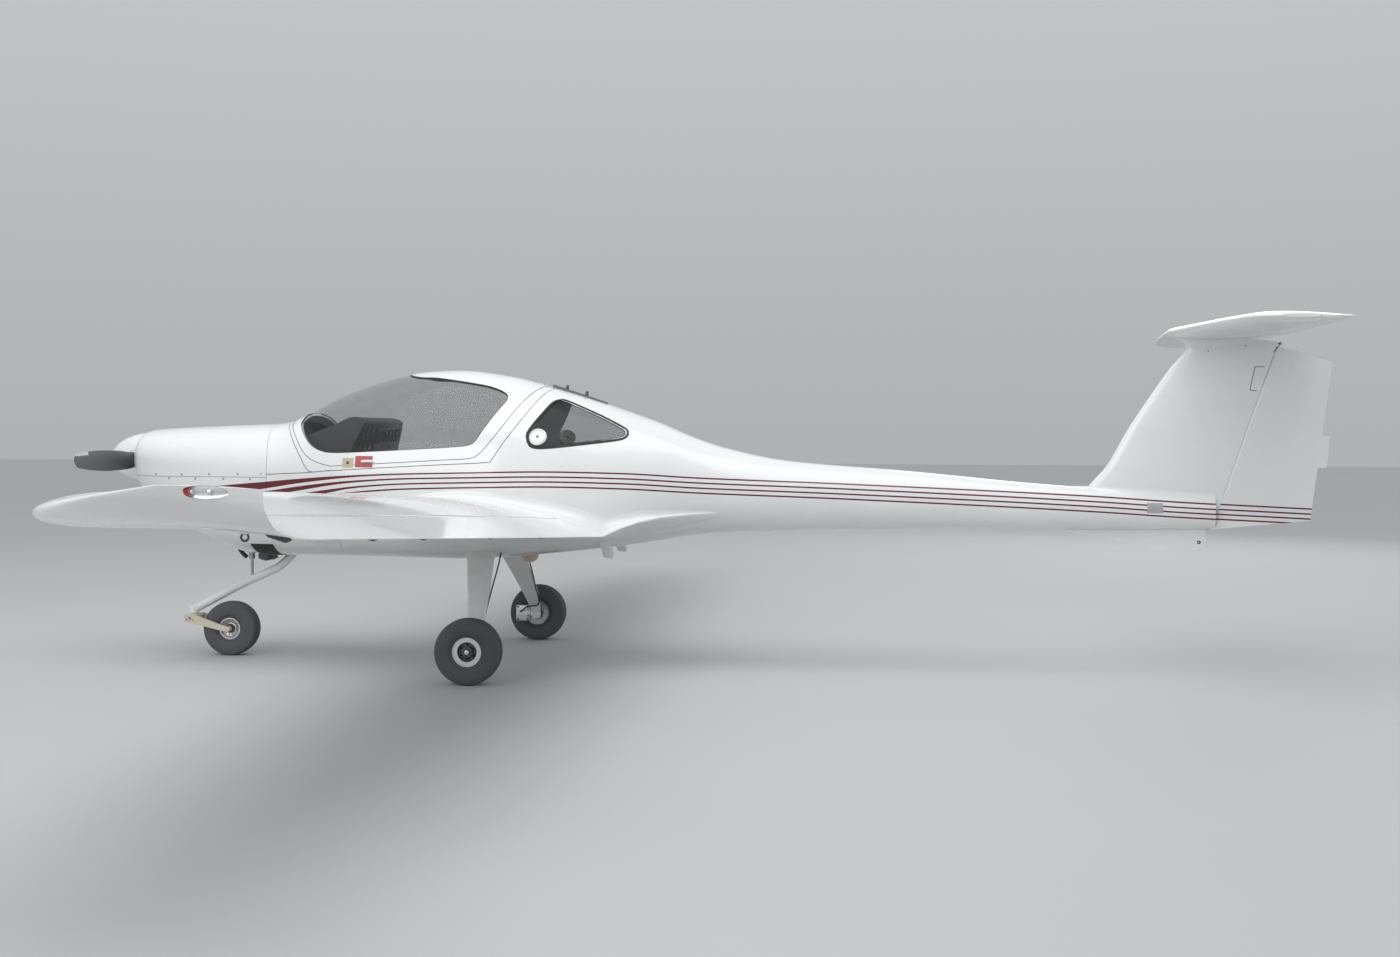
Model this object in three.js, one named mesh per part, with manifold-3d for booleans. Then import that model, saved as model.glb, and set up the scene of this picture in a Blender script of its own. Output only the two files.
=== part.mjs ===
// Two-seat low-wing training aircraft with a T-tail, parked on its fixed tricycle gear.
// Millimetres. X points aft, Y to the right wing tip and Z up. The origin is on the
// ground, under the middle of the aircraft's length and span.
import * as THREE from "three";
import { mergeVertices } from "three/addons/utils/BufferGeometryUtils.js";
import Module from "manifold-3d";

const wasm = await Module();
wasm.setup();

// Driving dimensions
const LENGTH = 7188; // spinner tip to rudder trailing edge
const SPAN = 10870;
const GAP = 0.3; // between pieces that rest on each other
const FOOT_Z = 600; // lower than any floor of the cabin
const CLEAR = 6.5; // around pieces that move
const FAR = 3000; // reach of the blocks that cut whole regions

const AXLE_X = -1149; // main wheel axle
const TRACK_HALF = 950;
const MAIN_TYRE = { radius: 180, width: 126, rim: 82 };
const NOSE_TYRE = { radius: 164, width: 118, rim: 74 };
const NOSE_AXLE_X = -2846;
const CASTER_X = -3085;
const THRUST_Z = 1195; // height of the propeller shaft

const WALL = 20; // fuselage and canopy wall
const COWL_WALL = 8;
const GLASS = 5;
const FIREWALL_X = -2445;
const COWL_FRONT_X = -3335;
const COWL_SPLIT_Z = 1092;
const CABIN_REAR_X = -330;
const TAIL_END_X = 2946;

const WHITE = { color: 0xf2f2f0, roughness: 0.25, metalness: 0 };
const GREY = { color: 0xb9bab8, roughness: 0.45, metalness: 0.1 };
const STEEL = { color: 0x9a9ca0, roughness: 0.4, metalness: 0.8 };
const IRON = { color: 0x4b4c4e, roughness: 0.6, metalness: 0.6 };
const BLACK = { color: 0x1c1d1f, roughness: 0.5, metalness: 0 };
const RUBBER = { color: 0x17181a, roughness: 0.85, metalness: 0 };
const LEATHER = { color: 0x5d5f63, roughness: 0.7, metalness: 0 };
const CREAM = { color: 0xd8d3bd, roughness: 0.5, metalness: 0 };
const GLAZING = { color: 0x8f9698, roughness: 0.05, metalness: 0, opacity: 0.4, transparent: true };
const RED = { color: 0x8c1020, roughness: 0.3, metalness: 0 };
const GREEN = { color: 0x0d6b3c, roughness: 0.3, metalness: 0 };

const aircraft = new THREE.Group();

// Solids and how they are made

// A closed geometry as a solid: shared corners welded, faces without area left out.
function toSolid(geometry) {
  const bare = new THREE.BufferGeometry();
  bare.setAttribute("position", geometry.getAttribute("position").clone());
  if (geometry.index) bare.setIndex(geometry.index.clone());
  const welded = mergeVertices(bare, 1e-3);
  const corners = welded.index.array;
  const kept = [];
  for (let i = 0; i < corners.length; i += 3) {
    const [a, b, c] = [corners[i], corners[i + 1], corners[i + 2]];
    if (a !== b && b !== c && c !== a) kept.push(a, b, c);
  }
  const vertProperties = new Float32Array(welded.getAttribute("position").array);
  const made = (triVerts) =>
    new wasm.Manifold(new wasm.Mesh({ numProp: 3, vertProperties, triVerts: new Uint32Array(triVerts) }));
  const solid = made(kept);
  return solid.volume() > 0 ? solid : made(kept.reverse());
}

// A solid as a three.js geometry.
function toGeometry(solid) {
  const mesh = solid.getMesh();
  const geometry = new THREE.BufferGeometry();
  geometry.setAttribute("position", new THREE.BufferAttribute(mesh.vertProperties, mesh.numProp));
  geometry.setIndex(new THREE.BufferAttribute(mesh.triVerts, 1));
  return geometry;
}

// The same solid on the other side of the centre plane.
function mirrored(solid) {
  const geometry = toGeometry(solid);
  geometry.scale(1, -1, 1);
  geometry.setIndex([...geometry.index.array].reverse());
  return toSolid(geometry);
}

// A skin through rings that have the same number of points, closed at both ends.
function loft(rings) {
  const count = rings[0].length;
  const points = rings.flat();
  const faces = [];
  for (let r = 0; r + 1 < rings.length; r++) {
    for (let i = 0; i < count; i++) {
      const j = (i + 1) % count;
      const [a, b] = [r * count + i, r * count + j];
      faces.push(a, b, b + count, a, b + count, a + count);
    }
  }
  for (const [first, flip] of [[0, true], [(rings.length - 1) * count, false]]) {
    const middle = new THREE.Vector3();
    for (let i = 0; i < count; i++) middle.addScaledVector(points[first + i], 1 / count);
    const centre = points.push(middle) - 1;
    for (let i = 0; i < count; i++) {
      const [a, b] = [first + i, first + ((i + 1) % count)];
      faces.push(...(flip ? [b, a, centre] : [a, b, centre]));
    }
  }
  const geometry = new THREE.BufferGeometry().setFromPoints(points);
  geometry.setIndex(faces);
  return toSolid(geometry);
}

function block(x0, x1, y0, y1, z0, z1) {
  const geometry = new THREE.BoxGeometry(x1 - x0, y1 - y0, z1 - z0);
  geometry.translate((x0 + x1) / 2, (y0 + y1) / 2, (z0 + z1) / 2);
  return toSolid(geometry);
}

// A side view outline, as rows of x and z, carried from y0 to y1.
function sideProfile(outline, y0, y1) {
  const shape = new THREE.Shape(outline.map(([x, z]) => new THREE.Vector2(x, z)));
  const geometry = new THREE.ExtrudeGeometry(shape, { depth: y1 - y0, bevelEnabled: false });
  geometry.rotateX(Math.PI / 2);
  geometry.translate(0, y1, 0);
  return toSolid(geometry);
}

// A round bar between two points.
function bar(from, to, radius, sides = 12, endRadius = radius) {
  const [a, b] = [new THREE.Vector3(...from), new THREE.Vector3(...to)];
  const along = b.clone().sub(a);
  const geometry = new THREE.CylinderGeometry(endRadius, radius, along.length(), sides);
  geometry.rotateY(Math.PI / sides);
  geometry.translate(0, along.length() / 2, 0);
  const up = new THREE.Vector3(0, 1, 0);
  geometry.applyQuaternion(new THREE.Quaternion().setFromUnitVectors(up, along.normalize()));
  geometry.translate(...from);
  return toSolid(geometry);
}

const FINE = 0.1; // corners and slivers nearer than this are taken out of a finished piece

// A mesh of its own for one named piece, with its corners welded.
function piece(name, solid, finish, parent = aircraft) {
  const clean = toSolid(toGeometry(solid)).simplify(FINE);
  const mesh = new THREE.Mesh(toGeometry(clean), new THREE.MeshStandardMaterial(finish));
  mesh.name = name;
  parent.add(mesh);
  return mesh;
}

// A polyline moved sideways to its left by a distance.
function offsetLine(line, distance) {
  return line.map((point, i) => {
    const before = line[Math.max(i - 1, 0)];
    const after = line[Math.min(i + 1, line.length - 1)];
    const [dx, dz] = [after[0] - before[0], after[1] - before[1]];
    const scale = distance / Math.hypot(dx, dz);
    return [point[0] - dz * scale, point[1] + dx * scale];
  });
}

const mix = (a, b, t) => a + (b - a) * t;

// The row of a table at a station, where the table's first column is the station.
function rowAt(table, station) {
  const next = table.findIndex((row) => row[0] >= station);
  if (next <= 0) return next === 0 ? table[0] : table.at(-1);
  const [low, high] = [table[next - 1], table[next]];
  const t = (station - low[0]) / (high[0] - low[0]);
  return low.map((value, i) => mix(value, high[i], t));
}

// Fuselage

// x, top z, bottom z, half width, z of the widest point, squareness above and below it
const SECTIONS = [
  [COWL_FRONT_X, 1352, 1022, 262, 1193, 2.3, 2.3],
  [-3300, 1361, 965, 318, 1188, 2.3, 2.3],
  [-3230, 1369, 893, 356, 1180, 2.3, 2.3],
  [-3130, 1375, 825, 388, 1165, 2.4, 2.4],
  [-2968, 1383, 735, 418, 1145, 2.4, 2.5],
  [-2814, 1390, 665, 440, 1130, 2.4, 2.6],
  [-2668, 1396, 625, 458, 1115, 2.4, 2.7],
  [-2499, 1404, 615, 478, 1100, 2.4, 2.8],
  [FIREWALL_X, 1414, 615, 485, 1094, 2.35, 2.8],
  [-2407, 1424, 615, 490, 1090, 2.3, 2.8],
  [-2272, 1491, 615, 508, 1080, 2.2, 2.8],
  [-2139, 1563, 615, 524, 1070, 2.15, 2.8],
  [-1872, 1660, 614, 548, 1060, 2.1, 2.8],
  [-1606, 1713, 609, 562, 1055, 2.1, 2.8],
  [-1424, 1721, 607, 565, 1055, 2.1, 2.8],
  [-1130, 1688, 620, 556, 1055, 2.1, 2.8],
  [-853, 1618, 645, 528, 1055, 2.1, 2.7],
  [-548, 1525, 678, 462, 1050, 2.1, 2.6],
  [-240, 1418, 722, 370, 1040, 2.1, 2.4],
  [-4, 1320, 758, 298, 1025, 2.1, 2.3],
  [169, 1265, 772, 256, 1010, 2.1, 2.2],
  [514, 1196, 784, 203, 990, 2.1, 2.1],
  [1195, 1142, 801, 152, 970, 2.1, 2.1],
  [1867, 1078, 808, 118, 943, 2.1, 2.1],
  [2586, 1026, 813, 92, 920, 2.1, 2.1],
  [TAIL_END_X, 1004, 818, 78, 912, 2.1, 2.1],
];
const RING_POINTS = 32;

function fuselageRing(x, outset) {
  const [, top, bottom, half, waist, above, below] = rowAt(SECTIONS, x);
  const ring = [];
  for (let k = 0; k < RING_POINTS; k++) {
    const angle = (2 * Math.PI * k) / RING_POINTS;
    const [c, s] = [Math.cos(angle), Math.sin(angle)];
    const power = 2 / (s >= 0 ? above : below);
    const reach = s >= 0 ? top + outset - waist : waist - bottom + outset;
    const y = (half + outset) * Math.sign(c) * Math.abs(c) ** power;
    ring.push(new THREE.Vector3(x, y, waist + reach * Math.sign(s) * Math.abs(s) ** power));
  }
  return ring;
}

// The fuselage's outer form between two stations, grown by outset all round.
function hull(outset, from, to) {
  const between = SECTIONS.map((row) => row[0]).filter((x) => x > from + 1 && x < to - 1);
  return loft([from, ...between, to].map((x) => fuselageRing(x, outset)));
}

// The seam around the lifting canopy in side view, from the windshield's foot to the roof.
const CANOPY_SEAM = [
  [-2388, 1440],
  [-2362, 1404],
  [-2334, 1372],
  [-2286, 1316],
  [-2220, 1233],
  [-2163, 1192],
  [-2069, 1163],
  [-1990, 1163],
  [-1409, 1197],
  [-1242, 1208],
  [-1188, 1237],
  [-1137, 1296],
  [-1067, 1395],
  [-999, 1503],
  [-948, 1574],
  [-923, 1604],
  [-890, 1630],
];
// The glazed part of the canopy in side view.
const CANOPY_GLASS = [
  [-2318, 1475],
  [-2300, 1426],
  [-2296, 1404],
  [-2272, 1372],
  [-2226, 1316],
  [-2179, 1273],
  [-2121, 1246],
  [-2034, 1234],
  [-1759, 1245],
  [-1361, 1268],
  [-1254, 1280],
  [-1216, 1304],
  [-1182, 1359],
  [-1116, 1463],
  [-1073, 1527],
  [-1067, 1556],
  [-1086, 1581],
  [-1150, 1610],
  [-1252, 1634],
  [-1495, 1670],
  [-1616, 1676],
  [-1700, 1692],
  [-1732, 1704],
];
// The fixed side window behind the canopy.
const REAR_WINDOW = [
  [-925, 1332],
  [-917, 1368],
  [-854, 1468],
  [-815, 1526],
  [-785, 1540],
  [-749, 1532],
  [-665, 1498],
  [-539, 1442],
  [-415, 1378],
  [-393, 1356],
  [-401, 1336],
  [-446, 1322],
  [-634, 1298],
  [-800, 1280],
  [-880, 1279],
  [-910, 1297],
];
const ABOVE_Z = 2100; // higher than any part of the cabin

// The region above an open side view line.
function above(line) {
  const [first, last] = [line[0], line.at(-1)];
  return sideProfile([...line, [last[0], ABOVE_Z], [first[0], ABOVE_Z]], -FAR, FAR);
}

// The wing, and surfaces hinged to it

// y, leading edge x, trailing edge x, leading edge z, trailing edge z, cant in degrees, thickness
const WING = [
  [300, -1716, -470, 852, 757, 0, 0.15],
  [620, -1705, -478, 874, 779, 0, 0.15],
  [3500, -1599, -544, 1036, 962, 0, 0.137],
  [5000, -1385, -591, 1122, 1058, 4, 0.13],
  [5160, -1318, -592, 1136, 1074, 18, 0.12],
  [5290, -1215, -587, 1158, 1104, 40, 0.11],
  [5375, -1085, -578, 1185, 1145, 62, 0.1],
  [5420, -945, -570, 1208, 1186, 78, 0.09],
  [SPAN / 2 - 4, -850, -566, 1222, 1212, 82, 0.07],
];
const CAMBER = 0.05;
const STEPS = { wing: 10, tail: 7, blade: 5 }; // along each surface of an airfoil

// Half thickness of an airfoil at a fraction of its chord, for a thickness of 1.
function halfThickness(u) {
  const bulge = 0.2969 * Math.sqrt(u) - 0.126 * u - 0.3516 * u ** 2 + 0.2843 * u ** 3 - 0.1015 * u ** 4;
  return 5 * bulge;
}

const camberLine = (u) => 4 * u * (1 - u);

// Points around an airfoil as chord fraction and height over chord, upper surface first.
function airfoil(thickness, camber, steps) {
  const points = [];
  for (let k = 0; k <= 2 * steps; k++) {
    const side = k <= steps ? 1 : -1;
    const u = (1 + Math.cos((Math.PI * k) / steps)) / 2;
    points.push([u, camber * camberLine(u) + side * thickness * halfThickness(u)]);
  }
  return points;
}

// One wing section: its chord runs from leading to trailing edge, its height along the cant.
function wingRing(row, outset = 0) {
  const [y, leadX, trailX, leadZ, trailZ, cant, thickness] = row;
  const chord = trailX - leadX;
  const tilt = THREE.MathUtils.degToRad(cant);
  return airfoil(thickness + (2 * outset) / chord, CAMBER, STEPS.wing).map(([u, w]) => {
    const height = w * chord;
    const z = mix(leadZ, trailZ, u) + height * Math.cos(tilt);
    return new THREE.Vector3(mix(leadX, trailX, u), y - height * Math.sin(tilt), z);
  });
}

// A point of the wing at span y and chord fraction u, and the half thickness there.
function wingMiddle(y, u) {
  const [, leadX, trailX, leadZ, trailZ, , thickness] = rowAt(WING, y);
  const chord = trailX - leadX;
  const z = mix(leadZ, trailZ, u) + CAMBER * camberLine(u) * chord;
  return { at: new THREE.Vector3(mix(leadX, trailX, u), y, z), half: thickness * halfThickness(u) * chord };
}

// Local axes of a hinge line: along it, aft across it, and the way up from both.
function hingeFrame(from, to, aft) {
  const along = to.clone().sub(from).normalize();
  const up = aft.clone().cross(along).normalize();
  return { along, up, aft: along.clone().cross(up).normalize() };
}

const HINGE_PLATE = { half: 3, reach: 6, pin: 3.5, slot: 12 };
const NOSE_SIDES = 16;

// Splits a blade along a hinge line. ends: points and nose radii of the hinge line's ends.
// plates: where the fixed part's hinge plates stand, as fractions of the line.
// carrier: the solid that the fixed part is cut from.
// Returns the fixed solid and the moving one, whose nose is round about the hinge line.
function hinged(blade, ends, aft, plates, open = [false, false], carrier = blade) {
  const [a, b] = ends;
  const frame = hingeFrame(a.at, b.at, aft);
  const length = b.at.distanceTo(a.at);
  const place = (s, x, n) =>
    a.at.clone().addScaledVector(frame.along, s).addScaledVector(frame.aft, x).addScaledVector(frame.up, n);
  const radius = (s) => mix(a.half, b.half, s / length);
  const prism = (s0, s1, outline) => loft([s0, s1].map((s) => outline(s).map(([x, n]) => place(s, x, n))));
  const behind = () => [[0, -FAR], [FAR, -FAR], [FAR, FAR], [0, FAR]];
  const round = (extra) => (s) => {
    const ring = [];
    for (let k = 0; k < NOSE_SIDES; k++) {
      const angle = (2 * Math.PI * (k + 0.5)) / NOSE_SIDES;
      ring.push([(radius(s) + extra) * Math.cos(angle), (radius(s) + extra) * Math.sin(angle)]);
    }
    return ring;
  };
  const [startGap, endGap] = open.map((isOpen) => (isOpen ? 0 : CLEAR));
  const [s0, s1] = [startGap, length - endGap];
  const cut = prism(0, length, behind).add(prism(0, length, round(CLEAR)));
  let moving = blade.intersect(prism(s0, s1, behind).add(prism(s0, s1, round(0))));
  let fixed = carrier.subtract(cut);
  const { half, reach, pin, slot } = HINGE_PLATE;
  for (const fraction of plates) {
    const s = fraction * length;
    const wide = half + CLEAR;
    const nose = 2 * radius(s);
    const slotOutline = () => [
      [slot, -slot], [slot, slot], [0, slot], [0, nose],
      [-nose, nose], [-nose, -nose], [0, -nose], [0, -slot],
    ];
    const plateOutline = () => [
      [-radius(s) - 2 * CLEAR, -reach], [reach * 0.5, -reach], [reach, -reach * 0.5], [reach, reach * 0.5],
      [reach * 0.5, reach], [-radius(s) - 2 * CLEAR, reach],
    ];
    moving = moving.subtract(prism(s - wide, s + wide, slotOutline));
    const pinOutline = () => [[pin, 0], [0, pin], [-pin, 0], [0, -pin]];
    fixed = fixed.add(prism(s - half, s + half, plateOutline));
    fixed = fixed.add(prism(s - wide + GAP, s + wide - GAP, pinOutline));
  }
  return { fixed, moving, from: a.at, along: frame.along };
}

const FLAP = { span: [655, 3490], hinge: [0.802, 0.785], plates: [0.2, 0.8] };
const AILERON = { span: [3503, 4985], hinge: [0.785, 0.79], plates: [0.2, 0.8] };
const CHORDWISE = new THREE.Vector3(1, 0, 0);

// Hinge line ends of a trailing surface, at its two span stations and chord fractions.
const wingHinge = ({ span, hinge }) => span.map((y, i) => wingMiddle(y, hinge[i]));

const wingBlade = loft(WING.map((row) => wingRing(row)));
const flap = hinged(wingBlade, wingHinge(FLAP), CHORDWISE, FLAP.plates);
const aileron = hinged(flap.fixed, wingHinge(AILERON), CHORDWISE, AILERON.plates);

// The fairing behind the wing root: x, y and z of its edge, rise and fall to the fuselage's side
const FAIRING = [
  [-900, 500, 850, 70, 20],
  [-760, 575, 845, 80, 30],
  [-600, 612, 812, 85, 35],
  [-473, 620, 780, 90, 38],
  [-396, 500, 817, 75, 70],
  [-300, 430, 850, 62, 85],
  [-185, 360, 873, 45, 80],
  [-40, 300, 888, 25, 60],
  [130, 262, 900, 10, 30],
];
const FAIRING_EDGE = 3; // half its edge's thickness
const FAIRING_ROOT = 25; // how far its inner corners lie inside the fuselage

// Half the fuselage's width at a station and a height.
function sideY(x, z) {
  const [, top, bottom, half, waist, above, below] = rowAt(SECTIONS, x);
  const [reach, power] = z >= waist ? [top - waist, above] : [waist - bottom, below];
  return half * (1 - (Math.abs(z - waist) / reach) ** power) ** (1 / power);
}

function fairingRing([x, edgeY, edgeZ, rise, fall]) {
  const rootTop = sideY(x, edgeZ + rise) - FAIRING_ROOT;
  const rootFoot = sideY(x, edgeZ - fall) - FAIRING_ROOT;
  const hollow = mix(sideY(x, edgeZ), edgeY, 0.3);
  const corners = [
    [rootTop, edgeZ + rise], [hollow, edgeZ + 0.3 * rise], [edgeY, edgeZ + FAIRING_EDGE],
    [edgeY, edgeZ - FAIRING_EDGE], [rootFoot, edgeZ - fall],
  ];
  return corners.map(([y, z]) => new THREE.Vector3(x, y, z));
}

// The tie-down boss under each wing
const TIE_DOWN = { x: -1180, y: 4000, radius: 20, drop: 16 };

function underWing(x, y) {
  const [, leadX, trailX, leadZ, trailZ, , thickness] = rowAt(WING, y);
  const chord = trailX - leadX;
  const u = (x - leadX) / chord;
  return mix(leadZ, trailZ, u) + CAMBER * camberLine(u) * chord - thickness * halfThickness(u) * chord;
}

const bossZ = underWing(TIE_DOWN.x, TIE_DOWN.y);
const boss = bar(
  [TIE_DOWN.x, TIE_DOWN.y, bossZ - TIE_DOWN.drop],
  [TIE_DOWN.x, TIE_DOWN.y, bossZ + 2 * TIE_DOWN.drop],
  TIE_DOWN.radius,
);
const NAV_LIGHT = { x0: -779, x1: -661, y: SPAN / 2, z0: 1186, z1: 1222, depth: 22 };
const lightPocket = (grow) =>
  block(
    NAV_LIGHT.x0 - grow, NAV_LIGHT.x1 + grow, NAV_LIGHT.y - NAV_LIGHT.depth - grow, NAV_LIGHT.y + FAR,
    NAV_LIGHT.z0 - grow, NAV_LIGHT.z1 + grow,
  );
const lens = loft(
  [[0, 0.35], [0.15, 0.8], [0.4, 1], [0.75, 0.85], [1, 0.3]].map(([t, size]) => {
    const x = mix(NAV_LIGHT.x0, NAV_LIGHT.x1, t);
    const z = (NAV_LIGHT.z0 + NAV_LIGHT.z1) / 2;
    const half = ((NAV_LIGHT.z1 - NAV_LIGHT.z0) / 2) * size;
    const out = NAV_LIGHT.y - NAV_LIGHT.depth;
    const reach = NAV_LIGHT.depth * size;
    const section = [[0, -half], [reach, -half * 0.5], [reach, half * 0.5], [0, half]];
    return section.map(([dy, dz]) => new THREE.Vector3(x, out + dy, z + dz));
  }),
);
const seat = hull(GAP, COWL_FRONT_X, TAIL_END_X); // the fuselage's form with a seat's gap around it
const wing = aileron.fixed.add(loft(FAIRING.map(fairingRing))).add(boss).subtract(lightPocket(GAP));

// The tail

const TAIL_Z = 1938; // height of the tailplane's chord
const RUDDER_SLOPE = 0.1232; // how far aft the trailing edge leans for each millimetre up
const RUDDER_FOOT = { x: 3483, z: 870 };
const trailingX = (z) => RUDDER_FOOT.x + RUDDER_SLOPE * (z - RUDDER_FOOT.z);
// z, leading edge x, half thickness of the fin and rudder blade
const FIN = [
  [800, 2160, 46],
  [1040, 2235, 46],
  [1083, 2267, 45],
  [1164, 2339, 44],
  [1376, 2459, 42],
  [1562, 2578, 40],
  [1736, 2697, 38],
  [1856, 2784, 38],
  [1892, 2755, 44],
  [1930, 2690, 52],
];
const finRing = ([z, leadX, half]) => {
  const chord = trailingX(z) - leadX;
  const points = airfoil((2 * half) / chord, 0, STEPS.tail);
  return points.map(([u, w]) => new THREE.Vector3(leadX + u * chord, w * chord, z));
};
const finBlade = loft(FIN.map(finRing));
const RUDDER_HINGE = [
  { at: new THREE.Vector3(2938, 0, 790), half: 37 },
  { at: new THREE.Vector3(3302, 0, 1872), half: 29 },
];
const bodyOuter = hull(0, FIREWALL_X, TAIL_END_X);
const BOOM_MIDDLE_Z = 900;
const finAboveBoom = finBlade.intersect(block(-FAR, FAR * 2, -FAR, FAR, BOOM_MIDDLE_Z, FAR));
const tailBody = bodyOuter.add(finAboveBoom);
const RUDDER_PLATES = [0.22, 0.62];
const rudderSplit = hinged(finBlade, RUDDER_HINGE, CHORDWISE, RUDDER_PLATES, [true, true], tailBody);

const TAIL_HALF_SPAN = 1325;
// y, leading edge x, trailing edge x, thickness over chord
const TAILPLANE = [
  [0, 2676, 3400, 0.115],
  [1180, 2826, 3346, 0.11],
  [1270, 2852, 3338, 0.1],
  [1310, 2890, 3320, 0.08],
  [TAIL_HALF_SPAN, 2960, 3280, 0.05],
];
const tailRows = [...TAILPLANE.slice(1).reverse().map(([y, ...rest]) => [-y, ...rest]), ...TAILPLANE];
const tailRing = (outset) => ([y, leadX, trailX, thickness]) => {
  const chord = trailX - leadX;
  return airfoil(thickness + (2 * outset) / chord, 0, STEPS.tail).map(
    ([u, w]) => new THREE.Vector3(leadX - outset + u * (chord + 2 * outset), y, TAIL_Z + w * chord),
  );
};
const tailBlade = loft(tailRows.map(tailRing(0)));
const ELEVATOR = { x: 3165, noseRadius: 27, beyondTip: 5, plates: [0.25, 0.75] };
const elevatorEnd = (side) => {
  const y = side * (TAIL_HALF_SPAN + ELEVATOR.beyondTip);
  return { at: new THREE.Vector3(ELEVATOR.x, y, TAIL_Z), half: ELEVATOR.noseRadius };
};
const elevatorEnds = [elevatorEnd(-1), elevatorEnd(1)];
const elevator = hinged(tailBlade, elevatorEnds, CHORDWISE, ELEVATOR.plates, [true, true]);

// The rudder's own ends in side view, and the block that closes the fin's top behind it
const RUDDER_BOTTOM = [[2962, 821], [3483, 870]];
const RUDDER_TOP = [[3302, 1854], [3594, 1771]];
const RUDDER_REACH = [2700, 3900]; // well ahead of and behind the rudder
const onLine = ([[x0, z0], [x1, z1]], x) => [x, mix(z0, z1, (x - x0) / (x1 - x0))];
const rudderOutline = [
  onLine(RUDDER_BOTTOM, RUDDER_REACH[0]), ...RUDDER_BOTTOM, onLine(RUDDER_BOTTOM, RUDDER_REACH[1]),
  onLine(RUDDER_TOP, RUDDER_REACH[1]), RUDDER_TOP[1], RUDDER_TOP[0], onLine(RUDDER_TOP, RUDDER_REACH[0]),
];
const rudder = rudderSplit.moving.intersect(sideProfile(rudderOutline, -FAR, FAR));
const FIN_TOP_REAR = { x0: 3180, x1: 3312, z0: 1868 };
const finTopRear = finBlade.intersect(
  block(FIN_TOP_REAR.x0, FIN_TOP_REAR.x1, -FAR, FAR, FIN_TOP_REAR.z0, FAR),
);
const behindFin = block(FIN_TOP_REAR.x1, 2 * FAR, -FAR, FAR, -FAR, FAR);
// The room over the fin's top that the elevator's nose and underside need at its lowest
const ELEVATOR_ROOM = [[3131, 1904], [3312, 1878], [3312, TAIL_Z], [3131, TAIL_Z]];
const TRIM_TAB = { x0: 3500, x1: 3578, z0: 1170, z1: 1350, half: 2 };

// Canopy, cowl and cabin

const cabinAir = (outset) => hull(outset, FIREWALL_X + WALL, CABIN_REAR_X);
// The fuselage's skin between two stations, as a wall of its own.
const skinWall = ([from, to], wall) =>
  hull(0, from, to).subtract(hull(-wall, from - wall, to + wall));
const CANOPY_REACH = [-2420, -800];
const WINDOW_REACH = [-1000, -300];
const canopySkin = hull(0, ...CANOPY_REACH).subtract(cabinAir(-WALL));
const canopyRegion = above(CANOPY_SEAM);
const glassRegion = (grow) => above(offsetLine(CANOPY_GLASS, -grow));
const windowShape = (grow) => sideProfile(offsetLoop(REAR_WINDOW, grow), -FAR, FAR);

// A closed outline moved outward by a distance; its points run clockwise seen from the left side.
function offsetLoop(loop, distance) {
  return loop.map((point, i) => {
    const before = loop[(i + loop.length - 1) % loop.length];
    const after = loop[(i + 1) % loop.length];
    const [dx, dz] = [after[0] - before[0], after[1] - before[1]];
    const scale = distance / Math.hypot(dx, dz);
    return [point[0] - dz * scale, point[1] + dx * scale];
  });
}

const HINGE_AXIS = { x: -868, z: 1636, radius: 9 };
const roofZ = (x) => rowAt(SECTIONS, x)[1];
const knuckle = (y0, y1) =>
  bar([HINGE_AXIS.x, y0, HINGE_AXIS.z], [HINGE_AXIS.x, y1, HINGE_AXIS.z], HINGE_AXIS.radius, 16);
const STRAP = { x: -945, halfY: 8, halfZ: 6 };
const strap = sideProfile(
  [
    [STRAP.x, roofZ(STRAP.x) - 2 * STRAP.halfZ], [HINGE_AXIS.x, HINGE_AXIS.z - STRAP.halfZ],
    [HINGE_AXIS.x, HINGE_AXIS.z + STRAP.halfZ], [STRAP.x, roofZ(STRAP.x) + STRAP.halfZ],
  ],
  -STRAP.halfY,
  STRAP.halfY,
);
const canopyFrame = canopySkin
  .intersect(canopyRegion)
  .subtract(glassRegion(0))
  .add(strap)
  .add(knuckle(-STRAP.halfY, STRAP.halfY));
const canopyGlass = skinWall(CANOPY_REACH, GLASS).intersect(glassRegion(-GAP));

const halves = { left: block(-FAR, FAR, -FAR, 0, -FAR, FAR), right: block(-FAR, FAR, 0, FAR, -FAR, FAR) };
const windowPane = skinWall(WINDOW_REACH, GLASS).intersect(windowShape(-GAP));

const canopyGap = above(offsetLine(CANOPY_SEAM, -CLEAR));
const STEP_SIDE = [[-560, 760], [-520, 640], [-470, 632], [-466, 650], [-500, 760]];
const STEP_Y = [236, 300];
const boardingStep = sideProfile(STEP_SIDE, ...STEP_Y);
const shell = rudderSplit.fixed
  .add(boardingStep)
  .add(mirrored(boardingStep))
  .subtract(cabinAir(-WALL))
  .subtract(canopyGap)
  .subtract(windowShape(0))
  .add(finTopRear)
  .subtract(behindFin)
  .subtract(sideProfile(ELEVATOR_ROOM, -FAR, FAR))
  .subtract(loft(tailRows.map(tailRing(GAP))))
  .subtract(block(-FAR, 2 * FAR, -FAR, FAR, TAIL_Z, FAR));

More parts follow.
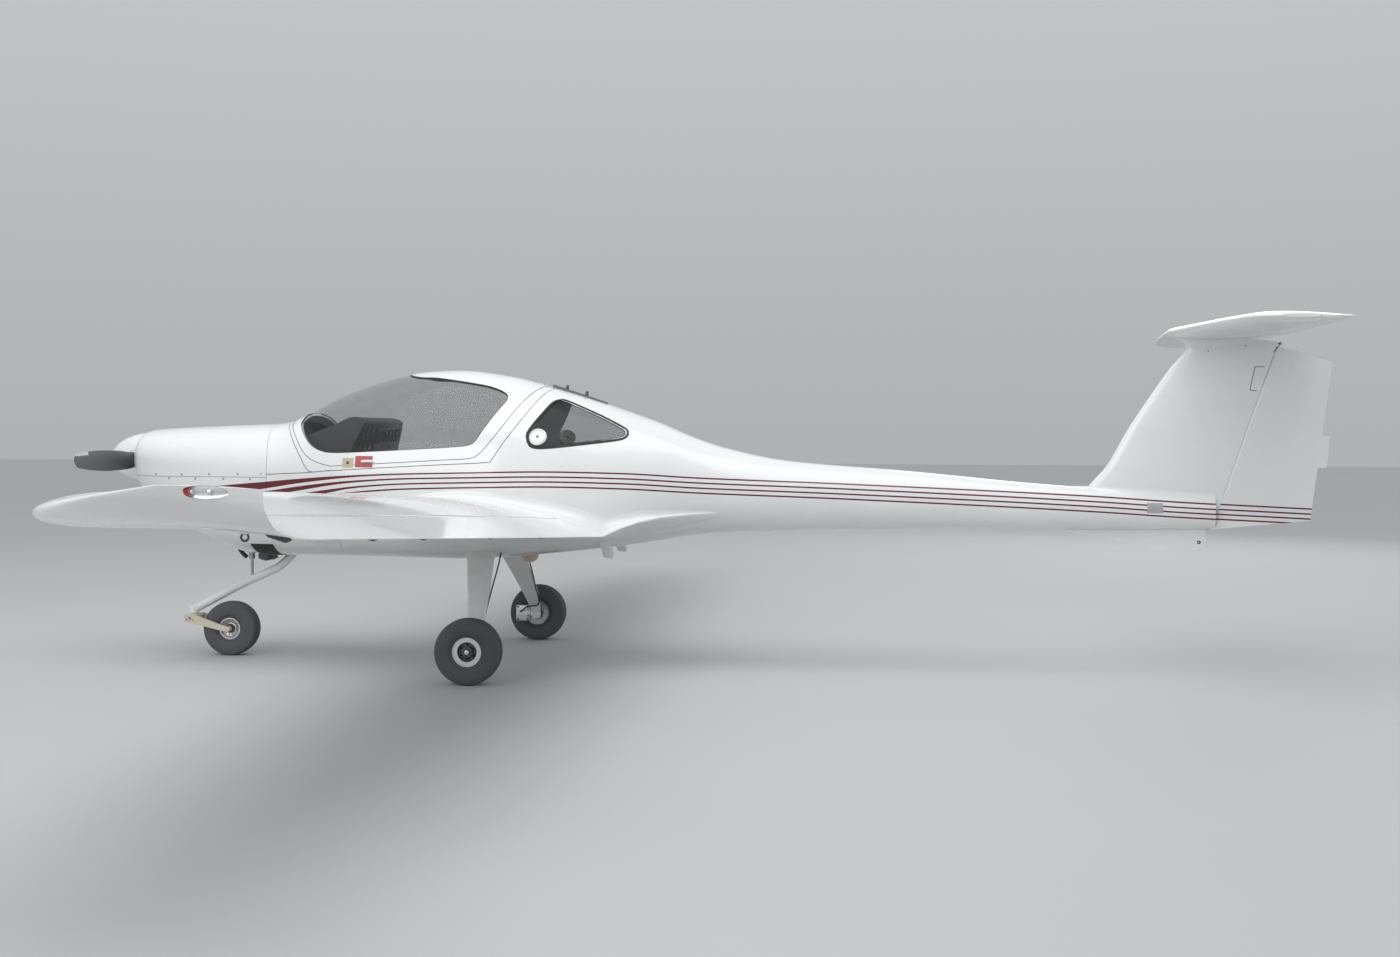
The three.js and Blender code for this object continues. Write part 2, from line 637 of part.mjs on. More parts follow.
// Cowl
const INLET = { x0: -3400, x1: -3200, y: 222, z: 1182, halfY: 50, halfZ: 57, flare: 6, sides: 14 };
const ENGINE = { x0: -3200, halfY: 262, z0: 970, z1: 1260 };
const SHAFT = { radius: 55, hole: 75, end: ENGINE.x0 };
const COWL_INSIDE = [-3300, -2395]; // from behind the cowl's front face to behind its rear edge
const cowlRaw = hull(0, COWL_FRONT_X, FIREWALL_X - GAP).subtract(hull(-COWL_WALL, ...COWL_INSIDE));
function inlet(side) {
  const ring = (x, grow) => {
    const points = [];
    for (let k = 0; k < INLET.sides; k++) {
      const angle = (2 * Math.PI * k) / INLET.sides;
      const y = side * INLET.y + (INLET.halfY + grow) * Math.cos(angle);
      points.push(new THREE.Vector3(x, y, INLET.z + (INLET.halfZ + grow) * Math.sin(angle)));
    }
    return points;
  };
  return loft([ring(INLET.x0, INLET.flare), ring(INLET.x1, 0)]);
}
const cowl = cowlRaw
  .subtract(inlet(-1))
  .subtract(inlet(1))
  .subtract(bar([INLET.x0, 0, THRUST_Z], [INLET.x1, 0, THRUST_Z], SHAFT.hole, 24));
const cowlUpper = cowl.intersect(block(-FAR * 2, FAR, -FAR, FAR, COWL_SPLIT_Z + GAP / 2, FAR));
const cowlLower = cowl.intersect(block(-FAR * 2, FAR, -FAR, FAR, -FAR, COWL_SPLIT_Z - GAP / 2));

piece("fuselage_shell", shell, WHITE);
piece("cowl_upper", cowlUpper, WHITE);
piece("cowl_lower", cowlLower, WHITE);
piece("canopy_frame", canopyFrame, WHITE);
piece("canopy_glass", canopyGlass, GLAZING);
for (const [side, half] of Object.entries(halves)) {
  piece("rear_window_" + side, windowPane.intersect(half), GLAZING);
}

piece(
  "engine_block",
  block(ENGINE.x0, FIREWALL_X - GAP, -ENGINE.halfY, ENGINE.halfY, ENGINE.z0, ENGINE.z1),
  IRON,
);

const leftWing = mirrored(wing);
piece("wing_left", leftWing.subtract(seat), WHITE);
piece("wing_right", mirrored(leftWing).subtract(seat), WHITE);
for (const [side, turn] of [["left", mirrored], ["right", (solid) => solid]]) {
  piece("flap_" + side, turn(flap.moving), WHITE);
  piece("aileron_" + side, turn(aileron.moving), WHITE);
  piece("nav_light_" + side, turn(lens), side === "left" ? RED : GREEN);
}
piece("stabilizer", elevator.fixed, WHITE);
piece("elevator", elevator.moving, WHITE);
const tab = block(TRIM_TAB.x0, TRIM_TAB.x1, -TRIM_TAB.half, TRIM_TAB.half, TRIM_TAB.z0, TRIM_TAB.z1);
piece("rudder", rudder.add(tab), WHITE);

const VENTRAL_SIDE = [[2134, 830], [2134, 801], [2698, 667], [2921, 707], [2897, 830]];
const VENTRAL_HALF = 7;
const TAIL_TIE = { x: 2868, z: 742, radius: 9 };
const ventral = sideProfile(VENTRAL_SIDE, -VENTRAL_HALF, VENTRAL_HALF);
const tieHole = bar(
  [TAIL_TIE.x, -2 * VENTRAL_HALF, TAIL_TIE.z],
  [TAIL_TIE.x, 2 * VENTRAL_HALF, TAIL_TIE.z],
  TAIL_TIE.radius,
);
piece("ventral_fin", ventral.subtract(seat).subtract(tieHole), WHITE);

// Cabin

const cabinSeat = cabinAir(-WALL - GAP);
const SEAT_Y = [45, 470];
const SEAT_SIDE = [
  [-1640, FOOT_Z], [-1660, 835], [-1600, 855], [-1290, 800], [-1215, 830], [-1010, 1210], [-965, 1235],
  [-925, 1215], [-1100, 850], [-1120, FOOT_Z],
];
const PANEL_SIDE = [
  [-2250, 1330], [-2065, 1398], [-1954, 1447], [-1860, 1440], [-1815, 1424], [-1870, 1260], [-1900, 1010],
  [-2000, 1010], [-2120, 1180], [-2250, 1180],
];
const PANEL_HALF = 475;
const PANEL_CLEAR = 30; // between the hood's edges and the cabin's walls
const PANEL_FOOT = [[-2200, 1120], [-2200, 1180], [-1890, 1180], [-1900, 1120]];
const hood = sideProfile(PANEL_SIDE, -PANEL_HALF, PANEL_HALF).intersect(cabinAir(-WALL - PANEL_CLEAR));
const panelFoot = sideProfile(PANEL_FOOT, -FAR, FAR).intersect(cabinSeat);
piece("instrument_panel", hood.add(panelFoot), BLACK);
for (const [side, turn] of [["left", mirrored], ["right", (solid) => solid]]) {
  const seatSolid = sideProfile(SEAT_SIDE, ...SEAT_Y);
  piece("seat_" + side, turn(seatSolid).intersect(cabinSeat), LEATHER);
}
const STICK = {
  y: 255, foot: [-1740, 700], grip: [-1712, 955], top: [-1706, 1075], radius: 13, gripRadius: [19, 15],
  tubeRadius: 14, sides: 10,
};
const stickBar = ([x0, z0], [x1, z1], radius, endRadius = radius) =>
  bar([x0, STICK.y, z0], [x1, STICK.y, z1], radius, STICK.sides, endRadius);
const stick = stickBar(STICK.foot, STICK.grip, STICK.radius)
  .add(stickBar(STICK.grip, STICK.top, ...STICK.gripRadius));
const crossTube = (radius) =>
  bar([STICK.foot[0], -STICK.y, STICK.foot[1]], [STICK.foot[0], STICK.y, STICK.foot[1]], radius, STICK.sides);
piece("control_sticks", stick.add(mirrored(stick)).add(crossTube(STICK.tubeRadius)), BLACK);
const CONSOLE = { x0: -1880, x1: -1180, halfY: 38, top: 880 };
const floorConsole = block(CONSOLE.x0, CONSOLE.x1, -CONSOLE.halfY, CONSOLE.halfY, FOOT_Z, CONSOLE.top)
  .intersect(cabinSeat)
  .subtract(crossTube(STICK.tubeRadius + GAP));
piece("centre_console", floorConsole, GREY);

// Roof rail with the canopy's hinge knuckles, and its two knobs
const RAIL = { end: -545, halfY: 26, proud: 9, sunk: 20, lip: 4 };
const KNOB = { x: [-790, -673], height: 24, foot: 8, top: 6 };
const aheadOf = (x, halfY) => block(-FAR, x, -halfY, halfY, -FAR, FAR);
const rail = sideProfile(
  [
    [HINGE_AXIS.x, HINGE_AXIS.z - RAIL.lip], [HINGE_AXIS.x, HINGE_AXIS.z + RAIL.lip],
    [RAIL.end, roofZ(RAIL.end) + RAIL.proud], [RAIL.end, roofZ(RAIL.end) - RAIL.sunk],
    [HINGE_AXIS.x + RAIL.sunk, roofZ(HINGE_AXIS.x + RAIL.sunk) - RAIL.sunk],
  ],
  -RAIL.halfY,
  RAIL.halfY,
).subtract(aheadOf(HINGE_AXIS.x + 2 * STRAP.halfY, STRAP.halfY + GAP));
const knobs = KNOB.x.map((x) =>
  bar([x, 0, roofZ(x)], [x, 0, roofZ(x) + KNOB.height], KNOB.foot, 10, KNOB.top),
);
const knuckles = [
  knuckle(-RAIL.halfY, -STRAP.halfY - GAP),
  knuckle(STRAP.halfY + GAP, RAIL.halfY),
];
const hingeRail = [...knuckles, ...knobs]
  .reduce((sum, solid) => sum.add(solid), rail)
  .subtract(seat)
  .subtract(aheadOf(HINGE_AXIS.x - 12, FAR));
piece("roof_rail", hingeRail, GREY);

// Propeller

const SPINNER = { base: COWL_FRONT_X - 9, radius: 152, boreRadius: 46, bladeX: -3392, fullness: 1.75 };
const SPINNER_STEPS = 6;
function spinnerProfile(grow) {
  const [tip, depth] = [-LENGTH / 2, SPINNER.base + LENGTH / 2];
  const profile = [];
  for (let k = 0; k <= SPINNER_STEPS; k++) {
    const along = (k / SPINNER_STEPS) ** 2;
    const radius = SPINNER.radius * Math.sqrt(1 - (1 - along) ** SPINNER.fullness);
    profile.push(new THREE.Vector2(k ? radius + grow : 0, -tip - along * depth + (k ? 0 : grow)));
  }
  profile.push(new THREE.Vector2(0, -SPINNER.base));
  return profile;
}
function aroundShaft(profile, segments) {
  const geometry = new THREE.LatheGeometry(profile, segments);
  geometry.rotateZ(Math.PI / 2);
  geometry.translate(0, 0, THRUST_Z);
  return toSolid(geometry);
}
const bladeBore = (radius, reach) =>
  bar([SPINNER.bladeX, -reach, THRUST_Z], [SPINNER.bladeX, reach, THRUST_Z], radius, 16);
const spinner = aroundShaft(spinnerProfile(0), 24).subtract(bladeBore(SPINNER.boreRadius, FAR));
const shaft = bar([SPINNER.base - 1.5, 0, THRUST_Z], [SHAFT.end - GAP, 0, THRUST_Z], SHAFT.radius, 16);

// r, chord, blade angle in degrees from the disc, thickness over chord
const BLADE = [
  [140, 96, 42, 0.3],
  [200, 112, 36, 0.2],
  [320, 124, 28, 0.15],
  [500, 126, 21, 0.11],
  [680, 112, 16, 0.09],
  [800, 92, 14, 0.08],
  [858, 66, 13, 0.08],
  [876, 40, 13, 0.08],
];
// A blade section; its leading edge is up and forward on the left side.
const bladeRing = ([r, chord, angle, thickness]) => {
  const turn = THREE.MathUtils.degToRad(angle);
  return airfoil(thickness, 0.02, STEPS.blade).map(([u, w]) => {
    const [c, n] = [(0.4 - u) * chord, w * chord];
    const x = SPINNER.bladeX - c * Math.sin(turn) - n * Math.cos(turn);
    return new THREE.Vector3(x, -r, THRUST_Z + c * Math.cos(turn) - n * Math.sin(turn));
  });
};
const leftBlade = loft(BLADE.map(bladeRing));
function halfTurn(solid) {
  const geometry = toGeometry(solid);
  geometry.translate(0, 0, -THRUST_Z);
  geometry.rotateX(Math.PI);
  geometry.translate(0, 0, THRUST_Z);
  return toSolid(geometry);
}
const blades = leftBlade
  .add(halfTurn(leftBlade))
  .subtract(aroundShaft(spinnerProfile(GAP), 24))
  .add(bladeBore(SPINNER.boreRadius - GAP, SPINNER.radius));
piece("spinner", spinner.add(shaft), WHITE);
piece("propeller_blades", blades, BLACK);

// Landing gear

const WHEEL_SIDES = 24;

// A wheel's tyre and rim around its own axis, from profiles of radius and offset along the axle.
function wheelSolids({ radius, width, rim }, boreRadius) {
  const half = width / 2;
  const tyre = [
    [rim + GAP, -half * 0.6], [radius * 0.72, -half], [radius * 0.9, -half * 0.88], [radius, -half * 0.3],
    [radius, half * 0.3], [radius * 0.9, half * 0.88], [radius * 0.72, half], [rim + GAP, half * 0.6],
  ];
  const hub = [
    [boreRadius, -half * 0.6], [boreRadius + 16, -half * 0.6], [rim - 12, -half * 0.34], [rim, -half * 0.66],
    [rim, half * 0.66], [rim - 12, half * 0.34], [boreRadius + 16, half * 0.6], [boreRadius, half * 0.6],
  ];
  const ring = (profile) => {
    const points = [...profile, profile[0]].map(([r, offset]) => new THREE.Vector2(r, offset));
    const geometry = new THREE.LatheGeometry(points, WHEEL_SIDES);
    geometry.rotateY(Math.PI / WHEEL_SIDES);
    return toSolid(geometry);
  };
  return { tyre: ring(tyre), rim: ring(hub) };
}
const hubHeight = (tyre) => tyre.radius * Math.cos(Math.PI / WHEEL_SIDES);
const AXLE = { radius: 15.3, bore: 16 };

function wheel(name, size, x, y) {
  const solids = wheelSolids(size, AXLE.bore);
  for (const [part, finish] of [["tyre", RUBBER], ["rim", GREY]]) {
    const mesh = piece(name + "_" + part, solids[part], finish);
    mesh.position.set(x, y, hubHeight(size));
  }
}

// Main leg from the fuselage to the axle: y, z, x of the middle, chord, thickness
const LEG = [
  [330, 690, -1228, 176, 34],
  [560, 485, -1185, 140, 28],
  [760, 300, -1155, 100, 22],
  [838, 205, -1146, 80, 20],
  [856, 150, -1146, 74, 18],
];
function legRing([y, z, x, chord, thick], i) {
  const before = LEG[Math.max(i - 1, 0)];
  const after = LEG[Math.min(i + 1, LEG.length - 1)];
  const along = new THREE.Vector3(0, after[0] - before[0], after[1] - before[1]).normalize();
  const across = new THREE.Vector3(0, -along.z, along.y);
  const outline = [
    [-0.5, 0], [-0.42, -0.4], [-0.2, -0.5], [0.3, -0.4], [0.5, 0], [0.3, 0.4], [-0.2, 0.5], [-0.42, 0.4],
  ];
  return outline.map(([u, w]) =>
    new THREE.Vector3(x + u * chord, y, z).addScaledVector(across, w * thick),
  );
}
const AXLE_END = TRACK_HALF + MAIN_TYRE.width * 0.3 + 6;
const hubZ = hubHeight(MAIN_TYRE);
const FLANGE = { radius: 34, y0: 852, y1: 876 };
// The brake's caliper ahead of the axle, and the arm that carries it: reaches ahead of the axle
const CALIPER = { y0: 862, y1: 881, near: 42, far: 132, halfZ: 52, armY: 870, armHalfZ: 22 };
const wingSeat = loft(WING.map((row) => wingRing(row, GAP)));
const legSolid = loft(LEG.map(legRing))
  .subtract(wingSeat)
  .add(bar([AXLE_X, 836, hubZ], [AXLE_X, AXLE_END, hubZ], AXLE.radius, WHEEL_SIDES))
  .add(bar([AXLE_X, FLANGE.y0, hubZ], [AXLE_X, FLANGE.y1, hubZ], FLANGE.radius, 16));
const caliperBlock = (x1, y1, halfZ) =>
  block(AXLE_X - CALIPER.far, x1, CALIPER.y0, y1, hubZ - halfZ, hubZ + halfZ);
const caliper = caliperBlock(AXLE_X - CALIPER.near, CALIPER.y1, CALIPER.halfZ)
  .add(caliperBlock(AXLE_X, CALIPER.armY, CALIPER.armHalfZ))
  .subtract(loft(LEG.map(legRing)))
  .subtract(
    bar([AXLE_X, FLANGE.y0 - FLANGE.radius, hubZ], [AXLE_X, AXLE_END, hubZ], FLANGE.radius + GAP, 16),
  );

for (const [side, turn, sign] of [["left", mirrored, -1], ["right", (solid) => solid, 1]]) {
  piece("main_leg_" + side, turn(legSolid).subtract(seat), WHITE);
  piece("brake_" + side, turn(caliper), GREY);
  wheel("main_wheel_" + side, MAIN_TYRE, AXLE_X, sign * TRACK_HALF);
}

// Nose leg: x and z of the tube's bends
const NOSE_TUBE = [[-2380, 698], [-2539, 542], [-3085, 292]];
const NOSE_TUBE_RADIUS = 25;
const BARREL = { radius: 30, z0: 247, z1: 330 };
const tubeRun = NOSE_TUBE.slice(1).map(([x, z], i) =>
  bar([NOSE_TUBE[i][0], 0, NOSE_TUBE[i][1]], [x, 0, z], NOSE_TUBE_RADIUS),
);
const elbow = new THREE.SphereGeometry(NOSE_TUBE_RADIUS, 12, 6);
elbow.translate(NOSE_TUBE[1][0], 0, NOSE_TUBE[1][1]);
const barrel = bar([CASTER_X, 0, BARREL.z0], [CASTER_X, 0, BARREL.z1], BARREL.radius, 16);
const noseLeg = tubeRun[0].add(tubeRun[1]).add(toSolid(elbow)).add(barrel);
piece("nose_leg", noseLeg.subtract(seat), WHITE);

const STRUT = { x: -2719, radius: 9, z0: 455, z1: 700, collarZ: [585, 645], collarRadius: 18 };
const [, [bendX, bendZ], [frontX, frontZ]] = NOSE_TUBE;
const legGrown = bar([bendX, 0, bendZ], [frontX, 0, frontZ], NOSE_TUBE_RADIUS + GAP);
const strutBar = ([z0, z1], radius) => bar([STRUT.x, 0, z0], [STRUT.x, 0, z1], radius, 12);
const strut = strutBar([STRUT.z0, STRUT.z1], STRUT.radius)
  .add(strutBar(STRUT.collarZ, STRUT.collarRadius))
  .subtract(seat)
  .subtract(legGrown);
piece("nose_strut", strut, STEEL);

// The fork's head is a box under the barrel; each arm narrows to an eye about the axle.
const FORK = {
  arm: 74, thick: 9, axleEnd: 86, headZ: 205, headHalf: 32, neck: 10, neckHalf: 21, eyeReach: 22, eyeHalf: 14,
};
const noseHubZ = hubHeight(NOSE_TYRE);
const forkTop = BARREL.z0 - GAP;
const [headFront, headRear] = [CASTER_X - FORK.headHalf, CASTER_X + FORK.headHalf];
const [neckX, eyeX] = [NOSE_AXLE_X - FORK.neck, NOSE_AXLE_X + FORK.eyeReach];
const armOutline = [
  [headFront, forkTop], [headFront, FORK.headZ], [neckX, noseHubZ - FORK.neckHalf],
  [eyeX, noseHubZ - FORK.eyeHalf], [eyeX, noseHubZ + FORK.eyeHalf],
  [neckX, noseHubZ + FORK.neckHalf], [headRear, forkTop],
];
const noseAxle = (y) => [NOSE_AXLE_X, y, noseHubZ];
const fork = block(headFront, headRear, -FORK.arm, FORK.arm, FORK.headZ, forkTop)
  .add(sideProfile(armOutline, FORK.arm - FORK.thick, FORK.arm))
  .add(sideProfile(armOutline, -FORK.arm, FORK.thick - FORK.arm))
  .add(bar(noseAxle(-FORK.axleEnd), noseAxle(FORK.axleEnd), AXLE.radius, WHEEL_SIDES));
piece("nose_fork", fork, CREAM);
wheel("nose_wheel", NOSE_TYRE, NOSE_AXLE_X, 0);

// Small fittings under the aircraft

const OUTLET = { x0: -2664, x1: -2603, halfY: 48, z0: 574, z1: 760 };
const outlet = block(OUTLET.x0, OUTLET.x1, -OUTLET.halfY, OUTLET.halfY, OUTLET.z0, OUTLET.z1);
piece("air_outlet", outlet.subtract(seat), BLACK);
const EXHAUST = { from: [-2712, 190, 700], to: [-2645, 200, 565], radius: 20 };
const exhaust = bar(EXHAUST.from, EXHAUST.to, EXHAUST.radius).subtract(seat);
piece("exhaust_pipe", exhaust, STEEL);

const PITOT = { x: -1270, y: 2760, drop: 62, halfY: 7, inWing: 40 };
const pitotTop = underWing(PITOT.x, PITOT.y) + PITOT.inWing;
const pitotFoot = underWing(PITOT.x, PITOT.y) - PITOT.drop;
const probeOutline = [
  [PITOT.x - 20, pitotTop], [PITOT.x - 20, pitotFoot + 18], [PITOT.x - 128, pitotFoot + 12],
  [PITOT.x - 128, pitotFoot - 6], [PITOT.x + 22, pitotFoot - 8], [PITOT.x + 30, pitotTop],
];
const probe = sideProfile(probeOutline, PITOT.y - PITOT.halfY, PITOT.y + PITOT.halfY).subtract(wingSeat);
piece("pitot_probe", mirrored(probe), WHITE);

const BLISTER = { at: [-1010, 0, 622], half: [52, 34, 40] };
const blister = new THREE.SphereGeometry(1, 12, 8);
blister.scale(...BLISTER.half);
blister.translate(...BLISTER.at);
piece("belly_antenna", toSolid(blister).subtract(seat), CREAM);

export default aircraft;
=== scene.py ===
import math

import bmesh
import bpy
import numpy as np
from mathutils import Matrix, Vector


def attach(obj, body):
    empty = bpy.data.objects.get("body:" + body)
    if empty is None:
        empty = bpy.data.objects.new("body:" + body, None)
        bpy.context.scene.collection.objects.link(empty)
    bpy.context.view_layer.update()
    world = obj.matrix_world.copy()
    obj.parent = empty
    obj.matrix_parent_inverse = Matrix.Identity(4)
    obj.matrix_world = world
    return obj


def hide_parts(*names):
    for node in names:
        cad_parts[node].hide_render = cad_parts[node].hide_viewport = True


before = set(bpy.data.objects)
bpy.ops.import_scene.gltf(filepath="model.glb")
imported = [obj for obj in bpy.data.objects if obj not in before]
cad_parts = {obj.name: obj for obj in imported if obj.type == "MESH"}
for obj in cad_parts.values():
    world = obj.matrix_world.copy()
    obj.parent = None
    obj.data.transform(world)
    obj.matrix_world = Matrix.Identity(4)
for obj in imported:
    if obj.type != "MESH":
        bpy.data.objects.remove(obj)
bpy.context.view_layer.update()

bl_info = {
    "name": "Light aircraft",
    "version": (1, 0, 0),
    "blender": (4, 5, 0),
    "location": "3D View > Sidebar > Aircraft",
    "description": "Builds a parked two-seat training aircraft around its solid frame",
    "category": "Object",
}

MM = 0.001
HALF_TURN = math.pi

# Sizes of the airframe, in metres. X points aft, Y to the right wing tip and Z up.
HALF_LENGTH = 3.594
FIREWALL_X = -2.445
COWL_FRONT_X = -3.335
COWL_SPLIT_Z = 1.092
CABIN_REAR_X = -0.33
TAIL_END_X = 2.946
THRUST_Z = 1.195
AXLE_X = -1.149
TRACK_HALF = 0.95
NOSE_AXLE_X = -2.846
CASTER_X = -3.085
HUB_Z = 0.17846
NOSE_HUB_Z = 0.162597


def millimetres(rows, lengths):
    """A table whose first columns are given in millimetres, as an array in metres."""
    made = np.array(rows, float)
    made[:, :lengths] *= MM
    return made


# x, top z, bottom z, half width, z of the widest point, squareness above and below it
SECTIONS = millimetres([
    [-3335, 1352, 1022, 262, 1193, 2.3, 2.3],
    [-3300, 1361, 965, 318, 1188, 2.3, 2.3],
    [-3230, 1369, 893, 356, 1180, 2.3, 2.3],
    [-3130, 1375, 825, 388, 1165, 2.4, 2.4],
    [-2968, 1383, 735, 418, 1145, 2.4, 2.5],
    [-2814, 1390, 665, 440, 1130, 2.4, 2.6],
    [-2668, 1396, 625, 458, 1115, 2.4, 2.7],
    [-2499, 1404, 615, 478, 1100, 2.4, 2.8],
    [-2445, 1414, 615, 485, 1094, 2.35, 2.8],
    [-2407, 1424, 615, 490, 1090, 2.3, 2.8],
    [-2272, 1491, 615, 508, 1080, 2.2, 2.8],
    [-2139, 1563, 615, 524, 1070, 2.15, 2.8],
    [-1872, 1660, 614, 548, 1060, 2.1, 2.8],
    [-1606, 1713, 609, 562, 1055, 2.1, 2.8],
    [-1424, 1721, 607, 565, 1055, 2.1, 2.8],
    [-1130, 1688, 620, 556, 1055, 2.1, 2.8],
    [-853, 1618, 645, 528, 1055, 2.1, 2.7],
    [-548, 1525, 678, 462, 1050, 2.1, 2.6],
    [-240, 1418, 722, 370, 1040, 2.1, 2.4],
    [-4, 1320, 758, 298, 1025, 2.1, 2.3],
    [169, 1265, 772, 256, 1010, 2.1, 2.2],
    [514, 1196, 784, 203, 990, 2.1, 2.1],
    [1195, 1142, 801, 152, 970, 2.1, 2.1],
    [1867, 1078, 808, 118, 943, 2.1, 2.1],
    [2586, 1026, 813, 92, 920, 2.1, 2.1],
    [2946, 1004, 818, 78, 912, 2.1, 2.1],
], 5)

# The canopy's seam, its glass and the rear window in side view, x and z
CANOPY_SEAM = millimetres([
    [-2388, 1440], [-2362, 1404], [-2334, 1372], [-2286, 1316], [-2220, 1233], [-2163, 1192],
    [-2069, 1163], [-1990, 1163], [-1409, 1197], [-1242, 1208], [-1188, 1237], [-1137, 1296],
    [-1067, 1395], [-999, 1503], [-948, 1574], [-923, 1604], [-890, 1630],
], 2)
CANOPY_GLASS = millimetres([
    [-2318, 1475], [-2300, 1426], [-2296, 1404], [-2272, 1372], [-2226, 1316], [-2179, 1273],
    [-2121, 1246], [-2034, 1234], [-1759, 1245], [-1361, 1268], [-1254, 1280], [-1216, 1304],
    [-1182, 1359], [-1116, 1463], [-1073, 1527], [-1067, 1556], [-1086, 1581], [-1150, 1610],
    [-1252, 1634], [-1495, 1670], [-1616, 1676], [-1700, 1692], [-1732, 1704],
], 2)
REAR_WINDOW = millimetres([
    [-925, 1332], [-917, 1368], [-854, 1468], [-815, 1526], [-785, 1540], [-749, 1532],
    [-665, 1498], [-539, 1442], [-415, 1378], [-393, 1356], [-401, 1336], [-446, 1322],
    [-634, 1298], [-800, 1280], [-880, 1279], [-910, 1297],
], 2)
# The scribed line outside the canopy's seam
OUTER_LINE = millimetres([
    [-2413, 1411], [-2375, 1385], [-2318, 1322], [-2245, 1218], [-2200, 1147], [-2166, 1126],
    [-2093, 1131], [-1899, 1143], [-1707, 1155], [-1352, 1174], [-1146, 1186], [-1115, 1206],
    [-1058, 1296], [-958, 1447], [-901, 1541], [-867, 1593], [-844, 1610],
], 2)

# The cheat lines in side view: x, then the top and the bottom z of each of the four bands
STRIPES = millimetres([
    [-3290, 985, 985, 900, 900, 900, 900, 900, 900],
    [-3100, 1009, 981, 918, 918, 905, 905, 905, 905],
    [-2930, 1026, 982, 942, 940, 915, 915, 915, 915],
    [-2800, 1036, 986, 962, 950, 930, 930, 925, 925],
    [-2633, 1051, 1001, 988, 962, 950, 950, 940, 940],
    [-2440, 1068, 1030, 1014, 985, 971, 971, 950, 950],
    [-2359, 1076, 1043, 1026, 1000, 984, 977, 960, 960],
    [-2236, 1087, 1062, 1045, 1020, 1002, 986, 980, 980],
    [-2113, 1097, 1077, 1060, 1041, 1020, 997, 990, 990],
    [-1993, 1105, 1091, 1073, 1059, 1037, 1024, 1006, 1006],
    [-1873, 1112, 1101, 1082, 1071, 1050, 1040, 1020, 1012],
    [-1638, 1122, 1113, 1095, 1086, 1066, 1057, 1037, 1028],
    [-1294, 1130, 1121, 1103, 1094, 1075, 1066, 1047, 1038],
    [-846, 1138, 1129, 1110, 1101, 1082, 1073, 1054, 1045],
    [-408, 1129, 1120, 1100, 1091, 1072, 1063, 1043, 1034],
    [32, 1102, 1093, 1074, 1065, 1045, 1036, 1017, 1008],
    [855, 1070, 1061, 1042, 1033, 1013, 1004, 985, 976],
    [2300, 1005, 996, 976, 967, 948, 939, 919, 910],
    [2745, 977, 968, 948, 939, 920, 911, 892, 883],
    [3466, 942, 933, 913, 904, 885, 876, 857, 848],
    [3600, 935, 926, 906, 897, 878, 869, 850, 841],
], 9)

STRIPE_HEIGHTS = (0.8, 1.2)

# y, leading edge x, trailing edge x, leading edge z, trailing edge z, cant in degrees, thickness
WING = millimetres([
    [300, -1716, -470, 852, 757, 0, 0.15],
    [620, -1705, -478, 874, 779, 0, 0.15],
    [3500, -1599, -544, 1036, 962, 0, 0.137],
    [5000, -1385, -591, 1122, 1058, 4, 0.13],
    [5160, -1318, -592, 1136, 1074, 18, 0.12],
    [5290, -1215, -587, 1158, 1104, 40, 0.11],
    [5375, -1085, -578, 1185, 1145, 62, 0.1],
    [5420, -945, -570, 1208, 1186, 78, 0.09],
    [5431, -850, -566, 1222, 1212, 82, 0.07],
], 5)
CAMBER = 0.05

# z, leading edge x, half thickness of the fin
FIN = millimetres([
    [900, 2190, 46], [1040, 2235, 46], [1083, 2267, 45], [1164, 2339, 44], [1376, 2459, 42],
    [1562, 2578, 40], [1736, 2697, 38], [1856, 2784, 38], [1892, 2755, 44], [1930, 2690, 52],
], 3)
RUDDER_FOOT = (3.483, 0.870)
RUDDER_SLOPE = 0.1232
RUDDER_HINGE = ((2.938, 0.790), (3.302, 1.872))
RUDDER_NOSE = (0.037, 0.029)
# y, leading edge x, trailing edge x, thickness of the tailplane
TAILPLANE = millimetres([
    [0, 2676, 3400, 0.115], [1180, 2826, 3346, 0.11], [1270, 2852, 3338, 0.1],
    [1310, 2890, 3320, 0.08], [1325, 2960, 3280, 0.05],
], 3)
TAIL_Z = 1.938
ELEVATOR_X = 3.165
ELEVATOR_HALF = 1.33


def size_of(name):
    """A size from the sidebar's properties."""
    return getattr(bpy.context.scene.aircraft_sizes, name)


# Curves and surfaces


def full_turn(count):
    """Angles once round, evenly spaced from 0."""
    return np.linspace(0, 2 * HALF_TURN, count, endpoint=False)


def unit_rows(rows):
    """Rows scaled to a length of 1."""
    return rows / np.linalg.norm(rows, axis=1, keepdims=True)


def rudder_edge(z):
    """The rudder's trailing edge at a height."""
    return RUDDER_FOOT[0] + RUDDER_SLOPE * (z - RUDDER_FOOT[1])


